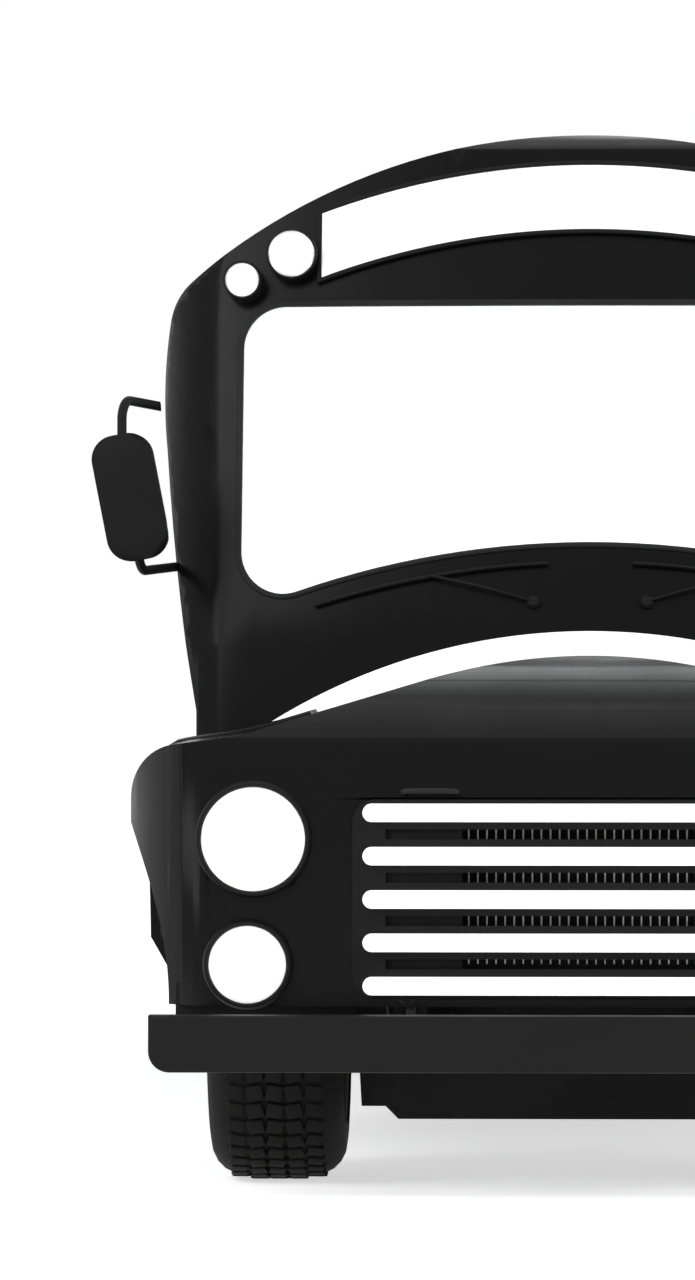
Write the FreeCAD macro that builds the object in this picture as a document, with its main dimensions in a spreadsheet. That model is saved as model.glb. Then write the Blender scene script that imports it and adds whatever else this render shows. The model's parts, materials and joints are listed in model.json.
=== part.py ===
import FreeCAD, Part
import math
import os
import re
import Sketcher
from FreeCAD import Rotation, Vector
from types import SimpleNamespace

# School bus with a bonnet in front of the cabin, built as separate pieces.
# The frame: X runs across, Y runs rearwards, Z runs up, in millimetres.
# The origin lies on the ground, midway between the two bumper faces and between
# the two sides. The entrance door is on the -X side, the driver sits at +X.
# Every place along the bus is given as a setback behind the front bumper's face.

NODE_FOLDER = "parts"
os.makedirs(NODE_FOLDER, exist_ok=True)
doc = FreeCAD.newDocument("school_bus")

# Driving dimensions, group by group: cell name, millimetres or degrees, meaning
DIMENSIONS = {
    "Whole bus": [
        ("overall_length", 9500, "front bumper face to rear bumper face"),
        ("overrun", 60, "how far a cutting shape runs past what it cuts"),
        ("seat_gap", 0.4, "gap round a piece that is bonded into an opening"),
        ("run_gap", 8, "gap round a door or lid that moves"),
    ],
    "Body section": [
        ("belt_half_width", 1121, "half width of the upright lower side"),
        ("belt_height", 1265, "height where the side starts to lean out"),
        ("waist_half_width", 1171, "half width a little above the belt"),
        ("waist_height", 1581, "height of that place"),
        ("shoulder_half_width", 1219, "half width at the shoulder's foot"),
        ("shoulder_height", 2013, "height of the shoulder's foot"),
        ("widest_half_width", 1230, "half width at the widest place"),
        ("widest_height", 2214, "height of the widest place"),
        ("eaves_half_width", 1215, "half width where the eaves start to turn"),
        ("eaves_height", 2387, "height of that place"),
        ("turn_half_width", 1196, "half width in the middle of the eaves' turn"),
        ("turn_height", 2446, "height of that place"),
        ("roof_edge_half_width", 1157, "half width where the roof arch starts"),
        ("roof_edge_height", 2496, "height where the roof arch starts"),
        ("roof_height", 2926, "height of the roof arch"),
        ("wall_thickness", 50, "side, roof, front and rear walls"),
        ("skirt_height", 500, "ground to the lower edge of the skirt"),
        ("cant_height", 2300, "height of the joint between side and roof"),
        ("rub_rail_depth", 12, "how far the rub rails stand out"),
        ("rub_rail_height", 60, "height of one rub rail"),
        ("low_rail_height", 560, "height of the lowest rub rail"),
        ("floor_rail_height", 900, "height of the rub rail at floor level"),
        ("belt_rail_height", 1180, "height of the rub rail at the seats"),
        ("window_rail_height", 1440, "height of the rub rail under the windows"),
    ],
    "Body length": [
        ("cap_setback", 1760, "front face of the cabin's front cap"),
        ("side_setback", 2350, "joint between front cap and sides"),
        ("rear_wall_setback", 9350, "outer face of the rear wall"),
    ],
    "Front cap": [
        ("rake_height", 1450, "height where the front starts to lean back"),
        ("rake_angle", 17, "lean of the windscreen, degrees"),
        ("brow_radius", 195, "rounding from windscreen to roof"),
        ("bow_half_width", 1050, "half width of the gently bowed front"),
        ("bow_depth", 104, "how far the bow falls back at its ends"),
        ("corner_half_width", 1160, "half width in the middle of the corner"),
        ("corner_depth", 180, "how far the corner has fallen back there"),
        ("corner_end_half_width", 1240, "half width where the corner ends"),
        ("corner_end_depth", 330, "how far the corner has fallen back at its end"),
        ("screen_half_width", 1003, "half width of the windscreen opening"),
        ("screen_top_height", 2430, "top edge of the windscreen opening"),
        ("screen_mid_height", 1731, "lower edge of the opening at the middle"),
        ("screen_end_height", 1525, "lower edge run on to the opening's sides"),
        ("screen_corner_radius", 130, "corners of the opening"),
        ("glass_inset", 16, "outer face of glass behind the body's face"),
        ("glass_thickness", 7, "all panes"),
    ],
    "Side windows": [
        ("window_setback", 3290, "front edge of the first passenger window"),
        ("window_pitch", 720, "distance from window to window"),
        ("window_width", 620, "width of a passenger window"),
        ("window_count", 8, "passenger windows on each side"),
        ("window_low_height", 1530, "lower edge of the windows"),
        ("window_top_height", 2140, "upper edge of the windows"),
        ("window_corner_radius", 45, "corners of the windows"),
        ("driver_window_setback", 2440, "front edge of the driver's window"),
        ("driver_window_width", 720, "width of the driver's window"),
    ],
    "Entrance": [
        ("portal_setback", 2390, "front edge of the door portal"),
        ("portal_width", 860, "width of the door portal with its jambs"),
        ("jamb_thickness", 40, "thickness of the portal's jambs and header"),
        ("door_low_height", 410, "lower edge of the door leaves"),
        ("door_top_height", 2250, "upper edge of the door leaves"),
        ("door_thickness", 38, "thickness of a door leaf"),
        ("door_recess", 12, "door face behind the lower side's face"),
        ("door_rim", 62, "width of a leaf's border round its glass"),
        ("door_glass_low", 640, "lower edge of the door glass"),
        ("door_parting", 12, "gap between the two leaves"),
        ("door_side_gap", 14, "gap between a leaf and its jamb"),
        ("door_pin_radius", 9, "radius of the leaves' pivot pins"),
        ("door_pin_reach", 11, "how far a pivot pin enters its seat"),
        ("sill_thickness", 20, "thickness of the door sill"),
        ("step_rise", 176, "height of one step"),
        ("step_going", 195, "depth of one step"),
        ("step_skin", 35, "thickness of the step well's walls"),
    ],
    "Rear": [
        ("rear_door_half_width", 430, "half width of the emergency door opening"),
        ("rear_door_low", 960, "lower edge of the emergency door opening"),
        ("rear_door_top", 2290, "upper edge of the emergency door opening"),
        ("rear_door_rim", 90, "border of the emergency door round its glass"),
        ("rear_door_split_low", 1380, "top of the door's lower pane"),
        ("rear_door_split_high", 1560, "bottom of the door's upper pane"),
        ("rear_hinge_share", 0.12, "share of the door's height to its outer hinges"),
        ("leaf_hinge_radius", 12, "radius of the door and hatch hinges"),
        ("leaf_hinge_length", 120, "length of a door or hatch hinge"),
        ("hinge_strap", 40, "width of a hinge's strap"),
        ("hinge_stand_out", 2, "hinge barrel clear of the wall"),
        ("handle_depth", 30, "how far the door handle stands out"),
        ("handle_height", 150, "height of the door handle above the lower pane"),
        ("rear_pane_inner", 560, "inner edge of a rear corner window"),
        ("rear_pane_outer", 1000, "outer edge of a rear corner window"),
        ("rear_pane_low", 1600, "lower edge of a rear corner window"),
        ("rear_pane_top", 2120, "upper edge of a rear corner window"),
    ],
    "Floor": [
        ("floor_height", 930, "top of the floor"),
        ("floor_thickness", 50, "thickness of the floor"),
        ("bearer_height", 40, "depth of the cross bearers under the floor"),
        ("bearer_width", 60, "width of a cross bearer"),
        ("bearer_pitch", 700, "distance from bearer to bearer"),
        ("bearer_setback", 2330, "front edge of the first bearer"),
        ("bearer_inset", 40, "bearer ends inside the walls"),
        ("housing_inner", 500, "inner face of the rear wheel housings"),
        ("housing_half_length", 585, "half length of a wheel housing"),
        ("housing_top", 1120, "top of the wheel housings"),
        ("housing_skin", 20, "thickness of the wheel housings"),
        ("rear_arch_radius", 580, "wheel arch in the body sides"),
    ],
    "Running gear": [
        ("front_axle_setback", 950, "front axle behind the bumper face"),
        ("wheelbase", 5500, "front axle to rear axle"),
        ("tyre_radius", 510, "outside radius of every tyre"),
        ("rim_radius", 286, "radius of the tyre's bead seat"),
        ("rim_skin", 14, "thickness of the rims"),
        ("hub_radius", 110, "radius of the hubs"),
        ("hub_bore_gap", 0.6, "gap between hub and spindle"),
        ("tyre_shoulder", 48, "rounding from sidewall to tread"),
        ("tyre_flank_radius", 405, "radius where a tyre is widest"),
        ("tyre_bead_inset", 26, "bead behind the widest place"),
        ("rim_disc_place", 250, "steer wheel's disc from the tyre's inner face"),
        ("rear_hub_start", 60, "rear hub from the twin tyres' inner face"),
        ("rear_spindle_end", 350, "rear spindle's end from that face"),
        ("front_tyre_width", 365, "width of a steer tyre"),
        ("front_tyre_inner", 660, "inner face of the steer tyres"),
        ("rear_tyre_width", 255, "width of one rear tyre"),
        ("rear_twin_gap", 36, "gap between the twin tyres"),
        ("rear_tyre_outer", 1086, "outer face of the outer rear tyres"),
        ("spindle_radius", 38, "radius of the wheel spindles"),
    ],
    "Steering": [
        ("kingpin_offset", 700, "kingpin axis from the middle"),
        ("kingpin_radius", 22, "radius of the kingpins"),
        ("eye_radius", 46, "radius of the axle's kingpin eye"),
        ("eye_low", 445, "underside of the kingpin eye"),
        ("eye_top", 575, "top of the kingpin eye"),
        ("yoke_thickness", 26, "thickness of the knuckle's two yokes"),
        ("yoke_gap", 1, "gap between yoke and eye"),
        ("steer_arm_reach", 150, "kingpin to tie rod ball, rearwards"),
        ("steer_arm_width", 40, "width of the steering arms"),
        ("tie_rod_radius", 16, "radius of the tie rod"),
        ("ball_radius", 24, "radius of the tie rod's ends"),
        ("ball_height", 40, "height of the tie rod's ends"),
        ("ball_pin_radius", 10, "radius of the tie rod's ball pins"),
        ("pin_gap", 0.5, "gap round a pivot pin"),
        ("steer_lock", 30, "steering lock to each side, degrees"),
    ],
    "Axles and springs": [
        ("beam_low", 165, "underside of the front axle beam"),
        ("beam_top", 300, "spring seats on the front axle beam"),
        ("beam_drop_half_width", 520, "half width of the dropped middle"),
        ("beam_knee_height", 200, "underside of the beam outside the drop"),
        ("beam_neck", 620, "where the beam's ends turn up"),
        ("beam_depth", 90, "front to rear size of the axle beam"),
        ("leaf_width", 60, "width of the spring leaves"),
        ("leaf_thickness", 20, "thickness of a spring leaf"),
        ("leaf_count", 3, "leaves in a spring"),
        ("leaf_step_share", 0.24, "share of its length that each leaf is shorter"),
        ("front_spring_middle", 398, "middle of a front spring from the centre"),
        ("spring_half_length", 590, "middle of a spring to its eye"),
        ("front_spring_rise", 225, "eye above the front spring's middle"),
        ("rear_spring_middle", 482, "middle of a rear spring from the centre"),
        ("rear_spring_rise", 110, "eye above the rear spring's middle"),
        ("hanger_length", 70, "front to rear size of a spring hanger"),
        ("axle_tube_radius", 68, "radius of the rear axle tube"),
        ("differential_radius", 205, "radius of the differential housing"),
        ("differential_half_width", 150, "half width of the housing"),
        ("shaft_radius", 48, "radius of the propeller shaft"),
    ],
    "Chassis": [
        ("rail_outer", 430, "outer face of the frame rails"),
        ("rail_width", 70, "width of the frame rails"),
        ("rail_low", 640, "underside of the frame rails"),
        ("rail_skin", 9, "thickness of the frame rails"),
        ("rail_setback", 290, "front end of the frame rails"),
        ("cross_depth", 60, "depth of the cross members"),
        ("cross_width", 70, "front to rear size of the cross members"),
        ("front_cross_setback", 700, "first engine cross member"),
        ("rear_cross_setback", 1380, "second engine cross member"),
        ("inner_cross_setback", 2600, "first cross member behind the engine"),
        ("inner_cross_pitch", 1500, "distance between those behind the engine"),
        ("inner_cross_count", 5, "cross members behind the engine"),
    ],
    "Bumpers": [
        ("jack_pad_setback", 8000, "front edge of the rear jack pads"),
        ("jack_pad_length", 100, "front to rear size of a jack pad"),
        ("jack_pad_thickness", 12, "thickness of a jack pad"),
        ("bumper_half_width", 1150, "half width of the front bumper"),
        ("bumper_low", 340, "underside of the front bumper"),
        ("bumper_top", 488, "top of the front bumper"),
        ("bumper_depth", 90, "front to rear size of the front bumper"),
        ("bumper_skin", 14, "thickness of the bumpers"),
        ("bumper_corner_radius", 55, "rounded lower corners of the bumpers"),
        ("bumper_edge_radius", 9, "rounding of a bumper's face edges"),
        ("rear_bumper_half_width", 1105, "half width of the rear bumper"),
        ("rear_bumper_low", 450, "underside of the rear bumper"),
        ("rear_bumper_top", 690, "top of the rear bumper"),
        ("rear_bumper_depth", 120, "front to rear size of the rear bumper"),
        ("tow_eye_bore", 21, "radius of the tow eyes' holes"),
        ("tow_eye_radius", 48, "outside radius of the tow eyes"),
        ("tow_eye_thickness", 30, "thickness of the tow eyes"),
    ],
    "Engine bay": [
        ("engine_half_width", 290, "half width of the engine block"),
        ("engine_setback", 520, "front of the engine block"),
        ("engine_length", 1130, "length of the engine block"),
        ("engine_height", 540, "height of the engine block"),
        ("gearbox_half_width", 170, "half width of the gearbox"),
        ("gearbox_length", 620, "length of the gearbox"),
        ("gearbox_height", 170, "height of the gearbox"),
        ("radiator_setback", 345, "front of the radiator"),
        ("radiator_depth", 75, "depth of the radiator"),
        ("radiator_low", 560, "underside of the radiator"),
        ("radiator_top", 1080, "top of the radiator"),
    ],
    "Bonnet": [
        ("bonnet_setback", 200, "front face of the bonnet"),
        ("bonnet_gap", 12, "gap between bonnet and cabin"),
        ("bonnet_skin", 28, "thickness of the bonnet"),
        ("bonnet_low", 502, "lower edge of the bonnet"),
        ("bonnet_foot_half_width", 1155, "half width at the lower edge"),
        ("fender_low", 635, "height where the fender's side begins"),
        ("fender_half_width", 1229, "half width over the fenders"),
        ("fender_high", 1042, "height where the fender's side ends"),
        ("shoulder_mid_half_width", 1193, "half width of the fender's shoulder"),
        ("shoulder_mid_height", 1140, "height of that place"),
        ("fender_top_half_width", 1108, "half width of the fender's top"),
        ("fender_top_height", 1189, "height of the fender's top"),
        ("crest_half_width", 932, "half width of the bonnet's crest"),
        ("crest_foot_height", 1212, "height where the crest begins"),
        ("crest_knee_half_width", 424, "half width where the crest bends over"),
        ("crest_knee_height", 1364, "height of that place"),
        ("crest_height", 1422, "height of the crest at the middle"),
        ("nose_height", 1000, "top of the upright nose"),
        ("nose_lean", 25, "how far the nose leans back to there"),
        ("nose_turn_setback", 400, "where the nose's rounding is halfway"),
        ("nose_turn_height", 1285, "height of that place"),
        ("nose_end_setback", 820, "where the nose's rounding ends"),
        ("nose_end_height", 1388, "height of that place"),
        ("bonnet_rear_height", 1476, "bonnet's line run on to its rear"),
        ("nose_bow_half_width", 1030, "half width of the gently bowed nose"),
        ("nose_bow_setback", 262, "setback at the ends of that bow"),
        ("nose_corner_half_width", 1160, "half width in the fender's corner"),
        ("nose_corner_setback", 430, "setback of that place"),
        ("nose_side_setback", 900, "where the fender reaches its full width"),
        ("front_arch_radius", 590, "wheel arch in the fenders"),
        ("bonnet_open_angle", 60, "how far the bonnet tilts, degrees"),
        ("hinge_setback", 150, "bonnet hinge axis"),
        ("hinge_height", 440, "height of the bonnet hinge axis"),
        ("hinge_offset", 470, "middle of a bonnet hinge lug"),
        ("hinge_lug_width", 24, "width of a bonnet hinge lug"),
        ("hinge_lug_radius", 26, "radius of a bonnet hinge lug"),
        ("hinge_pin_radius", 12, "radius of the bonnet hinge pins"),
        ("hinge_pin_share", 0.55, "share of a hinge's radius that its pin takes"),
        ("knuckle_share", 0.22, "share of a hinge's length in each end knuckle"),
    ],
    "Bonnet trim": [
        ("crescent_height", 1491, "top of the bright crescent at the middle"),
        ("crescent_thickness", 26, "front to rear size of the crescent"),
        ("crescent_tip", 4, "height of the crescent at its cut tips"),
        ("grille_half_width", 625, "half width of the grille opening"),
        ("grille_low", 522, "lower edge of the grille opening"),
        ("grille_top", 1047, "upper edge of the grille opening"),
        ("grille_corner_radius", 60, "corners of the grille opening"),
        ("grille_depth", 18, "thickness of the grille panel"),
        ("bar_half_width", 597, "half width of a grille bar"),
        ("bar_height", 48, "height of a grille bar"),
        ("bar_depth", 22, "how far a grille bar stands out"),
        ("bar_low", 557, "height of the lowest bar's middle"),
        ("bar_pitch", 113.8, "distance from bar to bar"),
        ("bar_count", 5, "bright bars in the grille"),
        ("slot_height", 26, "height of the air slots between the bars"),
        ("headlamp_offset", 886, "middle of a headlamp from the centre"),
        ("headlamp_height", 942, "height of the headlamps"),
        ("headlamp_radius", 137, "radius of the headlamps"),
        ("low_lamp_offset", 901, "middle of a lower lamp from the centre"),
        ("low_lamp_height", 612, "height of the lower lamps"),
        ("low_lamp_radius", 102, "radius of the lower lamps"),
        ("lamp_depth", 95, "length of a lamp's bucket"),
        ("lamp_stand_out", 14, "how far a lamp stands in front of the nose"),
    ],
    "Front roof": [
        ("sign_thickness", 14, "thickness of the blank sign panel"),
        ("sign_half_width", 778, "half width of the sign panel"),
        ("sign_mid_low", 2640, "lower edge of the sign panel at the middle"),
        ("sign_mid_high", 2840, "upper edge of the sign panel at the middle"),
        ("sign_end_low", 2500, "lower edge of the sign panel at its ends"),
        ("sign_end_high", 2700, "upper edge of the sign panel at its ends"),
        ("sign_corner_radius", 40, "corners of the sign panel"),
        ("outer_lamp_offset", 1000, "small roof lamp from the centre"),
        ("outer_lamp_height", 2502, "height of the small roof lamps"),
        ("outer_lamp_radius", 48, "radius of the small roof lamps"),
        ("inner_lamp_offset", 858, "large roof lamp from the centre"),
        ("inner_lamp_height", 2577, "height of the large roof lamps"),
        ("inner_lamp_radius", 66, "radius of the large roof lamps"),
        ("roof_lamp_length", 60, "length of the roof lamps' housings"),
    ],
    "Mirrors": [
        ("mirror_setback", 1720, "front face of the mirror heads"),
        ("mirror_middle", 1300, "middle of a mirror head from the centre"),
        ("mirror_height", 1870, "height of a mirror head's middle"),
        ("mirror_width", 174, "width of a mirror head"),
        ("mirror_length", 360, "height of a mirror head"),
        ("mirror_depth", 70, "front to rear size of a mirror head"),
        ("mirror_corner_radius", 68, "corners of a mirror head"),
        ("mirror_lean", 11, "lean of a mirror head, degrees"),
        ("mirror_arm_radius", 13.5, "radius of the mirror arms"),
        ("mirror_arm_bend", 55, "bend of the mirror arms"),
        ("upper_arm_foot_height", 2120, "upper arm's foot on the cap"),
        ("lower_arm_foot_height", 1688, "lower arm's foot on the cap"),
        ("arm_foot_setback", 2315, "both arms' feet on the cap"),
    ],
    "Cabin": [
        ("row_setback", 3640, "front of the first row's seat"),
        ("row_pitch", 700, "distance from row to row"),
        ("row_count", 8, "rows of seats"),
        ("aisle_half_width", 200, "half width of the aisle"),
        ("bench_outer", 1055, "outer end of a bench"),
        ("seat_low", 1320, "underside of the seat pads"),
        ("seat_top", 1430, "top of the seat pads"),
        ("seat_length", 400, "front to rear size of a seat pad"),
        ("back_thickness", 75, "thickness of a seat's back"),
        ("back_lean", 70, "how far a back leans rearwards"),
        ("back_top", 1960, "top of the seat backs"),
        ("seat_base_thickness", 20, "plate under a seat pad"),
        ("leg_inset", 90, "aisle leg from the bench's inner end"),
        ("leg_thickness", 36, "thickness of a seat leg"),
        ("leg_length", 260, "front to rear size of a seat leg"),
        ("dash_setback", 1750, "front of the dashboard"),
        ("dash_corner_radius", 60, "rounding of the dashboard's edges"),
        ("wheel_hub_length", 50, "length of the steering wheel's hub"),
        ("dash_depth", 570, "front to rear size of the dashboard"),
        ("dash_half_width", 900, "half width of the dashboard"),
        ("dash_low", 1180, "underside of the dashboard"),
        ("dash_top", 1470, "top of the dashboard"),
        ("driver_middle", 560, "middle of the driver's seat from the centre"),
        ("driver_seat_setback", 2720, "front of the driver's seat"),
        ("driver_half_width", 250, "half width of the driver's seat"),
        ("wheel_rake", 32, "lean of the steering wheel, degrees"),
        ("wheel_rim_radius", 225, "steering wheel from its axis to the rim"),
        ("wheel_grip_radius", 15, "radius of the steering wheel's rim"),
        ("wheel_setback", 2470, "middle of the steering wheel"),
        ("wheel_height", 1560, "height of the steering wheel's middle"),
        ("column_radius", 32, "radius of the steering column"),
        ("column_length", 340, "length of the steering column"),
    ],
    "Underbody": [
        ("tank_setback", 3560, "front of the fuel tank"),
        ("tank_length", 1300, "length of the fuel tank"),
        ("tank_inner", 520, "inner side of the fuel tank"),
        ("tank_outer", 1020, "outer side of the fuel tank"),
        ("tank_height", 400, "height of the fuel tank"),
        ("tank_corner_radius", 60, "corners of the fuel tank"),
        ("battery_setback", 2700, "front of the battery box"),
        ("battery_length", 560, "length of the battery box"),
        ("battery_height", 330, "height of the battery box"),
        ("muffler_setback", 3500, "front of the silencer"),
        ("muffler_length", 1000, "length of the silencer"),
        ("muffler_radius", 110, "radius of the silencer"),
        ("muffler_middle", 680, "middle of the silencer from the centre"),
        ("muffler_height", 640, "height of the silencer's middle"),
        ("pipe_radius", 45, "radius of the exhaust pipe"),
        ("pipe_bend", 130, "bend of the exhaust pipe"),
        ("pipe_end", 1050, "outlet of the exhaust pipe from the centre"),
        ("pipe_end_setback", 5100, "setback of the outlet"),
    ],
    "Stop arm": [
        ("stop_setback", 3120, "hinge of the stop arm"),
        ("stop_height", 1040, "height of the stop arm's middle"),
        ("stop_radius", 215, "half the stop arm's width across its flats"),
        ("stop_thickness", 18, "thickness of the stop arm's plate"),
        ("stop_stand_out", 40, "plate's inner face from the body side"),
        ("stop_reach", 60, "hinge to the plate's near edge"),
        ("stop_hinge_radius", 11, "radius of the stop arm's hinge tube"),
        ("stop_hinge_length", 180, "length of the stop arm's hinge tube"),
    ],
    "Roof hatches": [
        ("hatch_setback", 4100, "front edge of the first hatch"),
        ("hatch_spacing", 3100, "distance from hatch to hatch"),
        ("hatch_half_width", 300, "half width of a hatch"),
        ("hatch_length", 600, "front to rear size of a hatch"),
        ("hatch_rim", 30, "thickness of the hatch's coaming"),
        ("coaming_height", 2950, "top of the coaming"),
        ("lid_thickness", 22, "thickness of a lid"),
        ("lid_overhang", 14, "lid beyond its coaming"),
        ("lid_gap", 6, "gap between lid and coaming"),
        ("seam_margin", 110, "hatch to the nearest seams of the roof panels"),
        ("lid_open_angle", 40, "how far a lid opens, degrees"),
    ],
    "Rear lamps": [
        ("rear_lamp_depth", 28, "how far the rear lamps stand out"),
        ("rear_lamp_offset", 800, "middle of the low rear lamps"),
        ("rear_lamp_height", 1180, "height of the low rear lamps"),
        ("rear_lamp_radius", 88, "radius of the low rear lamps"),
        ("rear_lamp_pitch", 210, "distance between the low rear lamps"),
        ("rear_roof_lamp_height", 2560, "height of the rear roof lamps"),
        ("rear_roof_lamp_offset", 850, "large rear roof lamps"),
    ],
}


def fill_sheet():
    """Write every driving dimension into the spreadsheet and return their values."""
    sheet = doc.addObject("Spreadsheet::Sheet", "Sizes")
    row = 0
    for group, cells in DIMENSIONS.items():
        row += 1
        sheet.set(f"A{row}", group)
        for alias, number, meaning in cells:
            row += 1
            sheet.set(f"A{row}", alias)
            sheet.set(f"B{row}", str(number))
            sheet.setAlias(f"B{row}", alias)
            sheet.set(f"C{row}", meaning)
    doc.recompute()
    names = [alias for cells in DIMENSIONS.values() for alias, number, meaning in cells]
    return SimpleNamespace(**{name: float(sheet.get(name)) for name in names})


s = fill_sheet()
WORD = re.compile(r"[a-z_]+")
PLACES = {"x": "Placement.Base.x", "y": "Placement.Base.y", "z": "Placement.Base.z"}
ACROSS = Vector(1, 0, 0)
REARWARDS = Vector(0, 1, 0)
UPWARDS = Vector(0, 0, 1)
front_face = -s.overall_length / 2
full_height = s.roof_height + s.wall_thickness + s.overrun
full_width = s.widest_half_width + s.overrun


def on_sheet(match):
    """Point a word of a formula at its cell, if the sheet has one."""
    word = match.group(0)
    return f"Sizes.{word}" if hasattr(s, word) else word


def bind(item, **formulas):
    """Bind properties, or the place x, y and z, to formulas of sheet values."""
    for name, formula in formulas.items():
        item.setExpression(PLACES.get(name, name), WORD.sub(on_sheet, formula))


def station(setback):
    """Formula of a place along the bus, from a formula of its setback."""
    return f"(-overall_length / 2 + {setback})"


def along(setback):
    """Place along the bus of a setback behind the front bumper's face."""
    return front_face + setback


def block(name, x, y, z):
    """Box between two formulas along each axis."""
    item = doc.addObject("Part::Box", name)
    bind(item, Length=f"({x[1]}) - ({x[0]})", Width=f"({y[1]}) - ({y[0]})")
    bind(item, Height=f"({z[1]}) - ({z[0]})", x=x[0], y=y[0], z=z[0])
    return item


AXIS_TURNS = {
    "x": Rotation(REARWARDS, 90),
    "y": Rotation(ACROSS, -90),
    "z": Rotation(),
}


def rod(name, axis, radius, length, start):
    """Round bar along an axis, from its starting point, all as formulas."""
    item = doc.addObject("Part::Cylinder", name)
    item.Placement = FreeCAD.Placement(Vector(), AXIS_TURNS[axis])
    bind(item, Radius=radius, Height=length, x=start[0], y=start[1], z=start[2])
    return item


def joined(name, pieces):
    """One solid of several touching pieces."""
    item = doc.addObject("Part::MultiFuse", name)
    item.Shapes = pieces
    item.Refine = True
    return item


def carved(name, base, tool):
    """A piece with a tool cut out of it."""
    item = doc.addObject("Part::Cut", name)
    item.Base = base
    item.Tool = tool
    return item


def grouped(name, pieces):
    """Separate pieces kept as one object."""
    item = doc.addObject("Part::Compound", name)
    item.Links = pieces
    return item


def shaped(name, shape):
    """Object that holds a shape made by the functions below."""
    item = doc.addObject("Part::Feature", name)
    item.Shape = shape
    return item


def whole(shape):
    """The single solid of a shape, or the shape itself when it has several."""
    shape = shape.removeSplitter()
    return shape.Solids[0] if len(shape.Solids) == 1 else Part.makeCompound(shape.Solids)


def slab(x, y, z):
    """Box between two numbers along each axis, for shapes made by functions."""
    size = (x[1] - x[0], y[1] - y[0], z[1] - z[0])
    return Part.makeBox(*size, Vector(x[0], y[0], z[0]))


def mirrored(shape):
    """Copy of a shape on the bus's other side."""
    return shape.mirror(Vector(), ACROSS)


def both_sides(shape):
    """A shape of the +X side with its mirror image."""
    return Part.makeCompound([shape, mirrored(shape)])


# Outlines and prisms that the body and the bonnet share
LIFTS = {
    "xz": lambda u, v: Vector(u, 0, v),
    "yz": lambda u, v: Vector(0, u, v),
    "xy": lambda u, v: Vector(u, v, 0),
}


def outline(plane, start, *steps, closing=()):
    """Closed wire: a step of one point is a run, a step of two an arc through the first."""
    lift = LIFTS[plane]
    edges = []
    place = lift(*start)
    for step in steps + (closing + (start,),):
        end = lift(*step[-1])
        if len(step) == 2:
            edges.append(Part.Arc(place, lift(*step[0]), end).toShape())
        elif (end - place).Length > 0:
            edges.append(Part.makeLine(place, end))
        place = end
    return Part.Wire(edges)


def symmetric(plane, start, steps, crown=(), closing=()):
    """Closed wire of a half outline, its mirror image and what joins them at both ends."""
    ends = [start] + [step[-1] for step in steps]
    back = [step[:-1] + (end,) for step, end in zip(reversed(steps), reversed(ends[:-1]))]
    back = [tuple((-u, v) for u, v in step) for step in back]
    joint = crown + ((-ends[-1][0], ends[-1][1]),)
    return outline(plane, start, *steps, joint, *back, closing=closing)


def face_of(wire, inset):
    """Flat face inside a wire, moved inwards by an inset or outwards by a negative one."""
    return Part.Face(wire.makeOffset2D(-inset) if inset else wire)


def prism(wire, inset, start, run):
    """A wire's face, inset, moved to a start and drawn out along a run."""
    face = face_of(wire, inset)
    face.translate(start)
    return face.extrude(run)


def rounded_box(x, y, z, radius, axis):
    """Box whose four edges along an axis are rounded."""
    box = slab(x, y, z)
    edges = [edge for edge in box.Edges if round(abs(edge.tangentAt(0).dot(axis)))]
    return box.makeFillet(radius, edges)


def low_rounded_box(x, y, z, radius):
    """Box whose two lower edges along the bus are rounded."""
    box = slab(x, y, z)
    edges = [edge for edge in box.Edges
             if round(abs(edge.tangentAt(0).y)) and edge.CenterOfMass.z < sum(z) / 2]
    return box.makeFillet(radius, edges)


def round_bar(radius, start, end):
    """Straight round bar between two places."""
    return Part.makeCylinder(radius, (end - start).Length, start, end - start)


def bent_bar(radius, bend, places):
    """Round bar along straight runs with bends of one radius between them."""
    edges = []
    place = places[0]
    for before, corner, after in zip(places, places[1:], places[2:]):
        back = (before - corner).normalize()
        ahead = (after - corner).normalize()
        half_angle = back.getAngle(ahead) / 2
        reach = bend / math.tan(half_angle)
        middle = corner + (back + ahead).normalize() * (bend / math.sin(half_angle) - bend)
        edges.append(Part.makeLine(place, corner + back * reach))
        place = corner + ahead * reach
        edges.append(Part.Arc(corner + back * reach, middle, place).toShape())
    edges.append(Part.makeLine(place, places[-1]))
    ring = Part.Wire(Part.makeCircle(radius, places[0], places[1] - places[0]))
    return Part.Wire(edges).makePipeShell([ring], True, False)


def body_section():
    """Cross-section of the cabin, open far below the skirt."""
    return symmetric(
        "xz",
        (s.belt_half_width, s.skirt_height - 3 * s.overrun),
        [
            ((s.belt_half_width, s.belt_height),),
            ((s.waist_half_width, s.waist_height), (s.shoulder_half_width, s.shoulder_height)),
            ((s.widest_half_width, s.widest_height), (s.eaves_half_width, s.eaves_height)),
            ((s.turn_half_width, s.turn_height), (s.roof_edge_half_width, s.roof_edge_height)),
        ],
        ((0, s.roof_height),),
    )


def body_prism(inset, front, back):
    """The cabin's section between two setbacks."""
    run = REARWARDS * (back - front)
    return prism(body_section(), inset, REARWARDS * along(front), run)


def cap_plan(inset, low, high):
    """Upright prism of the cap's bowed front with its rounded corners."""
    back = along(s.side_setback + 4 * s.overrun)
    wire = symmetric(
        "xy",
        (s.corner_end_half_width + s.overrun, back),
        [
            ((s.corner_end_half_width + s.overrun, along(s.cap_setback + s.corner_end_depth)),),
            ((s.corner_end_half_width, along(s.cap_setback + s.corner_end_depth)),),
            (
                (s.corner_half_width, along(s.cap_setback + s.corner_depth)),
                (s.bow_half_width, along(s.cap_setback + s.bow_depth)),
            ),
        ],
        ((0, along(s.cap_setback)),),
    )
    return face_of(wire, inset), low, high


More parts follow.
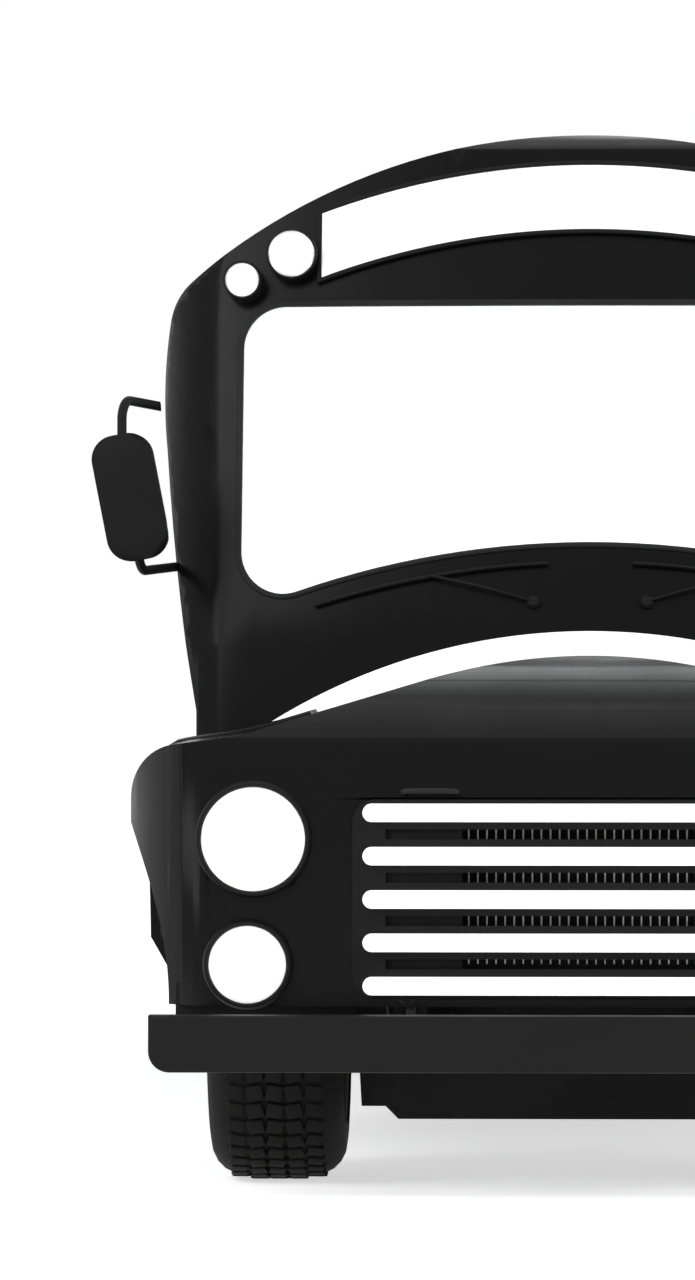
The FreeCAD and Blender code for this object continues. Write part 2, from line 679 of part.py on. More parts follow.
def cap_plan_prism(inset, low, high):
    """The cap's plan drawn straight up between two heights."""
    face, low, high = cap_plan(inset, low, high)
    face.translate(UPWARDS * low)
    return face.extrude(UPWARDS * (high - low))


def raked_plan_prism(inset):
    """The cap's plan drawn up along the lean of the windscreen."""
    face, low, high = cap_plan(inset, s.rake_height, full_height)
    face.translate(UPWARDS * low)
    fall = (high - low) * math.tan(math.radians(s.rake_angle))
    return face.extrude(Vector(0, fall, high - low))


def brow_prism(inset):
    """Side view of the cap, which rounds the brow from windscreen to roof."""
    lean = math.radians(s.rake_angle)
    front = along(s.cap_setback) - s.bonnet_gap
    top = s.roof_height + s.rub_rail_depth
    low = s.skirt_height - 3 * s.overrun
    corner = (front + (top - s.rake_height) * math.tan(lean), top)
    reach = s.brow_radius * math.tan((math.pi / 2 - lean) / 2)
    foot = (corner[0] - reach * math.sin(lean), corner[1] - reach * math.cos(lean))
    crown = (corner[0] + reach, top)
    halfway = math.pi / 4 - lean / 2
    middle = (
        crown[0] - s.brow_radius * math.sin(halfway),
        top - s.brow_radius + s.brow_radius * math.cos(halfway),
    )
    back = along(s.side_setback + 6 * s.overrun)
    wire = outline(
        "yz",
        (front, low),
        ((front, s.rake_height),),
        (foot,),
        (middle, crown),
        ((back, top),),
        ((back, low),),
    )
    return prism(wire, inset, ACROSS * -full_width, ACROSS * (2 * full_width))


def cap_envelope(inset, back):
    """Outer form of the front cap, moved inwards by an inset."""
    section = body_prism(inset, s.cap_setback - 2 * s.overrun, back)
    plan = cap_plan_prism(inset, s.skirt_height - 2 * s.overrun, s.rake_height)
    return section.common(plan.fuse(raked_plan_prism(inset))).common(brow_prism(inset))


def corner_middle(centre, radius, first, second):
    """Middle of a corner's arc, from its centre and the ends' directions."""
    direction = (first[0] + second[0], first[1] + second[1])
    length = math.hypot(*direction)
    return tuple(c + radius * d / length for c, d in zip(centre, direction))


def screen_prism(inset):
    """Opening of the windscreen, drawn through the cap's front."""
    half = s.screen_half_width - inset
    top = s.screen_top_height - inset
    corner = s.screen_corner_radius - inset
    sag = s.screen_mid_height - s.screen_end_height
    arch = (s.screen_half_width ** 2 + sag ** 2) / (2 * sag)
    arch_middle = s.screen_mid_height - arch
    arch += inset
    foot = (half - corner, arch_middle + math.sqrt((arch + corner) ** 2
                                                   - (half - corner) ** 2))
    share = arch / (arch + corner)
    touch = (foot[0] * share, arch_middle + (foot[1] - arch_middle) * share)
    down = ((touch[0] - foot[0]) / corner, (touch[1] - foot[1]) / corner)
    head = (half - corner, top - corner)
    wire = symmetric(
        "xz",
        touch,
        [
            (corner_middle(foot, corner, down, (1, 0)), (half, foot[1])),
            ((half, head[1]),),
            (corner_middle(head, corner, (1, 0), (0, 1)), (head[0], top)),
        ],
        closing=((0, arch_middle + arch),),
    )
    start = REARWARDS * along(s.cap_setback - s.overrun)
    return prism(wire, 0, start, REARWARDS * (s.side_setback - s.cap_setback))


def window_prisms(side, inset):
    """Passenger windows of one side, and the driver's window at +X."""
    reach = (s.belt_half_width - 2 * s.overrun, full_width)
    fronts = [s.window_setback + i * s.window_pitch for i in range(int(s.window_count))]
    spans = [(front, s.window_width) for front in fronts]
    if side > 0:
        spans.append((s.driver_window_setback, s.driver_window_width))
    panes = []
    for front, width in spans:
        panes.append(rounded_box(
            sorted((side * reach[0], side * reach[1])),
            (along(front) + inset, along(front + width) - inset),
            (s.window_low_height + inset, s.window_top_height - inset),
            s.window_corner_radius - inset,
            ACROSS,
        ))
    return Part.makeCompound(panes)


rear_axle_setback = s.front_axle_setback + s.wheelbase
front_axle_y = along(s.front_axle_setback)
rear_axle_y = along(rear_axle_setback)
floor_low = s.floor_height - s.floor_thickness
wall_inner = s.belt_half_width - s.wall_thickness
inner_cap = cap_envelope(s.wall_thickness, s.side_setback + s.overrun)
outer_cap = cap_envelope(0, s.side_setback)
rear_inner_setback = s.rear_wall_setback - s.wall_thickness


def rear_arch(side):
    """Cutting cylinder of a rear wheel arch."""
    start = Vector(side * (wall_inner - s.overrun), rear_axle_y, s.tyre_radius)
    return Part.makeCylinder(s.rear_arch_radius, 3 * s.overrun + s.wall_thickness, start,
                             ACROSS * side)


def portal_box(inset):
    """Opening of the entrance, smaller by an inset on each edge but the lowest."""
    start = s.portal_setback + inset
    end = s.portal_setback + s.portal_width - inset
    top = s.door_top_height + s.jamb_thickness + s.run_gap - inset
    return slab((-full_width, -wall_inner + s.overrun), (along(start), along(end)),
                (s.skirt_height - s.overrun, top))


def side_wall(side):
    """One side of the cabin from the cap to the rear wall, with rub rails and windows."""
    reach = sorted((side * (wall_inner - 2 * s.overrun), side * full_width))
    length = (along(s.side_setback), along(rear_inner_setback))
    outer = body_prism(0, s.side_setback, rear_inner_setback)
    inner = body_prism(s.wall_thickness, s.side_setback - s.overrun, s.rear_wall_setback)
    wall = outer.cut(inner).common(slab(reach, length, (s.skirt_height, s.cant_height)))
    proud = body_prism(-s.rub_rail_depth, s.side_setback, rear_inner_setback).cut(outer)
    heights = (s.low_rail_height, s.floor_rail_height, s.belt_rail_height,
               s.window_rail_height)
    for height in heights:
        band = slab(reach, length, (height, height + s.rub_rail_height))
        wall = wall.fuse(proud.common(band))
    wall = wall.cut(rear_arch(side)).cut(window_prisms(side, 0))
    if side < 0:
        wall = wall.cut(portal_box(0))
        frame = outer.common(portal_box(0)).cut(portal_box(s.jamb_thickness))
        depth = s.door_thickness + s.door_recess
        keep = slab((-full_width, -s.belt_half_width + depth), length,
                    (s.skirt_height, full_height))
        wall = wall.fuse(frame.common(keep))
        header_low = s.door_top_height + s.run_gap
        wall = wall.cut(door_pivots(header_low, s.door_pin_reach + s.pin_gap))
    return whole(wall)


def roof_seams(start):
    """Seams between the roof panels at a hatch: two beside it and two through it."""
    end = start + s.hatch_length
    places = (start - s.seam_margin, start + s.hatch_rim, end - s.hatch_rim,
              end + s.seam_margin)
    return Part.makeCompound([
        slab((-full_width, full_width), (place, place + s.seat_gap), (0, full_height))
        for place in places
    ])


def roof_shell():
    """Roof arch in panels, with the coamings of its two hatches."""
    span = (s.side_setback, rear_inner_setback)
    outer = body_prism(0, *span)
    inner = body_prism(s.wall_thickness, span[0] - s.overrun, span[1] + s.overrun)
    above = slab((-full_width, full_width), (along(span[0]), along(span[1])),
                 (s.cant_height, full_height))
    roof = outer.cut(inner).common(above)
    for index in range(2):
        start = along(s.hatch_setback + index * s.hatch_spacing)
        across = (-s.hatch_half_width, s.hatch_half_width)
        length = (start, start + s.hatch_length)
        base = s.roof_height - 2 * s.overrun
        ring = slab(across, length, (base, s.coaming_height))
        inside = slab(
            [place + sign * s.hatch_rim for place, sign in zip(across, (1, -1))],
            [place + sign * s.hatch_rim for place, sign in zip(length, (1, -1))],
            (base - s.overrun, full_height),
        )
        roof = roof.fuse([ring.cut(inner)] + hatch_fixed(index)).cut(inside)
        roof = roof.cut(roof_seams(start))
    return whole(roof)


def front_cap():
    """Front of the cabin: cowl, windscreen surround and brow in one moulding."""
    cap = outer_cap.cut(inner_cap)
    room = slab((-full_width, full_width), (along(s.cap_setback) - s.overrun, full_width * 2),
                (s.skirt_height, full_height))
    under = slab((-wall_inner, wall_inner),
                 (along(s.cap_setback) - s.overrun, along(s.side_setback) + s.overrun),
                 (s.skirt_height - s.overrun, floor_low))
    return whole(cap.common(room).cut(under).cut(screen_prism(0)))


def windscreen():
    """One bowed pane, bonded into the cap's opening."""
    pane = screen_prism(s.seat_gap).common(raked_plan_prism(s.glass_inset))
    return whole(pane.cut(raked_plan_prism(s.glass_inset + s.glass_thickness)))


def rear_wall():
    """Rear wall with the emergency door's opening and two corner windows."""
    wall = body_prism(0, rear_inner_setback, s.rear_wall_setback)
    wall = wall.common(slab((-full_width, full_width), (0, s.overall_length),
                            (s.skirt_height, full_height)))
    wall = wall.cut(rear_door_box(0)).cut(rear_panes(0)).cut(rail_slots())
    return whole(wall.fuse(rear_door_hinges()[0]))


def rail_slots():
    """Slots through which the frame rails reach the rear bumper."""
    inner = s.rail_outer - s.rail_width - s.seat_gap
    slot = slab((inner, s.rail_outer + s.seat_gap), (0, along(s.overall_length)),
                (s.rail_low - s.seat_gap, floor_low - s.bearer_height + s.seat_gap))
    return both_sides(slot)


def rear_door_box(inset):
    """Opening of the emergency door, smaller by an inset."""
    half = s.rear_door_half_width - inset
    return slab((-half, half), (along(rear_inner_setback), along(s.rear_wall_setback)),
                (s.rear_door_low + inset, s.rear_door_top - inset))


def rear_panes(inset):
    """Corner windows beside the emergency door."""
    pane = rounded_box(
        (s.rear_pane_inner + inset, s.rear_pane_outer - inset),
        (along(rear_inner_setback) - s.overrun, along(s.rear_wall_setback) + s.overrun),
        (s.rear_pane_low + inset, s.rear_pane_top - inset),
        s.window_corner_radius - inset,
        REARWARDS,
    )
    return both_sides(pane)


def rear_door_panes(inset):
    """Upper and lower windows of the emergency door."""
    half = s.rear_door_half_width - s.rear_door_rim - inset
    length = (along(rear_inner_setback) - s.overrun, along(s.rear_wall_setback) + s.overrun)
    spans = (
        (s.rear_door_low + s.rear_door_rim, s.rear_door_split_low),
        (s.rear_door_split_high, s.rear_door_top - s.rear_door_rim),
    )
    return Part.makeCompound([
        rounded_box((-half, half), length, (low + inset, high - inset),
                    s.window_corner_radius - inset, REARWARDS)
        for low, high in spans
    ])


def rear_glass_layer():
    """Upright layer in which the rear panes lie."""
    start = along(s.rear_wall_setback - s.glass_inset - s.glass_thickness)
    return slab((-full_width, full_width), (start, start + s.glass_thickness), (0, full_height))


def body_glass():
    """Side panes, driver's pane and the two rear corner panes."""
    span = (s.side_setback, rear_inner_setback)
    outer = body_prism(s.glass_inset, *span)
    inner = body_prism(s.glass_inset + s.glass_thickness, span[0] - s.overrun,
                       span[1] + s.overrun)
    layer = outer.cut(inner)
    panes = [layer.common(window_prisms(side, s.seat_gap)) for side in (1, -1)]
    panes.append(rear_glass_layer().common(rear_panes(s.seat_gap)))
    return Part.makeCompound([solid for pane in panes for solid in pane.Solids])


def floor_shape():
    """Floor with its cross bearers, wheel housings and the cut for the steps."""
    inner = body_prism(s.wall_thickness, s.side_setback - s.overrun, rear_inner_setback)
    room = inner_cap.fuse(inner)
    level = slab((-full_width, full_width), (front_face, along(rear_inner_setback)),
                 (floor_low, s.floor_height))
    floor = room.common(level)
    count = int((rear_inner_setback - s.bearer_setback) // s.bearer_pitch) + 1
    half = wall_inner - s.bearer_inset
    for index in range(count):
        start = along(s.bearer_setback + index * s.bearer_pitch)
        bearer = slab((-half, half), (start, start + s.bearer_width),
                      (floor_low - s.bearer_height, floor_low))
        floor = floor.fuse(bearer)
    length = (rear_axle_y - s.housing_half_length, rear_axle_y + s.housing_half_length)
    inside = [place + sign * s.housing_skin for place, sign in zip(length, (1, -1))]
    for side in (1, -1):
        outer = slab(sorted((side * s.housing_inner, side * wall_inner)), length,
                     (floor_low, s.housing_top))
        void = slab(sorted((side * (s.housing_inner + s.housing_skin), side * full_width)),
                    inside, (0, s.housing_top - s.housing_skin))
        floor = floor.fuse(outer.common(room)).cut(void)
    well_inner = -wall_inner + 3 * s.step_going + s.step_skin
    well = slab((-full_width, well_inner), well_span(), (0, floor_low))
    return whole(floor.cut(step_room(s.floor_height + s.overrun)).cut(well))


def well_span():
    """Front and rear faces of the step well."""
    return (along(s.portal_setback + s.jamb_thickness) - s.step_skin,
            along(s.portal_setback + s.portal_width - s.jamb_thickness) + s.step_skin)


def step_room(top):
    """Space over the steps, as wide as the portal between its jambs."""
    start = along(s.portal_setback + s.jamb_thickness)
    end = along(s.portal_setback + s.portal_width - s.jamb_thickness)
    low = s.floor_height - 3 * s.step_rise
    edge = -wall_inner + 3 * s.step_going
    room = []
    for index in range(3):
        inner = edge - index * s.step_going
        room.append(slab((-full_width, inner), (start, end), (low + (2 - index) * s.step_rise,
                                                              top)))
    return room[0].fuse(room[1:])


def step_well():
    """Three steps up from the door, as a welded well under the floor."""
    low = s.floor_height - 3 * s.step_rise - s.step_skin
    edge = -wall_inner + 3 * s.step_going + s.step_skin
    parts = []
    for index in range(3):
        inner = edge - index * s.step_going
        parts.append(slab((-wall_inner, inner), well_span(),
                          (low + (2 - index) * s.step_rise, floor_low)))
    top = s.door_low_height - s.run_gap
    sill = slab((-(s.belt_half_width - s.door_recess), -wall_inner), well_span(),
                (top - s.sill_thickness, top))
    well = parts[0].fuse(parts[1:] + [sill]).cut(step_room(s.floor_height))
    reach = s.door_pin_reach + s.pin_gap
    return whole(well.cut(door_pivots(top - reach, reach)))


def bonnet_outline():
    """Front view of the bonnet with its fenders."""
    return symmetric(
        "xz",
        (s.bonnet_foot_half_width, s.bonnet_low - s.overrun),
        [
            ((s.bonnet_foot_half_width, s.bonnet_low),),
            ((s.fender_half_width, s.fender_low),),
            ((s.fender_half_width, s.fender_high),),
            (
                (s.shoulder_mid_half_width, s.shoulder_mid_height),
                (s.fender_top_half_width, s.fender_top_height),
            ),
            ((s.crest_half_width, s.crest_foot_height),),
            ((s.crest_knee_half_width, s.crest_knee_height),),
        ],
        ((0, s.crest_height),),
    )


def bonnet_envelope(inset):
    """Outer form of the bonnet: front view, side view and plan, all inset."""
    back = along(s.cap_setback + s.corner_end_depth + s.overrun)
    low = s.bonnet_low - s.overrun
    front_view = prism(bonnet_outline(), inset, REARWARDS * (front_face - s.overrun),
                       REARWARDS * (back - front_face))
    side_view = outline(
        "yz",
        (along(s.bonnet_setback), low),
        ((along(s.bonnet_setback), s.bonnet_low),),
        ((along(s.bonnet_setback + s.nose_lean), s.nose_height),),
        (
            (along(s.nose_turn_setback), s.nose_turn_height),
            (along(s.nose_end_setback), s.nose_end_height),
        ),
        ((back, s.bonnet_rear_height),),
        ((back, low),),
    )
    side_view = prism(side_view, inset, ACROSS * -full_width, ACROSS * (2 * full_width))
    plan = symmetric(
        "xy",
        (s.fender_half_width + s.nose_lean, back),
        [
            ((s.fender_half_width + s.nose_lean, along(s.nose_side_setback)),),
            (
                (s.nose_corner_half_width, along(s.nose_corner_setback)),
                (s.nose_bow_half_width, along(s.nose_bow_setback)),
            ),
        ],
        ((0, along(s.bonnet_setback)),),
    )
    plan = prism(plan, inset, UPWARDS * (low - s.overrun), UPWARDS * full_height)
    return front_view.common(side_view).common(plan)


def lamp_places():
    """Offset, height and radius of the four lamps at +X and -X."""
    return (
        (s.headlamp_offset, s.headlamp_height, s.headlamp_radius),
        (s.low_lamp_offset, s.low_lamp_height, s.low_lamp_radius),
    )


def lamp_cylinders(front, length, inset):
    """Cylinders along the bus at the lamps' places on the +X side."""
    return [
        Part.makeCylinder(radius - inset, length, Vector(offset, along(front), height),
                          REARWARDS)
        for offset, height, radius in lamp_places()
    ]


def grille_box(inset, front, depth):
    """Rounded box of the grille opening."""
    half = s.grille_half_width - inset
    return rounded_box(
        (-half, half),
        (along(front), along(front + depth)),
        (s.grille_low + inset, s.grille_top - inset),
        s.grille_corner_radius - inset,
        REARWARDS,
    )


bonnet_inner = bonnet_envelope(s.bonnet_skin)
bonnet_outer = bonnet_envelope(0)
cap_keep_out = cap_plan_prism(-s.bonnet_gap, 0, full_height)
grille_front = s.bonnet_setback + s.bar_depth


def hinge_lugs():
    """Lugs under the nose that carry the bonnet on its two hinge pins."""
    lugs = []
    for side in (1, -1):
        start = side * (s.hinge_offset - s.hinge_lug_width / 2)
        pivot = Vector(start, along(s.hinge_setback), s.hinge_height)
        run = ACROSS * (side * s.hinge_lug_width)
        eye = Part.makeCylinder(s.hinge_lug_radius, s.hinge_lug_width, pivot, run)
        reach = s.bonnet_setback + s.bonnet_skin
        arm = outline(
            "yz",
            (along(s.hinge_setback), s.hinge_height + s.hinge_lug_radius),
            ((along(s.hinge_setback), s.hinge_height - s.hinge_lug_radius),),
            ((along(reach), s.bonnet_low),),
            ((along(reach), s.grille_low),),
            ((along(s.bonnet_setback), s.grille_low),),
            ((along(s.bonnet_setback), s.bonnet_low),),
        )
        arm = prism(arm, 0, ACROSS * start, run)
        bore = Part.makeCylinder(s.hinge_pin_radius + s.pin_gap, s.hinge_lug_width, pivot, run)
        lugs.append(eye.fuse(arm).cut(bore))
    return lugs


def bonnet():
    """Tilting bonnet and fenders in one moulding, open below and at the rear."""
    shell = bonnet_outer.cut(bonnet_inner).cut(cap_keep_out)
    above = slab((-full_width, full_width), (front_face, 0), (s.bonnet_low, full_height))
    shell = shell.common(above)
    for side in (1, -1):
        middle = Vector(side * (s.front_tyre_inner + s.front_tyre_width), front_axle_y,
                        s.tyre_radius)
        shell = shell.cut(Part.makeCylinder(s.front_arch_radius, full_width, middle,
                                            ACROSS * side))
    shell = shell.cut(grille_box(0, 0, s.engine_setback))
    for cylinder in lamp_cylinders(0, s.engine_setback, 0):
        shell = shell.cut(cylinder).cut(mirrored(cylinder))
    return whole(shell.fuse(hinge_lugs()))


def grille_panel():
    """Black panel in the grille opening, with air slots between the bars."""
    panel = grille_box(s.seat_gap, grille_front, s.grille_depth)
    half = s.bar_half_width - s.grille_corner_radius
    for index in range(int(s.bar_count) - 1):
        middle = s.bar_low + (index + 1 / 2) * s.bar_pitch
        slot = slab((-half, half), (along(grille_front - s.overrun),
                                    along(grille_front + s.overrun)),
                    (middle - s.slot_height / 2, middle + s.slot_height / 2))
        panel = panel.cut(slot)
    return whole(panel)


def grille_bars():
    """Five bright bars with round ends, side by side on the panel."""
    bars = []
    for index in range(int(s.bar_count)):
        middle = s.bar_low + index * s.bar_pitch
        bars.append(rounded_box(
            (-s.bar_half_width, s.bar_half_width),
            (along(grille_front - s.bar_depth), along(grille_front)),
            (middle - s.bar_height / 2, middle + s.bar_height / 2),
            s.bar_height / 2 - s.seat_gap,
            REARWARDS,
        ))
    return Part.makeCompound(bars)


def crescent_trim():
    """Bright crescent that stands along the bonnet's rear edge."""
    wire = outline(
        "xz",
        (-s.crest_half_width, s.crest_foot_height),
        ((-s.crest_knee_half_width, s.crest_knee_height),),
        ((0, s.crest_height), (s.crest_knee_half_width, s.crest_knee_height)),
        ((s.crest_half_width, s.crest_foot_height),),
        ((s.crest_half_width, s.crest_foot_height + s.crescent_tip),),
        ((0, s.crescent_height), (-s.crest_half_width, s.crest_foot_height + s.crescent_tip)),
    )
    band = prism(wire, 0, REARWARDS * along(s.nose_side_setback),
                 REARWARDS * (s.side_setback - s.nose_side_setback))
    ahead = cap_plan_prism(-s.bonnet_gap - s.crescent_thickness, 0, full_height)
    return whole(band.common(ahead).cut(cap_keep_out))


def front_lamps():
    """Buckets of the headlamps and the lower lamps."""
    front = s.nose_bow_setback - s.nose_lean - s.lamp_stand_out
    cylinders = lamp_cylinders(front, s.lamp_depth, s.seat_gap)
    return Part.makeCompound(cylinders + [mirrored(cylinder) for cylinder in cylinders])


def sign_panel():
    """Blank arched panel over the windscreen."""
    wire = outline(
        "xz",
        (-s.sign_half_width, s.sign_end_low),
        ((0, s.sign_mid_low), (s.sign_half_width, s.sign_end_low)),
        ((s.sign_half_width, s.sign_end_high),),
        ((0, s.sign_mid_high), (-s.sign_half_width, s.sign_end_high)),
    )
    band = prism(wire, 0, REARWARDS * along(s.cap_setback), REARWARDS * s.side_setback)
    proud = cap_envelope(-s.sign_thickness, s.side_setback)
    return whole(proud.common(band).cut(outer_cap))


def roof_lamps():
    """Two lamps on each side of the brow, seated on its curve."""
    lean = math.tan(math.radians(s.rake_angle))
    lamps = []
    places = (
        (s.outer_lamp_offset, s.outer_lamp_height, s.outer_lamp_radius),
        (s.inner_lamp_offset, s.inner_lamp_height, s.inner_lamp_radius),
    )
    for offset, height, radius in places:
        fall = s.bow_depth * (offset / s.bow_half_width) ** 2
        front = s.cap_setback + (height - s.rake_height) * lean + fall - s.roof_lamp_length
        lamp = Part.makeCylinder(radius, 3 * s.roof_lamp_length,
                                 Vector(offset, along(front), height), REARWARDS)
        lamps.append(whole(lamp.cut(raked_plan_prism(0))))
    return Part.makeCompound(lamps + [mirrored(lamp) for lamp in lamps])


def mirror():
    """Mirror head at +X with its two bent arms down to the cap's side."""
    half = s.mirror_width / 2
    head = rounded_box(
        (-half, half),
        (0, s.mirror_depth),
        (-s.mirror_length / 2, s.mirror_length / 2),
        s.mirror_corner_radius,
        REARWARDS,
    )
    head.rotate(Vector(), REARWARDS, s.mirror_lean)
    head.translate(Vector(s.mirror_middle, along(s.mirror_setback), s.mirror_height))
    parts = [head]
    behind = along(s.mirror_setback) + s.mirror_depth / 2
    lean = math.sin(math.radians(s.mirror_lean))
    for sign, foot_height in ((1, s.upper_arm_foot_height), (-1, s.lower_arm_foot_height)):
        reach = sign * (s.mirror_length / 2 - s.mirror_arm_bend)
        top = Vector(s.mirror_middle + lean * reach, behind, s.mirror_height + reach)
        rise = Vector(top.x, top.y, foot_height + sign * s.mirror_arm_bend / 2)
        foot = Vector(s.belt_half_width, along(s.arm_foot_setback), foot_height)
        parts.append(bent_bar(s.mirror_arm_radius, s.mirror_arm_bend, [top, rise, foot]))
    keep_out = body_prism(0, s.cap_setback, s.side_setback)
    return whole(parts[0].fuse(parts[1:]).cut(keep_out))


front_pieces = [
    shaped("bonnet", bonnet()),
    shaped("grille_panel", grille_panel()),
    shaped("grille_bars", grille_bars()),
    shaped("crescent_trim", crescent_trim()),
    shaped("front_lamps", front_lamps()),
    shaped("sign_panel", sign_panel()),
    shaped("roof_lamps", roof_lamps()),
    shaped("mirrors", both_sides(mirror())),
]


# Chassis frame, from boxes bound to the sheet
def frame_rail(side):
    """One channel rail, open towards the middle."""
    outer = f"{side} * rail_outer"
    inner = f"{side} * (rail_outer - rail_width)"
    web = f"{side} * (rail_outer - rail_skin)"
    low, high = (inner, outer) if side > 0 else (outer, inner)
    hollow = (inner, web) if side > 0 else (web, inner)
    length = (station("rail_setback"), station("overall_length - rear_bumper_depth"))
    name = "left" if side > 0 else "right"
    rail_top = "floor_height - floor_thickness - bearer_height"
    channel = block(f"{name}_rail_bar", (low, high), length, ("rail_low", rail_top))
    void = block(f"{name}_rail_hollow", (hollow[0], hollow[1]), length,
                 ("rail_low + rail_skin", f"{rail_top} - rail_skin"))
    return carved(f"{name}_rail", channel, void)


def cross_member(name, setback, low, half):
    """Cross member between or under the rails."""
    return block(name, (f"-{half}", half), (station(setback), station(f"{setback} + cross_width")),
                 (low, f"{low} + cross_depth"))


def jack_pad(name, sign):
    """Square pad under a rail, where a jack lifts the rear of the bus."""
    across = [f"{sign}(rail_outer - rail_width)", f"{sign}rail_outer"]
    length = (station("jack_pad_setback"), station("jack_pad_setback + jack_pad_length"))
    return block(name, across[::-1] if sign else across, length,
                 ("rail_low - jack_pad_thickness", "rail_low"))


def bumper_bracket(side):
    """Plate from a rail's front end down to the bumper, with the bonnet's hinge pin."""
    inner = s.rail_outer - s.rail_width
    span = sorted((side * inner, side * s.rail_outer))
    low = s.bumper_low + s.bumper_skin
    back = along(s.radiator_setback - s.bumper_skin)
    plate = slab(span, (along(s.rail_setback), back), (low, s.rail_low))
    foot = slab(span, (along(s.bumper_skin), back), (low, s.bumper_top - s.bumper_skin))
    pin = round_bar(s.hinge_pin_radius,
                    Vector(side * inner, along(s.hinge_setback), s.hinge_height),
                    Vector(side * (s.hinge_offset + s.hinge_lug_width), along(s.hinge_setback),
                           s.hinge_height))
    return plate.fuse([foot, pin])


def chassis_frame():
    """Rails with the cross members, jack pads and front brackets riveted to them."""
    pieces = [frame_rail(1), frame_rail(-1)]
    low = "rail_low - cross_depth"
    pieces.append(cross_member("front_engine_cross", "front_cross_setback", low, "rail_outer"))
    pieces.append(cross_member("rear_engine_cross", "rear_cross_setback", low, "rail_outer"))
    for index in range(int(s.inner_cross_count)):
        setback = f"inner_cross_setback + {index} * inner_cross_pitch"
        low = "floor_height - floor_thickness - bearer_height - rail_skin - cross_depth"
        pieces.append(cross_member(f"inner_cross_{index + 1}", setback, low,
                                   "(rail_outer - rail_skin)"))
    for side in (1, -1):
        name = "left" if side > 0 else "right"
        pieces.append(shaped(f"{name}_bumper_bracket", bumper_bracket(side)))
        pieces.append(jack_pad(f"{name}_jack_pad", "-" if side < 0 else ""))
    return grouped("chassis_frame", pieces)


def bumper(name, half, low, top, front, depth, face):
    """Channel bumper with rounded lower corners, open on its inner side."""
    bar = low_rounded_box((-half, half), (front, front + depth), (low, top),
                          s.bumper_corner_radius)
    plane = front if face < 0 else front + depth
    edges = [edge for edge in bar.Edges
             if round(edge.BoundBox.YMin - plane) == 0 == round(edge.BoundBox.YMax - plane)]
    bar = bar.makeFillet(s.bumper_edge_radius, edges)
    hollow_front = front + s.bumper_skin if face < 0 else front - s.overrun
    hollow_back = front + depth + s.overrun if face < 0 else front + depth - s.bumper_skin
    inner = half - s.bumper_skin
    hollow = low_rounded_box((-inner, inner), (hollow_front, hollow_back),
                             (low + s.bumper_skin, top - s.bumper_skin),
                             s.bumper_corner_radius - s.bumper_skin)
    return shaped(name, whole(bar.cut(hollow)))


def rear_bumper():
    """Rear bumper with the two plates that hold it on the rails."""
    front = along(s.overall_length - s.rear_bumper_depth)
    bar = bumper("rear_bumper_bar", s.rear_bumper_half_width, s.rear_bumper_low,
                 s.rear_bumper_top, front, s.rear_bumper_depth, 1)
    plates = []
    for side in (1, -1):
        span = sorted((side * (s.rail_outer - s.rail_width), side * s.rail_outer))
        plate = slab(span, (front, front + s.rear_bumper_depth - s.bumper_skin),
                     (s.rear_bumper_low + s.bumper_skin, s.rear_bumper_top - s.bumper_skin))
        plates.append(shaped(f"rear_bumper_plate_{'left' if side > 0 else 'right'}", plate))
    return joined("rear_bumper", [bar] + plates)


def engine_block():
    """Engine and gearbox as one plain block on the engine cross members."""
    engine = block("engine", ("-engine_half_width", "engine_half_width"),
                   (station("engine_setback"), station("engine_setback + engine_length")),
                   ("rail_low", "rail_low + engine_height"))
    start = "engine_setback + engine_length"
    gearbox = block("gearbox", ("-gearbox_half_width", "gearbox_half_width"),
                    (station(start), station(f"{start} + gearbox_length")),
                    ("rail_low", "rail_low + gearbox_height"))
    return joined("engine_block", [engine, gearbox])


def radiator():
    """Radiator core between the rails."""
    half = "(rail_outer - rail_width)"
    return block("radiator", (f"-{half}", half),
                 (station("radiator_setback"), station("radiator_setback + radiator_depth")),
                 ("radiator_low", "radiator_top"))


def leaf_spring(middle, setback, seat, rise, width):
    """Pack of curved leaves with its eyes' hangers, from its seat upwards."""
    leaves = []
    length = s.spring_half_length
    radius = (length ** 2 + rise ** 2) / (2 * rise)
    count = int(s.leaf_count)
    top = seat + count * s.leaf_thickness
    for index in range(count):
        share = 1 - index * s.leaf_step_share
        inner = radius + index * s.leaf_thickness
        outer = inner + s.leaf_thickness
        angle = math.asin(length / radius) * share
        centre = top + radius
        points = []
        for reach in (inner, outer):
            points.append((reach * math.sin(angle), centre - reach * math.cos(angle)))
        wire = outline(
            "yz",
            (-points[0][0], points[0][1]),
            ((0, centre - inner), points[0]),
            (points[1],),
            ((0, centre - outer), (-points[1][0], points[1][1])),
        )
        leaves.append(prism(wire, 0, Vector(middle - width / 2, along(setback), 0),
                            ACROSS * width))
    return leaves[0].fuse(leaves[1:])


def spring_hangers(middle, setback, seat, rise, width, rail_side):
    """Blocks at both ends of a spring that hold it on the rail."""
    eye = seat + int(s.leaf_count) * s.leaf_thickness + rise
    blocks = []
    for sign in (1, -1):
        end = along(setback) + sign * s.spring_half_length
        span = sorted((end, end - sign * s.hanger_length))
        side = (min(middle - width / 2, rail_side), middle + width / 2)
        blocks.append(slab(side, span, (eye - s.leaf_thickness,
                                        max(eye + s.leaf_thickness, s.rail_low))))
    return blocks


def springs(name, middle, setback, seat, rise, rail_side):
    """Both springs of an axle with their hangers."""
    pack = leaf_spring(middle, setback, seat, rise, s.leaf_width)
    pack = pack.fuse(spring_hangers(middle, setback, seat, rise, s.leaf_width, rail_side))
    return both_sides(whole(pack))


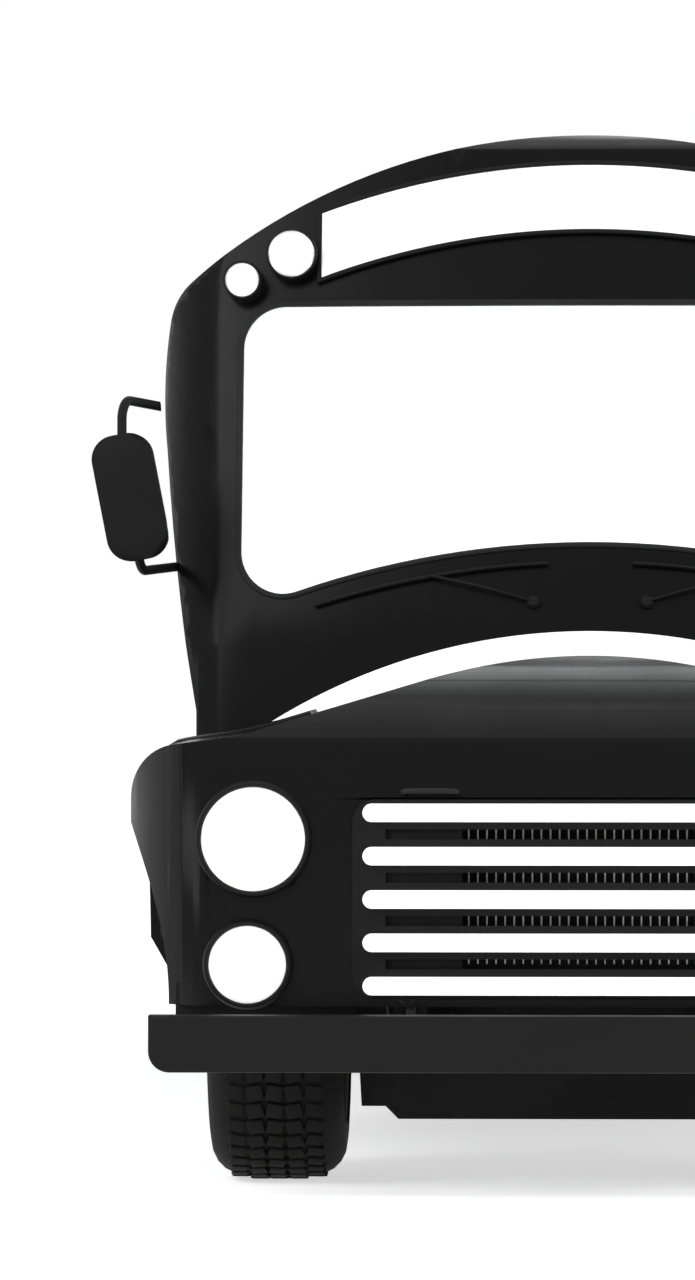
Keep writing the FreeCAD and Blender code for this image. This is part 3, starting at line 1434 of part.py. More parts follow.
def leaf_springs():
    """All four leaf springs."""
    front = springs("front", s.front_spring_middle, s.front_axle_setback, s.beam_top,
                    s.front_spring_rise, s.rail_outer)
    rear_seat = s.tyre_radius + s.axle_tube_radius
    rear = springs("rear", s.rear_spring_middle, rear_axle_setback, rear_seat,
                   s.rear_spring_rise, s.rail_outer)
    return Part.makeCompound(front.Solids + rear.Solids)


def front_axle():
    """Dropped beam axle with the kingpin eyes at its ends."""
    eye_start = s.kingpin_offset - s.eye_radius - s.steer_arm_width / 2
    wire = symmetric(
        "xz",
        (s.beam_drop_half_width, s.beam_low),
        [
            ((s.beam_drop_half_width + s.beam_knee_height - s.beam_low, s.beam_knee_height),),
            ((s.beam_neck, s.beam_knee_height),),
            ((eye_start, s.eye_low),),
            ((s.kingpin_offset, s.eye_low),),
            ((s.kingpin_offset, s.eye_top),),
            ((s.beam_neck - s.eye_radius, s.eye_top),),
            ((s.beam_drop_half_width, s.beam_top),),
        ],
    )
    depth = s.beam_depth
    beam = prism(wire, 0, REARWARDS * (front_axle_y - depth / 2), REARWARDS * depth)
    start = Vector(s.kingpin_offset, front_axle_y, s.eye_low)
    eye = Part.makeCylinder(s.eye_radius, s.eye_top - s.eye_low, start)
    bore = Part.makeCylinder(s.kingpin_radius + s.pin_gap, s.eye_top - s.eye_low, start)
    return whole(beam.fuse([eye, mirrored(eye)]).cut(bore).cut(mirrored(bore)))


def knuckle(side):
    """Steering knuckle: two yokes on the kingpin, the wheel's spindle and its arm."""
    pivot = Vector(side * s.kingpin_offset, front_axle_y, 0)
    low = s.eye_low - s.yoke_gap - s.yoke_thickness
    high = s.eye_top + s.yoke_gap
    pin = Part.makeCylinder(s.kingpin_radius, high - low, pivot + UPWARDS * low)
    outer = s.kingpin_offset + s.eye_radius + s.run_gap
    parts = [pin]
    for level in (low, high):
        start = pivot + UPWARDS * level
        parts.append(Part.makeCylinder(s.eye_radius, s.yoke_thickness, start))
        parts.append(slab(sorted((side * s.kingpin_offset, side * (outer + s.yoke_thickness))),
                          (front_axle_y - s.eye_radius, front_axle_y + s.eye_radius),
                          (level, level + s.yoke_thickness)))
    parts.append(slab(sorted((side * outer, side * (outer + s.yoke_thickness))),
                      (front_axle_y - s.eye_radius, front_axle_y + s.eye_radius),
                      (low, high + s.yoke_thickness)))
    end = s.front_tyre_inner + s.front_tyre_width - s.hub_radius
    parts.append(round_bar(s.spindle_radius, Vector(side * outer, front_axle_y, s.tyre_radius),
                           Vector(side * end, front_axle_y, s.tyre_radius)))
    half = s.steer_arm_width / 2
    reach = front_axle_y + s.steer_arm_reach
    arm = slab((pivot.x - half, pivot.x + half), (front_axle_y, reach),
               (low, low + s.yoke_thickness))
    tip = Part.makeCylinder(half, s.yoke_thickness, Vector(pivot.x, reach, low))
    bore = Part.makeCylinder(s.ball_pin_radius + s.pin_gap, s.yoke_thickness,
                             Vector(pivot.x, reach, low))
    return whole(parts[0].fuse(parts[1:] + [arm, tip]).cut(bore))


def tie_rod():
    """Rod between the two steering arms, with a ball pin at each end."""
    top = s.eye_low - s.yoke_gap - s.yoke_thickness - s.pin_gap
    reach = front_axle_y + s.steer_arm_reach
    rod_start = Vector(-s.kingpin_offset, reach, top - s.ball_height / 2)
    parts = [round_bar(s.tie_rod_radius, rod_start, rod_start + ACROSS * 2 * s.kingpin_offset)]
    for side in (1, -1):
        end = Vector(side * s.kingpin_offset, reach, top - s.ball_height)
        parts.append(Part.makeCylinder(s.ball_radius, s.ball_height, end))
        parts.append(Part.makeCylinder(s.ball_pin_radius, s.ball_height + s.yoke_thickness,
                                       end))
    return whole(parts[0].fuse(parts[1:]))


def draw_polygon(sketch, corners):
    """Closed polygon in a sketch, each corner held at its two formulas."""
    count = len(corners)
    turn = 2 * math.pi / count
    spots = [Vector(math.cos(i * turn), math.sin(i * turn)) * s.hub_radius
             for i in range(count)]
    lines = [Part.LineSegment(spots[i], spots[(i + 1) % count]) for i in range(count)]
    sketch.addGeometry(lines, False)
    for index in range(count):
        sketch.addConstraint(Sketcher.Constraint("Coincident", index, 2,
                                                 (index + 1) % count, 1))
    for index, corner in enumerate(corners):
        for kind, axis, formula in zip(("DistanceX", "DistanceY"), (-2, -1), corner):
            if formula == "0":
                sketch.addConstraint(Sketcher.Constraint("PointOnObject", index, 1, axis))
                continue
            number = sketch.addConstraint(Sketcher.Constraint(kind, index, 1, s.hub_radius))
            sketch.setExpression(f"Constraints[{number}]", WORD.sub(on_sheet, formula))


def turned_body(name, corners, side, start, setback):
    """Solid of revolution about the wheels' axis, from its half section."""
    body = doc.addObject("PartDesign::Body", name)
    plane = next(item for item in body.Origin.OriginFeatures if item.Role == "XY_Plane")
    sketch = body.newObject("Sketcher::SketchObject", f"{name}_section")
    sketch.AttachmentSupport = (plane, [""])
    sketch.MapMode = "FlatFace"
    draw_polygon(sketch, corners)
    turning = body.newObject("PartDesign::Revolution", f"{name}_turning")
    turning.Profile = sketch
    turning.ReferenceAxis = (sketch, ["H_Axis"])
    turning.Angle = 360
    if side < 0:
        body.Placement = FreeCAD.Placement(Vector(), Rotation(UPWARDS, 180))
    bind(body, x=f"{side} * ({start})", y=station(setback), z="tyre_radius")
    return body


def tyre_corners(width):
    """Half section of a tyre: bead, sidewall, rounded shoulder and tread."""
    half = [
        ("tyre_bead_inset", "rim_radius"),
        ("0", "tyre_flank_radius"),
        ("tyre_shoulder / 2", "tyre_radius - tyre_shoulder"),
        ("2 * tyre_shoulder", "tyre_radius"),
    ]
    far = [(f"{width} - ({u})", v) for u, v in reversed(half)]
    return half + far


def front_rim_corners():
    """Half section of a steer wheel's rim, disc and hub."""
    hub = "(kingpin_offset + eye_radius + yoke_thickness + 2 * run_gap - front_tyre_inner)"
    width = "front_tyre_width"
    bore = "(spindle_radius + hub_bore_gap)"
    bore_end = f"({width} - hub_radius + run_gap)"
    barrel = "(rim_radius - rim_skin)"
    return [
        (hub, bore),
        (hub, "hub_radius"),
        ("rim_disc_place", "hub_radius"),
        ("rim_disc_place", barrel),
        ("tyre_bead_inset", barrel),
        ("tyre_bead_inset", "rim_radius"),
        (f"{width} - tyre_bead_inset", "rim_radius"),
        (f"{width} - tyre_bead_inset", barrel),
        ("rim_disc_place + rim_skin", barrel),
        ("rim_disc_place + rim_skin", "hub_radius"),
        (f"{width} - tyre_bead_inset", "hub_radius"),
        (f"{width} - tyre_bead_inset", "0"),
        (bore_end, "0"),
        (bore_end, bore),
    ]


REAR_WIDTH = "(2 * rear_tyre_width + rear_twin_gap)"
REAR_START = f"(rear_tyre_outer - {REAR_WIDTH})"


def rear_rim_corners():
    """Half section of a twin wheel's barrel, disc and deep hub."""
    bore = "(spindle_radius + hub_bore_gap)"
    barrel = "(rim_radius - rim_skin)"
    middle = f"({REAR_WIDTH} / 2)"
    return [
        ("rear_hub_start", bore),
        ("rear_hub_start", "hub_radius"),
        (f"{middle} - rim_skin", "hub_radius"),
        (f"{middle} - rim_skin", barrel),
        ("tyre_bead_inset", barrel),
        ("tyre_bead_inset", "rim_radius"),
        (f"{REAR_WIDTH} - tyre_bead_inset", "rim_radius"),
        (f"{REAR_WIDTH} - tyre_bead_inset", barrel),
        (f"{middle} + rim_skin", barrel),
        (f"{middle} + rim_skin", "hub_radius"),
        (f"{REAR_WIDTH} - hub_radius", "hub_radius"),
        (f"{REAR_WIDTH} - hub_radius", "0"),
        ("rear_spindle_end + run_gap", "0"),
        ("rear_spindle_end + run_gap", bore),
    ]


def wheels():
    """Rims and tyres of both axles; twin tyres are two rings in one node."""
    pieces = []
    rear_setback = "front_axle_setback + wheelbase"
    for side, name in ((1, "left"), (-1, "right")):
        pieces.append(turned_body(f"front_rim_{name}", front_rim_corners(), side,
                                  "front_tyre_inner", "front_axle_setback"))
        pieces.append(turned_body(f"front_tyre_{name}", tyre_corners("front_tyre_width"),
                                  side, "front_tyre_inner", "front_axle_setback"))
        pieces.append(turned_body(f"rear_rim_{name}", rear_rim_corners(), side,
                                  REAR_START, rear_setback))
        starts = (REAR_START, f"{REAR_START} + rear_tyre_width + rear_twin_gap")
        twins = [turned_body(f"{place}_twin_{name}", tyre_corners("rear_tyre_width"), side,
                             start, rear_setback)
                 for place, start in zip(("inner", "outer"), starts)]
        pieces.append(grouped(f"rear_tyres_{name}", twins))
    return pieces


def rear_axle():
    """Rear axle tube with its differential housing and the two spindles."""
    middle = Vector(0, rear_axle_y, s.tyre_radius)
    start = s.rear_tyre_outer - 2 * s.rear_tyre_width - s.rear_twin_gap
    tube = s.rear_hub_start + start - s.run_gap
    spindle = s.rear_spindle_end + start
    axle = round_bar(s.axle_tube_radius, middle - ACROSS * tube, middle + ACROSS * tube)
    shaft = round_bar(s.spindle_radius, middle - ACROSS * spindle, middle + ACROSS * spindle)
    half = s.differential_half_width
    housing = round_bar(s.differential_radius, middle - ACROSS * half, middle + ACROSS * half)
    neck = Part.makeCone(s.axle_tube_radius, s.differential_radius - s.axle_tube_radius,
                         s.differential_radius, middle - REARWARDS * 2 * half, REARWARDS)
    return whole(axle.fuse([shaft, housing, neck]))


def propeller_shaft():
    """Shaft from the gearbox to the differential's neck."""
    gearbox_end = along(s.engine_setback + s.engine_length + s.gearbox_length)
    start = Vector(0, gearbox_end, s.rail_low + s.shaft_radius)
    neck = rear_axle_y - 2 * s.differential_half_width
    end = Vector(0, neck, s.tyre_radius)
    bar = round_bar(s.shaft_radius, start - (end - start).normalize() * s.shaft_radius,
                    end + (end - start).normalize() * s.shaft_radius)
    between = slab((-full_width, full_width), (gearbox_end, neck), (0, full_height))
    return whole(bar.common(between))


def fuel_tank():
    """Fuel tank under the floor bearers on the left side."""
    top = floor_low - s.bearer_height
    return rounded_box((s.tank_inner, s.tank_outer),
                       (along(s.tank_setback), along(s.tank_setback + s.tank_length)),
                       (top - s.tank_height, top), s.tank_corner_radius, REARWARDS)


def battery_box():
    """Battery box under the floor bearers on the left side."""
    top = "floor_height - floor_thickness - bearer_height"
    return block("battery_box", ("tank_inner", "tank_outer"),
                 (station("battery_setback"), station("battery_setback + battery_length")),
                 (f"{top} - battery_height", top))


def exhaust():
    """Silencer with its hanger straps and a tail pipe that ends at the right side."""
    top = floor_low - s.bearer_height
    start = Vector(-s.muffler_middle, along(s.muffler_setback), s.muffler_height)
    end = start + REARWARDS * s.muffler_length
    turn = Vector(start.x, along(s.pipe_end_setback), s.muffler_height)
    outlet = Vector(-s.pipe_end, turn.y, s.muffler_height)
    parts = [round_bar(s.muffler_radius, start, end),
             bent_bar(s.pipe_radius, s.pipe_bend, [end - REARWARDS * s.pipe_bend, turn, outlet])]
    first = math.ceil((s.muffler_setback - s.bearer_setback) / s.bearer_pitch)
    for index in (first, first + 1):
        place = along(s.bearer_setback + index * s.bearer_pitch)
        parts.append(slab((start.x - s.rim_skin, start.x + s.rim_skin),
                          (place, place + s.bearer_width), (s.muffler_height, top)))
    return whole(parts[0].fuse(parts[1:]))


def hinge_parts(middle, axis, radius, length):
    """Fixed pin with its end knuckles, and the moving sleeve between them."""
    start = middle - axis * (length / 2)
    pin = Part.makeCylinder(radius * s.hinge_pin_share, length, start, axis)
    knuckles = [
        Part.makeCylinder(radius, length * s.knuckle_share, start, axis),
        Part.makeCylinder(radius, length * s.knuckle_share,
                          start + axis * (length * (1 - s.knuckle_share)), axis),
    ]
    sleeve_length = length * (1 - 2 * s.knuckle_share) - 2 * s.pin_gap
    sleeve_start = middle - axis * (sleeve_length / 2)
    sleeve = Part.makeCylinder(radius, sleeve_length, sleeve_start, axis)
    bore = Part.makeCylinder(radius * s.hinge_pin_share + s.pin_gap, sleeve_length,
                             sleeve_start, axis)
    return pin.fuse(knuckles), sleeve.cut(bore), sleeve_start, sleeve_length


# Entrance leaves, bound to the sheet
DOOR_FACE = "-(belt_half_width - door_recess)"
DOOR_BACK = "-(belt_half_width - door_recess - door_thickness)"
DOOR_EDGES = {
    "front": (
        station("portal_setback + jamb_thickness + door_side_gap"),
        station("portal_setback + portal_width / 2 - door_parting / 2"),
    ),
    "rear": (
        station("portal_setback + portal_width / 2 + door_parting / 2"),
        station("portal_setback + portal_width - jamb_thickness - door_side_gap"),
    ),
}


def entrance_leaf(name):
    """Door leaf with a tall window and a pivot pin above and below."""
    edges = DOOR_EDGES[name]
    panel = block(f"{name}_leaf_panel", (DOOR_FACE, DOOR_BACK), edges,
                  ("door_low_height", "door_top_height"))
    window = block(f"{name}_leaf_window", (f"{DOOR_FACE} - overrun", f"{DOOR_BACK} + overrun"),
                   (f"{edges[0]} + door_rim", f"{edges[1]} - door_rim"),
                   ("door_glass_low", "door_top_height - door_rim"))
    frame = carved(f"{name}_leaf_frame", panel, window)
    pins = []
    inset = "jamb_thickness + door_side_gap + door_thickness / 2"
    place = f"portal_setback + {inset}"
    if name == "rear":
        place = f"portal_setback + portal_width - ({inset})"
    levels = {
        "upper": "door_top_height",
        "lower": "door_low_height - run_gap - door_pin_reach",
    }
    for level, low in levels.items():
        pins.append(rod(f"{name}_{level}_pivot", "z", "door_pin_radius",
                        "run_gap + door_pin_reach",
                        (f"{DOOR_FACE} + door_thickness / 2", station(place), low)))
    return joined(f"door_{name}", [frame] + pins)


def entrance_glass(name):
    """Pane in the middle of a leaf's thickness."""
    edges = DOOR_EDGES[name]
    middle = "(-(belt_half_width - door_recess - door_thickness / 2))"
    return block(f"door_glass_{name}",
                 (f"{middle} - glass_thickness / 2", f"{middle} + glass_thickness / 2"),
                 (f"{edges[0]} + door_rim + seat_gap", f"{edges[1]} - door_rim - seat_gap"),
                 ("door_glass_low + seat_gap", "door_top_height - door_rim - seat_gap"))


def door_pivots(height, reach):
    """Bores for the leaves' pivot pins."""
    inset = s.jamb_thickness + s.door_side_gap + s.door_thickness / 2
    across = -(s.belt_half_width - s.door_recess - s.door_thickness / 2)
    places = (s.portal_setback + inset, s.portal_setback + s.portal_width - inset)
    bores = [
        Part.makeCylinder(s.door_pin_radius + s.pin_gap, reach,
                          Vector(across, along(place), height))
        for place in places
    ]
    return Part.makeCompound(bores)


# Hinged pieces of the rear, the left side and the roof
REAR_HINGE_X = -(s.rear_door_half_width - s.run_gap / 2)
REAR_HINGE_Y = along(s.rear_wall_setback) + s.leaf_hinge_radius + s.hinge_stand_out


def rear_door_hinges():
    """Fixed and moving halves of the three hinges of the emergency door."""
    fixed = []
    moving = []
    height = s.rear_door_top - s.rear_door_low
    wall = along(s.rear_wall_setback)
    for share in (s.rear_hinge_share, 1 / 2, 1 - s.rear_hinge_share):
        middle = Vector(REAR_HINGE_X, REAR_HINGE_Y, s.rear_door_low + height * share)
        pin, sleeve, start, length = hinge_parts(middle, UPWARDS, s.leaf_hinge_radius,
                                                 s.leaf_hinge_length)
        half = s.leaf_hinge_length / 2
        knuckle = s.leaf_hinge_length * s.knuckle_share
        for low in (middle.z - half, middle.z + half - knuckle):
            pin = pin.fuse(slab((REAR_HINGE_X - s.hinge_strap, REAR_HINGE_X),
                                (wall, REAR_HINGE_Y), (low, low + knuckle)))
        strap = slab((REAR_HINGE_X + s.leaf_hinge_radius / 2, REAR_HINGE_X + s.hinge_strap),
                     (wall, REAR_HINGE_Y), (start.z, start.z + length))
        fixed.append(pin)
        moving.append(sleeve.fuse(strap.cut(Part.makeCylinder(
            s.leaf_hinge_radius * s.hinge_pin_share + s.pin_gap, length, start))))
    return fixed, moving


def rear_door():
    """Emergency door with its two window openings and hinge sleeves."""
    leaf = rear_door_box(s.run_gap).cut(rear_door_panes(0))
    handle = rounded_box(
        (s.rear_door_half_width - s.rear_door_rim, s.rear_door_half_width - 2 * s.run_gap),
        (along(s.rear_wall_setback), along(s.rear_wall_setback) + s.handle_depth),
        (s.rear_door_split_low + s.run_gap, s.rear_door_split_low + s.handle_height),
        s.run_gap,
        REARWARDS,
    )
    return whole(leaf.fuse(rear_door_hinges()[1] + [handle]))


def rear_door_glass():
    """Panes of the emergency door."""
    return Part.makeCompound(rear_glass_layer().common(rear_door_panes(s.seat_gap)).Solids)


stop_hinge = Vector(s.belt_half_width + s.stop_stand_out + s.stop_thickness / 2,
                    along(s.stop_setback), s.stop_height)


def stop_arm():
    """Blank eight-sided stop arm that lies along the left side."""
    far = s.stop_radius / math.cos(math.pi / 8)
    middle = (stop_hinge.y + s.stop_reach + s.stop_radius, s.stop_height)
    places = [
        (middle[0] + far * math.cos(math.pi / 8 + i * math.pi / 4),
         middle[1] + far * math.sin(math.pi / 8 + i * math.pi / 4))
        for i in range(8)
    ]
    wire = outline("yz", places[0], *[(place,) for place in places[1:]])
    inner = stop_hinge.x - s.stop_thickness / 2
    plate = prism(wire, 0, ACROSS * inner, ACROSS * s.stop_thickness)
    sleeve, start, length = hinge_parts(stop_hinge, UPWARDS, s.stop_hinge_radius,
                                        s.stop_hinge_length)[1:]
    arm = slab((inner, inner + s.stop_thickness),
               (stop_hinge.y + s.stop_hinge_radius / 2, middle[0]),
               (start.z, start.z + length))
    bore = Part.makeCylinder(s.stop_hinge_radius * s.hinge_pin_share + s.pin_gap, length, start)
    return whole(plate.fuse([sleeve, arm]).cut(bore))


def stop_bracket():
    """Bracket on the left side that carries the stop arm's hinge."""
    pin = hinge_parts(stop_hinge, UPWARDS, s.stop_hinge_radius, s.stop_hinge_length)[0]
    knuckle = s.stop_hinge_length * s.knuckle_share
    half = s.stop_hinge_length / 2
    for low in (s.stop_height - half, s.stop_height + half - knuckle):
        pin = pin.fuse(slab((s.belt_half_width, stop_hinge.x),
                            (stop_hinge.y - s.stop_hinge_radius, stop_hinge.y),
                            (low, low + knuckle)))
    return pin


def hatch_hinge(index):
    """Place of a roof hatch's hinge axis."""
    start = along(s.hatch_setback + index * s.hatch_spacing)
    reach = s.lid_overhang + s.leaf_hinge_radius + s.lid_gap
    return Vector(0, start - reach,
                  s.coaming_height + s.lid_gap + s.lid_thickness / 2)


def hatch_fixed(index):
    """Knuckles and pins on the coaming for a roof hatch's lid."""
    axis = hatch_hinge(index)
    start = along(s.hatch_setback + index * s.hatch_spacing)
    parts = []
    for side in (1, -1):
        middle = axis + ACROSS * (side * s.hatch_half_width * s.hinge_pin_share)
        pin = hinge_parts(middle, ACROSS, s.leaf_hinge_radius, s.leaf_hinge_length)[0]
        half = s.leaf_hinge_length / 2
        knuckle = s.leaf_hinge_length * s.knuckle_share
        for low in (middle.x - half, middle.x + half - knuckle):
            pin = pin.fuse(slab((low, low + knuckle), (axis.y, start),
                                (s.coaming_height - s.lid_thickness, s.coaming_height)))
            pin = pin.fuse(slab((low, low + knuckle),
                                (axis.y - s.leaf_hinge_radius, axis.y),
                                (s.coaming_height - s.lid_thickness, axis.z)))
        parts.append(pin)
    return parts


def hatch_lid(index):
    """Lid of a roof hatch with its two hinge sleeves."""
    axis = hatch_hinge(index)
    start = along(s.hatch_setback + index * s.hatch_spacing)
    half = s.hatch_half_width + s.lid_overhang
    low = s.coaming_height + s.lid_gap
    lid = rounded_box(
        (-half, half),
        (start - s.lid_overhang, start + s.hatch_length + s.lid_overhang),
        (low, low + s.lid_thickness),
        s.lid_overhang,
        UPWARDS,
    )
    for side in (1, -1):
        middle = axis + ACROSS * (side * s.hatch_half_width * s.hinge_pin_share)
        sleeve, first, length = hinge_parts(middle, ACROSS, s.leaf_hinge_radius,
                                            s.leaf_hinge_length)[1:]
        strap = slab((first.x, first.x + length), (axis.y, start),
                     (low, low + s.lid_thickness))
        bore = Part.makeCylinder(s.leaf_hinge_radius * s.hinge_pin_share + s.pin_gap, length,
                                 first, ACROSS)
        lid = lid.fuse([sleeve, strap]).cut(bore)
    return whole(lid)


# Cabin
def seat_outline(front):
    """Side view of a seat pad and its back in one."""
    pad_end = front + s.seat_length
    return outline(
        "yz",
        (front, s.seat_low),
        ((pad_end + s.back_thickness, s.seat_low),),
        ((pad_end + s.back_thickness + s.back_lean, s.back_top),),
        ((pad_end + s.back_lean, s.back_top),),
        ((pad_end, s.seat_top),),
        ((front, s.seat_top),),
    )


def seat_rows():
    """Front edges of the seat rows."""
    return [along(s.row_setback + index * s.row_pitch) for index in range(int(s.row_count))]


def seat_pads():
    """Pads of the passenger benches, one closed form a bench."""
    width = s.bench_outer - s.aisle_half_width
    pads = [prism(seat_outline(front), 0, ACROSS * s.aisle_half_width, ACROSS * width)
            for front in seat_rows()]
    return Part.makeCompound(pads + [mirrored(pad) for pad in pads])


def seat_frames():
    """Plates under the benches with a leg at the aisle, fixed to floor and wall."""
    frames = []
    room = body_prism(s.wall_thickness, s.side_setback, rear_inner_setback)
    for front in seat_rows():
        plate = slab((s.aisle_half_width, s.belt_half_width),
                     (front + s.seat_base_thickness, front + s.seat_length),
                     (s.seat_low - s.seat_base_thickness, s.seat_low)).common(room)
        leg = slab((s.aisle_half_width + s.leg_inset,
                    s.aisle_half_width + s.leg_inset + s.leg_thickness),
                   (front + s.leg_inset, front + s.leg_inset + s.leg_length),
                   (s.floor_height, s.seat_low))
        frames.append(plate.fuse(leg).removeSplitter().Solids[0])
    return Part.makeCompound(frames + [mirrored(frame) for frame in frames])


def driver_seat():
    """Driver's seat pad and back."""
    pad = prism(seat_outline(along(s.driver_seat_setback)), 0,
                ACROSS * (s.driver_middle - s.driver_half_width),
                ACROSS * (2 * s.driver_half_width))
    return pad


def driver_pedestal():
    """Pedestal of the driver's seat."""
    half = "driver_half_width / 2"
    return block("driver_pedestal", (f"driver_middle - {half}", f"driver_middle + {half}"),
                 (station("driver_seat_setback + leg_inset"),
                  station("driver_seat_setback + seat_length")), ("floor_height", "seat_low"))


wheel_lean = math.radians(s.wheel_rake)
wheel_axis = Vector(0, math.sin(wheel_lean), math.cos(wheel_lean))
wheel_middle = Vector(s.driver_middle, along(s.wheel_setback), s.wheel_height)


def dashboard():
    """Dashboard with the steering column, held on the cap by its two ends."""
    board = rounded_box(
        (-s.dash_half_width, s.dash_half_width),
        (along(s.dash_setback), along(s.dash_setback + s.dash_depth)),
        (s.dash_low, s.dash_top),
        s.dash_corner_radius,
        ACROSS,
    )
    board = board.common(inner_cap)
    top = wheel_middle - wheel_axis * (s.wheel_hub_length / 2 + s.pin_gap)
    column = Part.makeCylinder(s.column_radius, s.column_length,
                               top - wheel_axis * s.column_length, wheel_axis)
    bore = Part.makeCylinder(s.wheel_grip_radius + s.pin_gap, s.wheel_hub_length + s.pin_gap,
                             top - wheel_axis * (s.wheel_hub_length + s.pin_gap), wheel_axis)
    back = along(s.dash_setback + s.dash_depth) - s.dash_corner_radius
    legs = []
    for side in (1, -1):
        start = side * (s.dash_half_width - 2 * s.dash_corner_radius)
        legs.append(slab(sorted((start, start - side * s.dash_corner_radius)),
                         (back - 2 * s.dash_corner_radius, back),
                         (s.floor_height, s.dash_low)))
    return whole(board.fuse([column] + legs).cut(bore))


def steering_wheel():
    """Steering wheel with three spokes, on its leaning axis."""
    ring = Part.makeTorus(s.wheel_rim_radius - s.wheel_grip_radius, s.wheel_grip_radius,
                          wheel_middle, wheel_axis)
    hub = Part.makeCylinder(2 * s.wheel_grip_radius, s.wheel_hub_length,
                            wheel_middle - wheel_axis * (s.wheel_hub_length / 2), wheel_axis)
    spokes = []
    for index in range(3):
        spoke = Part.makeCylinder(s.wheel_grip_radius / 2,
                                  s.wheel_rim_radius - s.wheel_grip_radius, wheel_middle,
                                  ACROSS)
        spoke.rotate(wheel_middle, wheel_axis, index * 120)
        spokes.append(spoke)
    stub_end = wheel_middle - wheel_axis * (s.wheel_hub_length * 3 / 2)
    stub = Part.makeCylinder(s.wheel_grip_radius, s.wheel_hub_length, stub_end, wheel_axis)
    return whole(ring.fuse([hub, stub] + spokes))


def rear_lamps():
    """Round lamps on the rear wall: two low pairs and two roof lamps on each side."""
    wall = along(s.rear_wall_setback)
    places = [
        (s.rear_lamp_offset, s.rear_lamp_height, s.rear_lamp_radius),
        (s.rear_lamp_offset, s.rear_lamp_height - s.rear_lamp_pitch, s.rear_lamp_radius),
        (s.rear_roof_lamp_offset, s.rear_roof_lamp_height, s.inner_lamp_radius),
        (s.rear_roof_lamp_offset - s.rear_lamp_pitch,
         s.rear_roof_lamp_height + s.outer_lamp_radius, s.inner_lamp_radius),
    ]
    lamps = [Part.makeCylinder(radius, s.rear_lamp_depth, Vector(offset, wall, height),
                               REARWARDS)
             for offset, height, radius in places]
    return Part.makeCompound(lamps + [mirrored(lamp) for lamp in lamps])


PIECES = [
    shaped("left_wall", whole(side_wall(1).fuse(stop_bracket()))),
    shaped("right_wall", side_wall(-1)),
    shaped("roof", roof_shell()),
    shaped("front_cap", front_cap()),
    shaped("windscreen", windscreen()),
    shaped("rear_wall", rear_wall()),
    shaped("body_glass", body_glass()),
    shaped("floor", floor_shape()),
    shaped("step_well", step_well()),
    chassis_frame(),
    bumper("front_bumper", s.bumper_half_width, s.bumper_low, s.bumper_top, front_face,
           s.bumper_depth, -1),
    rear_bumper(),
    engine_block(),
    radiator(),
    shaped("leaf_springs", leaf_springs()),
    shaped("front_axle", front_axle()),
    shaped("knuckle_left", knuckle(1)),
    shaped("knuckle_right", knuckle(-1)),
    shaped("tie_rod", tie_rod()),
    shaped("rear_axle", rear_axle()),
    shaped("propeller_shaft", propeller_shaft()),
    shaped("fuel_tank", fuel_tank()),
    battery_box(),
    shaped("exhaust", exhaust()),
    entrance_leaf("front"),
    entrance_leaf("rear"),
    entrance_glass("front"),
    entrance_glass("rear"),
    shaped("rear_door", rear_door()),
    shaped("rear_door_glass", rear_door_glass()),
    shaped("stop_arm", stop_arm()),
    shaped("hatch_lid_front", hatch_lid(0)),
    shaped("hatch_lid_rear", hatch_lid(1)),
    shaped("seat_pads", seat_pads()),
    shaped("seat_frames", seat_frames()),
    shaped("driver_seat", driver_seat()),
    driver_pedestal(),
    shaped("dashboard", dashboard()),
    shaped("steering_wheel", steering_wheel()),
    shaped("rear_lamps", rear_lamps()),
]
PIECES += front_pieces + wheels()


def check_and_write():
    """Stop on a failed object or an empty shape, then write every piece's file."""
    doc.recompute()
    for item in doc.Objects:
        if "Invalid" in item.State or "Error" in item.State:
            raise RuntimeError(f"{item.Name} failed: {item.State}")
    for piece in PIECES:
        if piece.Shape.isNull() or not piece.Shape.isValid():
            raise RuntimeError(f"{piece.Label} has no valid shape")
        piece.Shape.exportStep(f"{NODE_FOLDER}/{piece.Label}.step")


check_and_write()
print(f"{len(PIECES)} pieces written")
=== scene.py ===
import json
import logging
import math
from dataclasses import dataclass, field
from enum import Enum
from typing import Sequence

import bmesh
import bpy
from mathutils import Matrix, Vector
from mathutils.bvhtree import BVHTree


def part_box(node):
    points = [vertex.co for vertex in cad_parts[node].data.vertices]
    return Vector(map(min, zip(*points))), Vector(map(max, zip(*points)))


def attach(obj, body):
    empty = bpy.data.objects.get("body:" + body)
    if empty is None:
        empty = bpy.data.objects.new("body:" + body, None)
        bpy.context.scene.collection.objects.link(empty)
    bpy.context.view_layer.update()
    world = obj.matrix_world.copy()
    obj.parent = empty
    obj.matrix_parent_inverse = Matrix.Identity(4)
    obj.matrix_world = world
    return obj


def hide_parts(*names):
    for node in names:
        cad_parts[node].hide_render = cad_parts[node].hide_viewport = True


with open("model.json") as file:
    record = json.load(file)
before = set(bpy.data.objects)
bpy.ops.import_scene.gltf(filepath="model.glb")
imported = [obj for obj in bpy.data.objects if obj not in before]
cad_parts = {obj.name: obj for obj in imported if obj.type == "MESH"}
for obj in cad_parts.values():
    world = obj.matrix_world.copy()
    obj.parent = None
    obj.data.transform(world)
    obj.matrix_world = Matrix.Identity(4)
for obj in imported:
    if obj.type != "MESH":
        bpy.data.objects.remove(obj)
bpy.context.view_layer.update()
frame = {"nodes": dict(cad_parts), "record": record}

logging.basicConfig(level=logging.INFO, format="%(message)s")
log = logging.getLogger("school_bus")

Point = Sequence[float]
Colour = tuple[float, float, float]
FORWARD = Vector((0.0, -1.0, 0.0))
REARWARD = Vector((0.0, 1.0, 0.0))
UP = Vector((0.0, 0.0, 1.0))
LEFT = Vector((1.0, 0.0, 0.0))


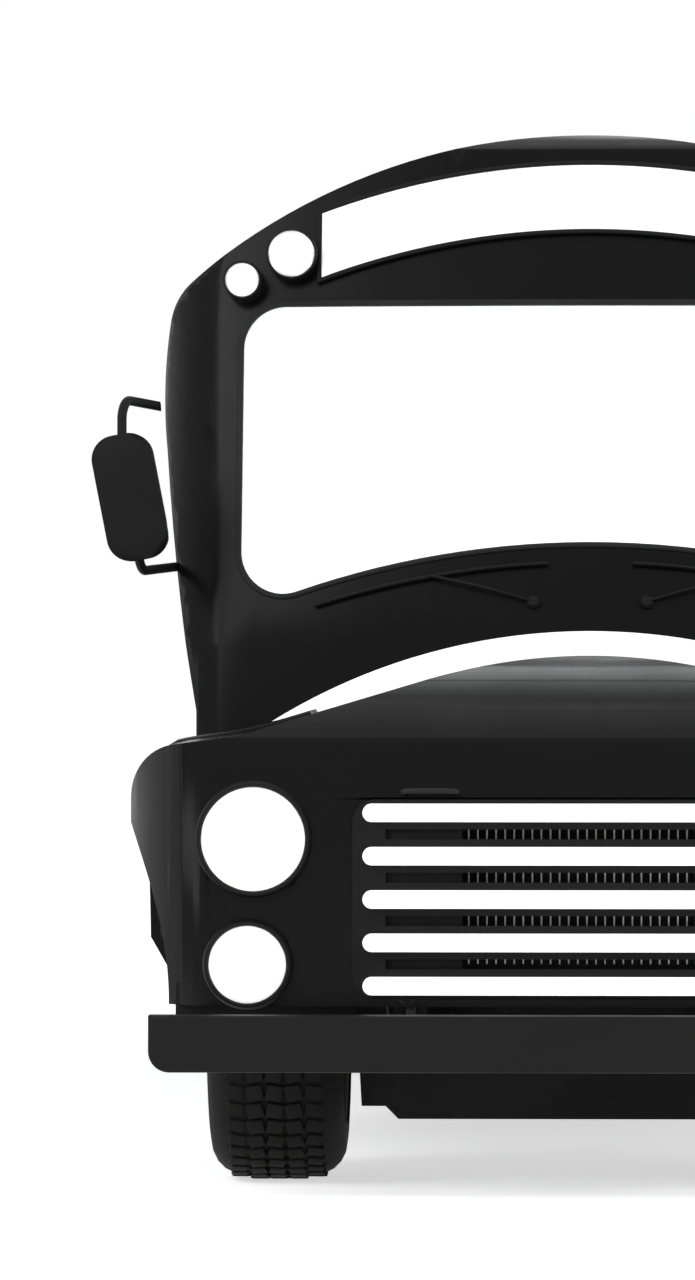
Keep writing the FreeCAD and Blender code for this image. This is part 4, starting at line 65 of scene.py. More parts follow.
def corners_of(node: str) -> tuple[Vector, Vector]:
    """Return the lowest and the highest corner of a CAD node's box.

    Args:
        node: Name of the node.
    """
    low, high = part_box(node)
    return Vector(low), Vector(high)


class Relief(Enum):
    """How the surface of a finish is shaped at close range."""

    PLAIN = "plain"
    PEEL = "peel"
    GRAIN = "grain"
    CAST = "cast"
    BRUSHED = "brushed"
    RIBBED = "ribbed"


@dataclass(frozen=True)
class Finish:
    """Look of one kind of surface, from its colour to its grain."""

    name: str
    colour: Colour
    rough_low: float = 0.3
    rough_high: float = 0.45
    metallic: float = 0.0
    specular: float = 0.5
    coat: float = 0.0
    transmission: float = 0.0
    opacity: float = 1.0
    # Emission strength: the lamp lenses' own light, and painted light on the screen, the bright
    # trim and the pale panels.
    glow: float = 0.0
    relief: Relief = Relief.PLAIN
    relief_scale: float = 60.0
    relief_depth: float = 0.0004
    dust: float = 0.0
    dust_top: float = 1.0
    slot: str = ""


@dataclass(frozen=True)
class Palette:
    """Every finish of the bus."""

    paint: Finish = Finish("black_gloss_paint", (0.003, 0.003, 0.0033), 0.26, 0.36,
                           specular=0.1, relief=Relief.PEEL, relief_scale=420.0,
                           relief_depth=0.00004, dust=0.10, dust_top=0.95, slot="body_paint")
    trim: Finish = Finish("black_moulded_trim", (0.006, 0.006, 0.0063), 0.45, 0.62,
                          specular=0.14, relief=Relief.GRAIN, relief_scale=700.0,
                          relief_depth=0.0001, slot="black_trim")
    seal: Finish = Finish("black_rubber_seal", (0.01, 0.01, 0.01), 0.6, 0.75, specular=0.25,
                          relief=Relief.GRAIN, relief_scale=900.0, relief_depth=0.00006,
                          slot="black_trim")
    chassis: Finish = Finish("chassis_paint", (0.006, 0.006, 0.0063), 0.42, 0.6,
                             specular=0.14, relief=Relief.CAST, relief_scale=140.0,
                             relief_depth=0.0003, dust=0.08, dust_top=1.0,
                             slot="chassis_paint")
    wheel: Finish = Finish("wheel_paint", (0.008, 0.008, 0.0083), 0.32, 0.46, specular=0.25,
                           relief=Relief.PEEL, relief_scale=300.0, relief_depth=0.00008,
                           dust=0.08, dust_top=1.1, slot="wheel_paint")
    tyre: Finish = Finish("tyre_rubber", (0.007, 0.007, 0.007), 0.66, 0.84, specular=0.12,
                          relief=Relief.GRAIN, relief_scale=380.0, relief_depth=0.00025,
                          dust=0.08, dust_top=1.1, slot="tyre")
    # Painted light: glow 0.55 makes the grille bars and the crescent trim shine white by
    # themselves, though they are no lamp.
    bright: Finish = Finish("bright_trim", (0.95, 0.95, 0.95), 0.2, 0.3, metallic=0.3,
                            glow=0.55, slot="bright_metal")
    steel: Finish = Finish("plain_steel", (0.45, 0.45, 0.44), 0.3, 0.45, metallic=1.0,
                           relief=Relief.BRUSHED, relief_scale=90.0, relief_depth=0.0001,
                           slot="exhaust_steel")
    pipe: Finish = Finish("exhaust_steel", (0.3, 0.28, 0.26), 0.42, 0.62, metallic=0.9,
                          relief=Relief.CAST, relief_scale=80.0, relief_depth=0.0003,
                          dust=0.3, dust_top=1.0, slot="exhaust_steel")
    # Painted light: glow 0.45 makes the windscreen shine pale white by itself, as if lit, though
    # glass gives no light.
    screen: Finish = Finish("pale_screen_glass", (0.94, 0.95, 0.95), 0.05, 0.08,
                            transmission=0.25, glow=0.45, slot="glass")
    pane: Finish = Finish("side_glass", (0.8, 0.85, 0.86), 0.03, 0.06, transmission=0.85,
                          opacity=0.32, slot="glass")
    lens: Finish = Finish("clear_lens", (0.95, 0.95, 0.94), 0.1, 0.14, transmission=0.2,
                          glow=0.4, relief=Relief.RIBBED, relief_scale=95.0,
                          relief_depth=0.0006, slot="clear_lamp")
    red_lens: Finish = Finish("red_lens", (0.5, 0.02, 0.015), 0.12, 0.18,
                              transmission=0.15, relief=Relief.RIBBED, relief_scale=110.0,
                              relief_depth=0.0006, slot="red_lamp")
    amber_lens: Finish = Finish("amber_lens", (0.75, 0.25, 0.02), 0.12, 0.18,
                                transmission=0.15, relief=Relief.RIBBED,
                                relief_scale=110.0, relief_depth=0.0006, slot="red_lamp")
    red_paint: Finish = Finish("red_stop_paint", (0.45, 0.02, 0.015), 0.25, 0.36, coat=0.4,
                               relief=Relief.PEEL, relief_scale=400.0,
                               relief_depth=0.00004, slot="red_paint")
    # Painted light: glow 0.3 makes the sign panel, the stop arm's border and the blank plate
    # shine by themselves, though they are no lamp.
    pale_panel: Finish = Finish("pale_sign_panel", (0.92, 0.92, 0.9), 0.32, 0.42, glow=0.3,
                                relief=Relief.PEEL, relief_scale=300.0,
                                relief_depth=0.00004, slot="pale_panel")
    mirror: Finish = Finish("mirror_glass", (0.86, 0.88, 0.88), 0.02, 0.04, metallic=1.0,
                            slot="glass")
    iron: Finish = Finish("engine_iron", (0.06, 0.06, 0.062), 0.5, 0.72, metallic=0.4,
                          relief=Relief.CAST, relief_scale=120.0, relief_depth=0.0006,
                          slot="engine_iron")
    flooring: Finish = Finish("ribbed_floor_cover", (0.035, 0.035, 0.036), 0.6, 0.8,
                              relief=Relief.RIBBED, relief_scale=160.0,
                              relief_depth=0.0009, slot="floor_cover")
    leather: Finish = Finish("seat_cover", (0.035, 0.038, 0.042), 0.42, 0.6,
                             relief=Relief.GRAIN, relief_scale=260.0,
                             relief_depth=0.0004, slot="seat_cover")
    piping: Finish = Finish("seat_piping", (0.02, 0.02, 0.022), 0.4, 0.5,
                            relief=Relief.GRAIN, relief_scale=500.0,
                            relief_depth=0.0001, slot="seat_cover")
    lining: Finish = Finish("cabin_lining", (0.42, 0.43, 0.43), 0.5, 0.65,
                            relief=Relief.PEEL, relief_scale=200.0,
                            relief_depth=0.00006, slot="body_paint")


FINISHES = Palette()


class Sockets:
    """Adds named sockets to a node group's interface and returns its two end nodes."""

    def __init__(self, tree: bpy.types.NodeTree) -> None:
        """Keep the tree and make its two end nodes.

        Args:
            tree: Node group whose interface is filled.
        """
        self.tree = tree
        self.start = tree.nodes.new("NodeGroupInput")
        self.end = tree.nodes.new("NodeGroupOutput")

    def take(self, name: str, kind: str, value: object = None) -> None:
        """Add an input socket.

        Args:
            name: Name of the input.
            kind: Socket type, such as NodeSocketFloat.
            value: Value it has where nothing is given.
        """
        socket = self.tree.interface.new_socket(name, in_out="INPUT", socket_type=kind)
        if value is not None:
            socket.default_value = value

    def give(self, name: str, kind: str) -> None:
        """Add an output socket.

        Args:
            name: Name of the output.
            kind: Socket type.
        """
        self.tree.interface.new_socket(name, in_out="OUTPUT", socket_type=kind)


def wear_group() -> bpy.types.NodeTree:
    """Build the effect that varies roughness over a surface.

    Returns:
        Shader group with Low, High and Scale inputs and a Roughness output.
    """
    tree = bpy.data.node_groups.new("surface_wear", "ShaderNodeTree")
    ends = Sockets(tree)
    ends.take("Low", "NodeSocketFloat", 0.3)
    ends.take("High", "NodeSocketFloat", 0.5)
    ends.take("Scale", "NodeSocketFloat", 3.0)
    ends.give("Roughness", "NodeSocketFloat")
    nodes, links = tree.nodes, tree.links
    place = nodes.new("ShaderNodeTexCoord")
    noise = nodes.new("ShaderNodeTexNoise")
    noise.inputs["Detail"].default_value = 5.0
    spread = nodes.new("ShaderNodeMapRange")
    spread.inputs["From Min"].default_value = 0.35
    spread.inputs["From Max"].default_value = 0.65
    links.new(place.outputs["Object"], noise.inputs["Vector"])
    links.new(ends.start.outputs["Scale"], noise.inputs["Scale"])
    links.new(noise.outputs["Fac"], spread.inputs["Value"])
    links.new(ends.start.outputs["Low"], spread.inputs["To Min"])
    links.new(ends.start.outputs["High"], spread.inputs["To Max"])
    links.new(spread.outputs["Result"], ends.end.inputs["Roughness"])
    return tree


def dust_group() -> bpy.types.NodeTree:
    """Build the effect that lays road dust over the lower part of a surface.

    Returns:
        Shader group with Colour, Dust, Amount and Top inputs and a Colour output.
    """
    tree = bpy.data.node_groups.new("road_dust", "ShaderNodeTree")
    ends = Sockets(tree)
    ends.take("Colour", "NodeSocketColor", (0.1, 0.1, 0.1, 1.0))
    ends.take("Dust", "NodeSocketColor", (0.10, 0.09, 0.08, 1.0))
    ends.take("Amount", "NodeSocketFloat", 0.2)
    ends.take("Top", "NodeSocketFloat", 1.0)
    ends.give("Colour", "NodeSocketColor")
    nodes, links = tree.nodes, tree.links
    place = nodes.new("ShaderNodeTexCoord")
    parts = nodes.new("ShaderNodeSeparateXYZ")
    height = nodes.new("ShaderNodeMapRange")
    height.inputs["From Min"].default_value = 0.0
    height.inputs["To Min"].default_value = 1.0
    height.inputs["To Max"].default_value = 0.0
    noise = nodes.new("ShaderNodeTexNoise")
    noise.inputs["Scale"].default_value = 6.0
    noise.inputs["Detail"].default_value = 8.0
    broken = nodes.new("ShaderNodeMath")
    broken.operation = "MULTIPLY"
    amount = nodes.new("ShaderNodeMath")
    amount.operation = "MULTIPLY"
    mix = nodes.new("ShaderNodeMix")
    mix.data_type = "RGBA"
    links.new(place.outputs["Object"], parts.inputs["Vector"])
    links.new(parts.outputs["Z"], height.inputs["Value"])
    links.new(ends.start.outputs["Top"], height.inputs["From Max"])
    links.new(place.outputs["Object"], noise.inputs["Vector"])
    links.new(height.outputs["Result"], broken.inputs[0])
    links.new(noise.outputs["Fac"], broken.inputs[1])
    links.new(broken.outputs["Value"], amount.inputs[0])
    links.new(ends.start.outputs["Amount"], amount.inputs[1])
    links.new(amount.outputs["Value"], mix.inputs[0])
    links.new(ends.start.outputs["Colour"], mix.inputs[6])
    links.new(ends.start.outputs["Dust"], mix.inputs[7])
    links.new(mix.outputs[2], ends.end.inputs["Colour"])
    return tree


def grain_group() -> bpy.types.NodeTree:
    """Build the fine cell grain of moulded plastic, rubber and leather.

    Returns:
        Shader group with a Scale input and a Height output.
    """
    tree = bpy.data.node_groups.new("cell_grain", "ShaderNodeTree")
    ends = Sockets(tree)
    ends.take("Scale", "NodeSocketFloat", 300.0)
    ends.give("Height", "NodeSocketFloat")
    nodes, links = tree.nodes, tree.links
    place = nodes.new("ShaderNodeTexCoord")
    cells = nodes.new("ShaderNodeTexVoronoi")
    cells.feature = "DISTANCE_TO_EDGE"
    soft = nodes.new("ShaderNodeMapRange")
    soft.inputs["From Max"].default_value = 0.25
    links.new(place.outputs["Object"], cells.inputs["Vector"])
    links.new(ends.start.outputs["Scale"], cells.inputs["Scale"])
    links.new(cells.outputs["Distance"], soft.inputs["Value"])
    links.new(soft.outputs["Result"], ends.end.inputs["Height"])
    return tree


def rib_group() -> bpy.types.NodeTree:
    """Build the parallel ribs of lenses and floor covers.

    Returns:
        Shader group with a Scale input and a Height output.
    """
    tree = bpy.data.node_groups.new("fine_ribs", "ShaderNodeTree")
    ends = Sockets(tree)
    ends.take("Scale", "NodeSocketFloat", 100.0)
    ends.give("Height", "NodeSocketFloat")
    nodes, links = tree.nodes, tree.links
    place = nodes.new("ShaderNodeTexCoord")
    wave = nodes.new("ShaderNodeTexWave")
    wave.wave_type = "BANDS"
    wave.bands_direction = "X"
    links.new(place.outputs["Object"], wave.inputs["Vector"])
    links.new(ends.start.outputs["Scale"], wave.inputs["Scale"])
    links.new(wave.outputs["Fac"], ends.end.inputs["Height"])
    return tree


class Paintshop:
    """Makes each finish's material once and keeps it."""

    def __init__(self) -> None:
        """Build the shared effects."""
        self.wear = wear_group()
        self.dust = dust_group()
        self.grain = grain_group()
        self.ribs = rib_group()
        self.made: dict[str, bpy.types.Material] = {}

    def material(self, finish: Finish) -> bpy.types.Material:
        """Return the material of a finish.

        Args:
            finish: Finish that is wanted.

        Returns:
            Its node material, built on first use.
        """
        if finish.name not in self.made:
            self.made[finish.name] = self._build(finish)
        return self.made[finish.name]

    def _build(self, finish: Finish) -> bpy.types.Material:
        """Build the node material of a finish.

        Args:
            finish: Finish that is wanted.

        Returns:
            The new material.
        """
        material = bpy.data.materials.new(finish.name)
        material.use_nodes = True
        tree = material.node_tree
        nodes, links = tree.nodes, tree.links
        nodes.clear()
        shader = nodes.new("ShaderNodeBsdfPrincipled")
        end = nodes.new("ShaderNodeOutputMaterial")
        links.new(shader.outputs["BSDF"], end.inputs["Surface"])
        shader.inputs["Metallic"].default_value = finish.metallic
        shader.inputs["Specular IOR Level"].default_value = finish.specular
        shader.inputs["Coat Weight"].default_value = finish.coat
        shader.inputs["Transmission Weight"].default_value = finish.transmission
        shader.inputs["Alpha"].default_value = finish.opacity
        # Emission in the finish's own colour: lamp light for the lenses, painted light for the
        # screen, bright trim and pale panels.
        if finish.glow:
            shader.inputs["Emission Color"].default_value = (*finish.colour, 1.0)
            shader.inputs["Emission Strength"].default_value = finish.glow
        self._colour(finish, tree, shader)
        rough = nodes.new("ShaderNodeGroup")
        rough.node_tree = self.wear
        rough.inputs["Low"].default_value = finish.rough_low
        rough.inputs["High"].default_value = finish.rough_high
        links.new(rough.outputs["Roughness"], shader.inputs["Roughness"])
        self._relief(finish, tree, shader)
        return material

    def _colour(self, finish: Finish, tree: bpy.types.NodeTree,
                shader: bpy.types.Node) -> None:
        """Give the shader its colour, with dust where the finish has any.

        Args:
            finish: Finish that is built.
            tree: Its node tree.
            shader: Shader that takes the colour.
        """
        if not finish.dust:
            shader.inputs["Base Color"].default_value = (*finish.colour, 1.0)
            return
        dust = tree.nodes.new("ShaderNodeGroup")
        dust.node_tree = self.dust
        dust.inputs["Colour"].default_value = (*finish.colour, 1.0)
        dust.inputs["Amount"].default_value = finish.dust
        dust.inputs["Top"].default_value = finish.dust_top
        tree.links.new(dust.outputs["Colour"], shader.inputs["Base Color"])

    def _relief(self, finish: Finish, tree: bpy.types.NodeTree,
                shader: bpy.types.Node) -> None:
        """Give the shader its close-range bumps.

        Args:
            finish: Finish that is built.
            tree: Its node tree.
            shader: Shader that takes the normal.
        """
        if finish.relief is Relief.PLAIN:
            return
        nodes, links = tree.nodes, tree.links
        if finish.relief in (Relief.GRAIN, Relief.RIBBED):
            source = nodes.new("ShaderNodeGroup")
            source.node_tree = self.grain if finish.relief is Relief.GRAIN else self.ribs
            source.inputs["Scale"].default_value = finish.relief_scale
            height = source.outputs["Height"]
        else:
            place = nodes.new("ShaderNodeTexCoord")
            source = nodes.new("ShaderNodeTexNoise")
            source.inputs["Scale"].default_value = finish.relief_scale
            source.inputs["Detail"].default_value = 6.0 if finish.relief is Relief.CAST else 2.0
            vector = place.outputs["Object"]
            if finish.relief is Relief.BRUSHED:
                stretch = nodes.new("ShaderNodeMapping")
                stretch.inputs["Scale"].default_value = (1.0, 12.0, 12.0)
                links.new(vector, stretch.inputs["Vector"])
                vector = stretch.outputs["Vector"]
            links.new(vector, source.inputs["Vector"])
            height = source.outputs["Fac"]
        bump = nodes.new("ShaderNodeBump")
        bump.inputs["Distance"].default_value = finish.relief_depth
        links.new(height, bump.inputs["Height"])
        links.new(bump.outputs["Normal"], shader.inputs["Normal"])


SHOP = Paintshop()


def mesh_of(shape: bmesh.types.BMesh, name: str) -> bpy.types.Mesh:
    """Turn a shape into a mesh with its faces outwards, and free it.

    Args:
        shape: Shape that is used up.
        name: Name of the mesh.
    """
    bmesh.ops.recalc_face_normals(shape, faces=shape.faces)
    mesh = bpy.data.meshes.new(name)
    shape.to_mesh(mesh)
    shape.free()
    return mesh


def settle(name: str, mesh: bpy.types.Mesh, finish: Finish, body: str,
           angle: float) -> bpy.types.Object:
    """Put a finished mesh into the scene as a piece that rides on a body.

    Args:
        name: Name of the piece.
        mesh: Its mesh.
        finish: Finish of the piece; it is not used here.
        body: Body that it rides on.
        angle: Degrees past which an edge stays sharp.

    Returns:
        The new piece.
    """
    mesh.shade_smooth()
    mesh.set_sharp_from_angle(angle=math.radians(angle))
    piece = bpy.data.objects.new(name, mesh)
    bpy.context.scene.collection.objects.link(piece)
    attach(piece, body)
    log.info("  %s: %d faces", name, len(mesh.polygons))
    return piece


def emit(name: str, shape: bmesh.types.BMesh, finish: Finish, body: str,
         angle: float = 34.0) -> bpy.types.Object:
    """Turn a finished shape into a piece that rides on a body.

    Args:
        name: Name of the piece.
        shape: Its shape, in the frame of the whole bus; it is freed here.
        finish: Finish that it gets.
        body: Body that it rides on.
        angle: Degrees past which an edge stays sharp.

    Returns:
        The new piece.
    """
    mesh = mesh_of(shape, name)
    mesh.materials.append(SHOP.material(finish))
    return settle(name, mesh, finish, body, angle)


def frame_of(axis: Vector) -> Matrix:
    """Return a turn that takes +Z to an axis.

    Args:
        axis: Direction that is wanted.
    """
    return axis.to_track_quat("Z", "Y").to_matrix().to_4x4()


def lathe(shape: bmesh.types.BMesh, profile: Sequence[tuple[float, float]], centre: Vector,
          axis: Vector, segments: int = 64) -> None:
    """Add a turned form to a shape.

    Args:
        shape: Shape that grows.
        profile: Radius and height of each point, from one end to the other.
        centre: Place of height 0 on the axis.
        axis: Direction of the heights.
        segments: Facets round the axis.
    """
    turn = Matrix.Translation(centre) @ frame_of(axis)
    rings: list[list[bmesh.types.BMVert]] = []
    for radius, height in profile:
        count = segments if radius > 0.0 else 1
        rings.append([
            shape.verts.new(turn @ Vector((radius * math.cos(math.tau * i / segments),
                                           radius * math.sin(math.tau * i / segments),
                                           height)))
            for i in range(count)
        ])
    for low, high in zip(rings, rings[1:]):
        for i in range(segments):
            j = (i + 1) % segments
            corners = [low[i % len(low)], low[j % len(low)], high[j % len(high)],
                       high[i % len(high)]]
            unique = list(dict.fromkeys(corners))
            if len(unique) > 2:
                shape.faces.new(unique)


def sweep(shape: bmesh.types.BMesh, path: Sequence[Vector], normals: Sequence[Vector],
          section: Sequence[tuple[float, float]], closed: bool = True) -> None:
    """Add a strip of one cross section along a path to a shape.

    Args:
        shape: Shape that grows.
        path: Places along the strip.
        normals: Outward direction of the ground at each place.
        section: Points of the closed section, as steps sideways and outwards.
        closed: Whether the last place joins the first.
    """
    count = len(path)
    rings: list[list[bmesh.types.BMVert]] = []
    for i, (place, normal) in enumerate(zip(path, normals)):
        before = path[(i - 1) % count] if closed or i else place
        after = path[(i + 1) % count] if closed or i < count - 1 else place
        back = (place - before).normalized() if (place - before).length else None
        ahead = (after - place).normalized() if (after - place).length else None
        tangent = ((back or ahead) + (ahead or back)).normalized()
        aside = tangent.cross(normal).normalized()
        stretch = 1.0 / max(0.5, tangent.dot(ahead or tangent))
        rings.append([shape.verts.new(place + aside * (side * stretch) + normal * rise)
                      for side, rise in section])
    pairs = list(zip(rings, rings[1:])) + ([(rings[-1], rings[0])] if closed else [])
    size = len(section)
    for low, high in pairs:
        for k in range(size):
            shape.faces.new((low[k], low[(k + 1) % size], high[(k + 1) % size], high[k]))
    if not closed:
        shape.faces.new(rings[0])
        shape.faces.new(list(reversed(rings[-1])))


def bead(width: float, rise: float, sink: float = 0.002, steps: int = 5
         ) -> list[tuple[float, float]]:
    """Return a half-round section that is sunk a little into its ground.

    Args:
        width: Width at its foot.
        rise: Height of its crown.
        sink: Depth below the ground.
        steps: Facets over the crown.
    """
    crown = [(0.5 * width * math.cos(math.pi * i / steps), rise * math.sin(math.pi * i / steps))
             for i in range(steps + 1)]
    return [(0.5 * width, -sink)] + crown + [(-0.5 * width, -sink)]


def round_section(radius: float, steps: int = 10) -> list[tuple[float, float]]:
    """Return a round section.

    Args:
        radius: Its radius.
        steps: Its facets.
    """
    return [(radius * math.cos(math.tau * i / steps), radius * math.sin(math.tau * i / steps))
            for i in range(steps)]


def smooth_path(points: Sequence[Vector], steps: int = 6) -> list[Vector]:
    """Return an open path that runs smoothly through points.

    Args:
        points: Places that it runs through.
        steps: Runs between two of them.
    """
    ends = [2 * points[0] - points[1], *points, 2 * points[-1] - points[-2]]
    path: list[Vector] = []
    for a, b, c, d in zip(ends, ends[1:], ends[2:], ends[3:]):
        for i in range(steps):
            t = i / steps
            path.append(0.5 * ((2 * b) + (c - a) * t + (2 * a - 5 * b + 4 * c - d) * t ** 2
                               + (3 * b - a - 3 * c + d) * t ** 3))
    path.append(Vector(points[-1]))
    return path


def rod(shape: bmesh.types.BMesh, points: Sequence[Vector], radius: float,
        smooth: bool = True, steps: int = 10) -> None:
    """Add a round rod along points to a shape.

    Args:
        shape: Shape that grows.
        points: Places along the rod.
        radius: Its radius.
        smooth: Whether it bends smoothly through them.
        steps: Facets round it.
    """
    path = smooth_path(points) if smooth and len(points) > 2 else [Vector(p) for p in points]
    run = (path[-1] - path[0]).normalized()
    guide = UP if abs(run.dot(UP)) < 0.8 else LEFT
    normals = []
    for i in range(len(path)):
        ahead = path[min(i + 1, len(path) - 1)] - path[max(i - 1, 0)]
        side = ahead.normalized().cross(guide).normalized()
        normals.append(side.cross(ahead.normalized()).normalized())
    sweep(shape, path, normals, round_section(radius, steps), closed=False)


def block(shape: bmesh.types.BMesh, low: Point, high: Point, bevel: float = 0.004,
          turn: Matrix | None = None) -> None:
    """Add a box with rounded edges to a shape.

    Args:
        shape: Shape that grows.
        low: Its lowest corner.
        high: Its highest corner.
        bevel: Rounding of its edges.
        turn: Turn about the middle of the box.
    """
    low, high = Vector(low), Vector(high)
    middle = (low + high) / 2
    size = high - low
    part = bmesh.new()
    bmesh.ops.create_cube(part, size=1.0)
    bmesh.ops.scale(part, vec=size, verts=part.verts)
    if bevel:
        bmesh.ops.bevel(part, geom=part.edges[:], offset=min(bevel, min(size) * 0.45),
                        segments=2, affect="EDGES", profile=0.5)
    place = Matrix.Translation(middle) @ (turn.to_4x4() if turn else Matrix())
    bmesh.ops.transform(part, matrix=place, verts=part.verts)
    join(shape, part)


def join(shape: bmesh.types.BMesh, part: bmesh.types.BMesh) -> None:
    """Move a part's faces into a shape.

    Args:
        shape: Shape that grows.
        part: Part that it takes; it is freed here.
    """
    mesh = bpy.data.meshes.new("joining")
    part.to_mesh(mesh)
    part.free()
    shape.from_mesh(mesh)
    bpy.data.meshes.remove(mesh)


class Ground:
    """Finds places on the surface of CAD nodes."""

    def __init__(self, *nodes: str) -> None:
        """Gather the nodes' faces.

        Args:
            nodes: Names of the nodes.
        """
        verts: list[Vector] = []
        faces: list[list[int]] = []
        for node in nodes:
            mesh = frame["nodes"][node].data
            start = len(verts)
            verts += [vertex.co.copy() for vertex in mesh.vertices]
            faces += [[start + i for i in face.vertices] for face in mesh.polygons]
        self.tree = BVHTree.FromPolygons(verts, faces)

    def meet(self, start: Vector, run: Vector) -> tuple[Vector, Vector] | None:
        """Return where a ray meets the surface and the surface's direction there.

        Args:
            start: Start of the ray.
            run: Direction of the ray.
        """
        place, normal, _, _ = self.tree.ray_cast(start, run)
        if place is None:
            return None
        return place, (normal if normal.dot(run) < 0 else -normal)


def rims(node: str, facing: Vector, angle: float = 50.0, spread: float = 0.55
         ) -> list[tuple[list[Vector], Vector]]:
    """Find the outlines of a node's faces that look one way.

    Args:
        node: Name of the node.
        facing: Direction that the faces look in.
        angle: Degrees at which an edge counts as the end of a face.
        spread: Least share of the direction that a face must have.

    Returns:
        Each closed outline with the mean direction of the faces inside it.
    """
    shape = bmesh.new()
    shape.from_mesh(frame["nodes"][node].data)
    bmesh.ops.remove_doubles(shape, verts=shape.verts, dist=0.00002)
    shape.normal_update()
    front = {face for face in shape.faces if face.normal.dot(facing) > spread}
    limit = math.radians(angle)
    links: dict[bmesh.types.BMVert, list[bmesh.types.BMVert]] = {}
    mean: dict[bmesh.types.BMVert, Vector] = {}
    for edge in shape.edges:
        inside = [face for face in edge.link_faces if face in front]
        if len(inside) != 1 or len(edge.link_faces) != 2:
            continue
        if edge.calc_face_angle() < limit:
            continue
        for here, there in (edge.verts, reversed(edge.verts)):
            links.setdefault(here, []).append(there)
            mean[here] = mean.get(here, Vector()) + inside[0].normal
    loops: list[tuple[list[Vector], Vector]] = []
    seen: set[bmesh.types.BMVert] = set()
    for start in links:
        if start in seen:
            continue
        loop, here, before = [start], start, None
        seen.add(start)
        while True:
            ahead = [v for v in links[here] if v is not before and v not in seen]
            if not ahead:
                break
            before, here = here, ahead[0]
            seen.add(here)
            loop.append(here)
        if len(loop) > 3 and start in links[loop[-1]]:
            total = sum((mean[v] for v in loop), Vector()).normalized()
            loops.append(([v.co.copy() for v in loop], total))
    shape.free()
    return loops


def spaced(loop: Sequence[Vector], least: float = 0.006) -> list[Vector]:
    """Return an outline without places that lie too near each other.

    Args:
        loop: Places of a closed outline.
        least: Least distance between two of them.
    """
    kept = [loop[0]]
    for place in loop[1:]:
        if (place - kept[-1]).length >= least:
            kept.append(place)
    if (kept[-1] - kept[0]).length < least:
        kept.pop()
    return kept


def gasket(shape: bmesh.types.BMesh, loop: Sequence[Vector], normal: Vector,
           width: float, rise: float, shift: float = 0.0) -> None:
    """Add a rubber strip along an outline to a shape.

    Args:
        shape: Shape that grows.
        loop: Closed outline.
        normal: Direction away from the ground.
        width: Width of the strip.
        rise: Height of the strip.
        shift: Move along the direction.
    """
    path = [place + normal * shift for place in spaced(loop)]
    sweep(shape, path, [normal] * len(path), bead(width, rise, 0.006))


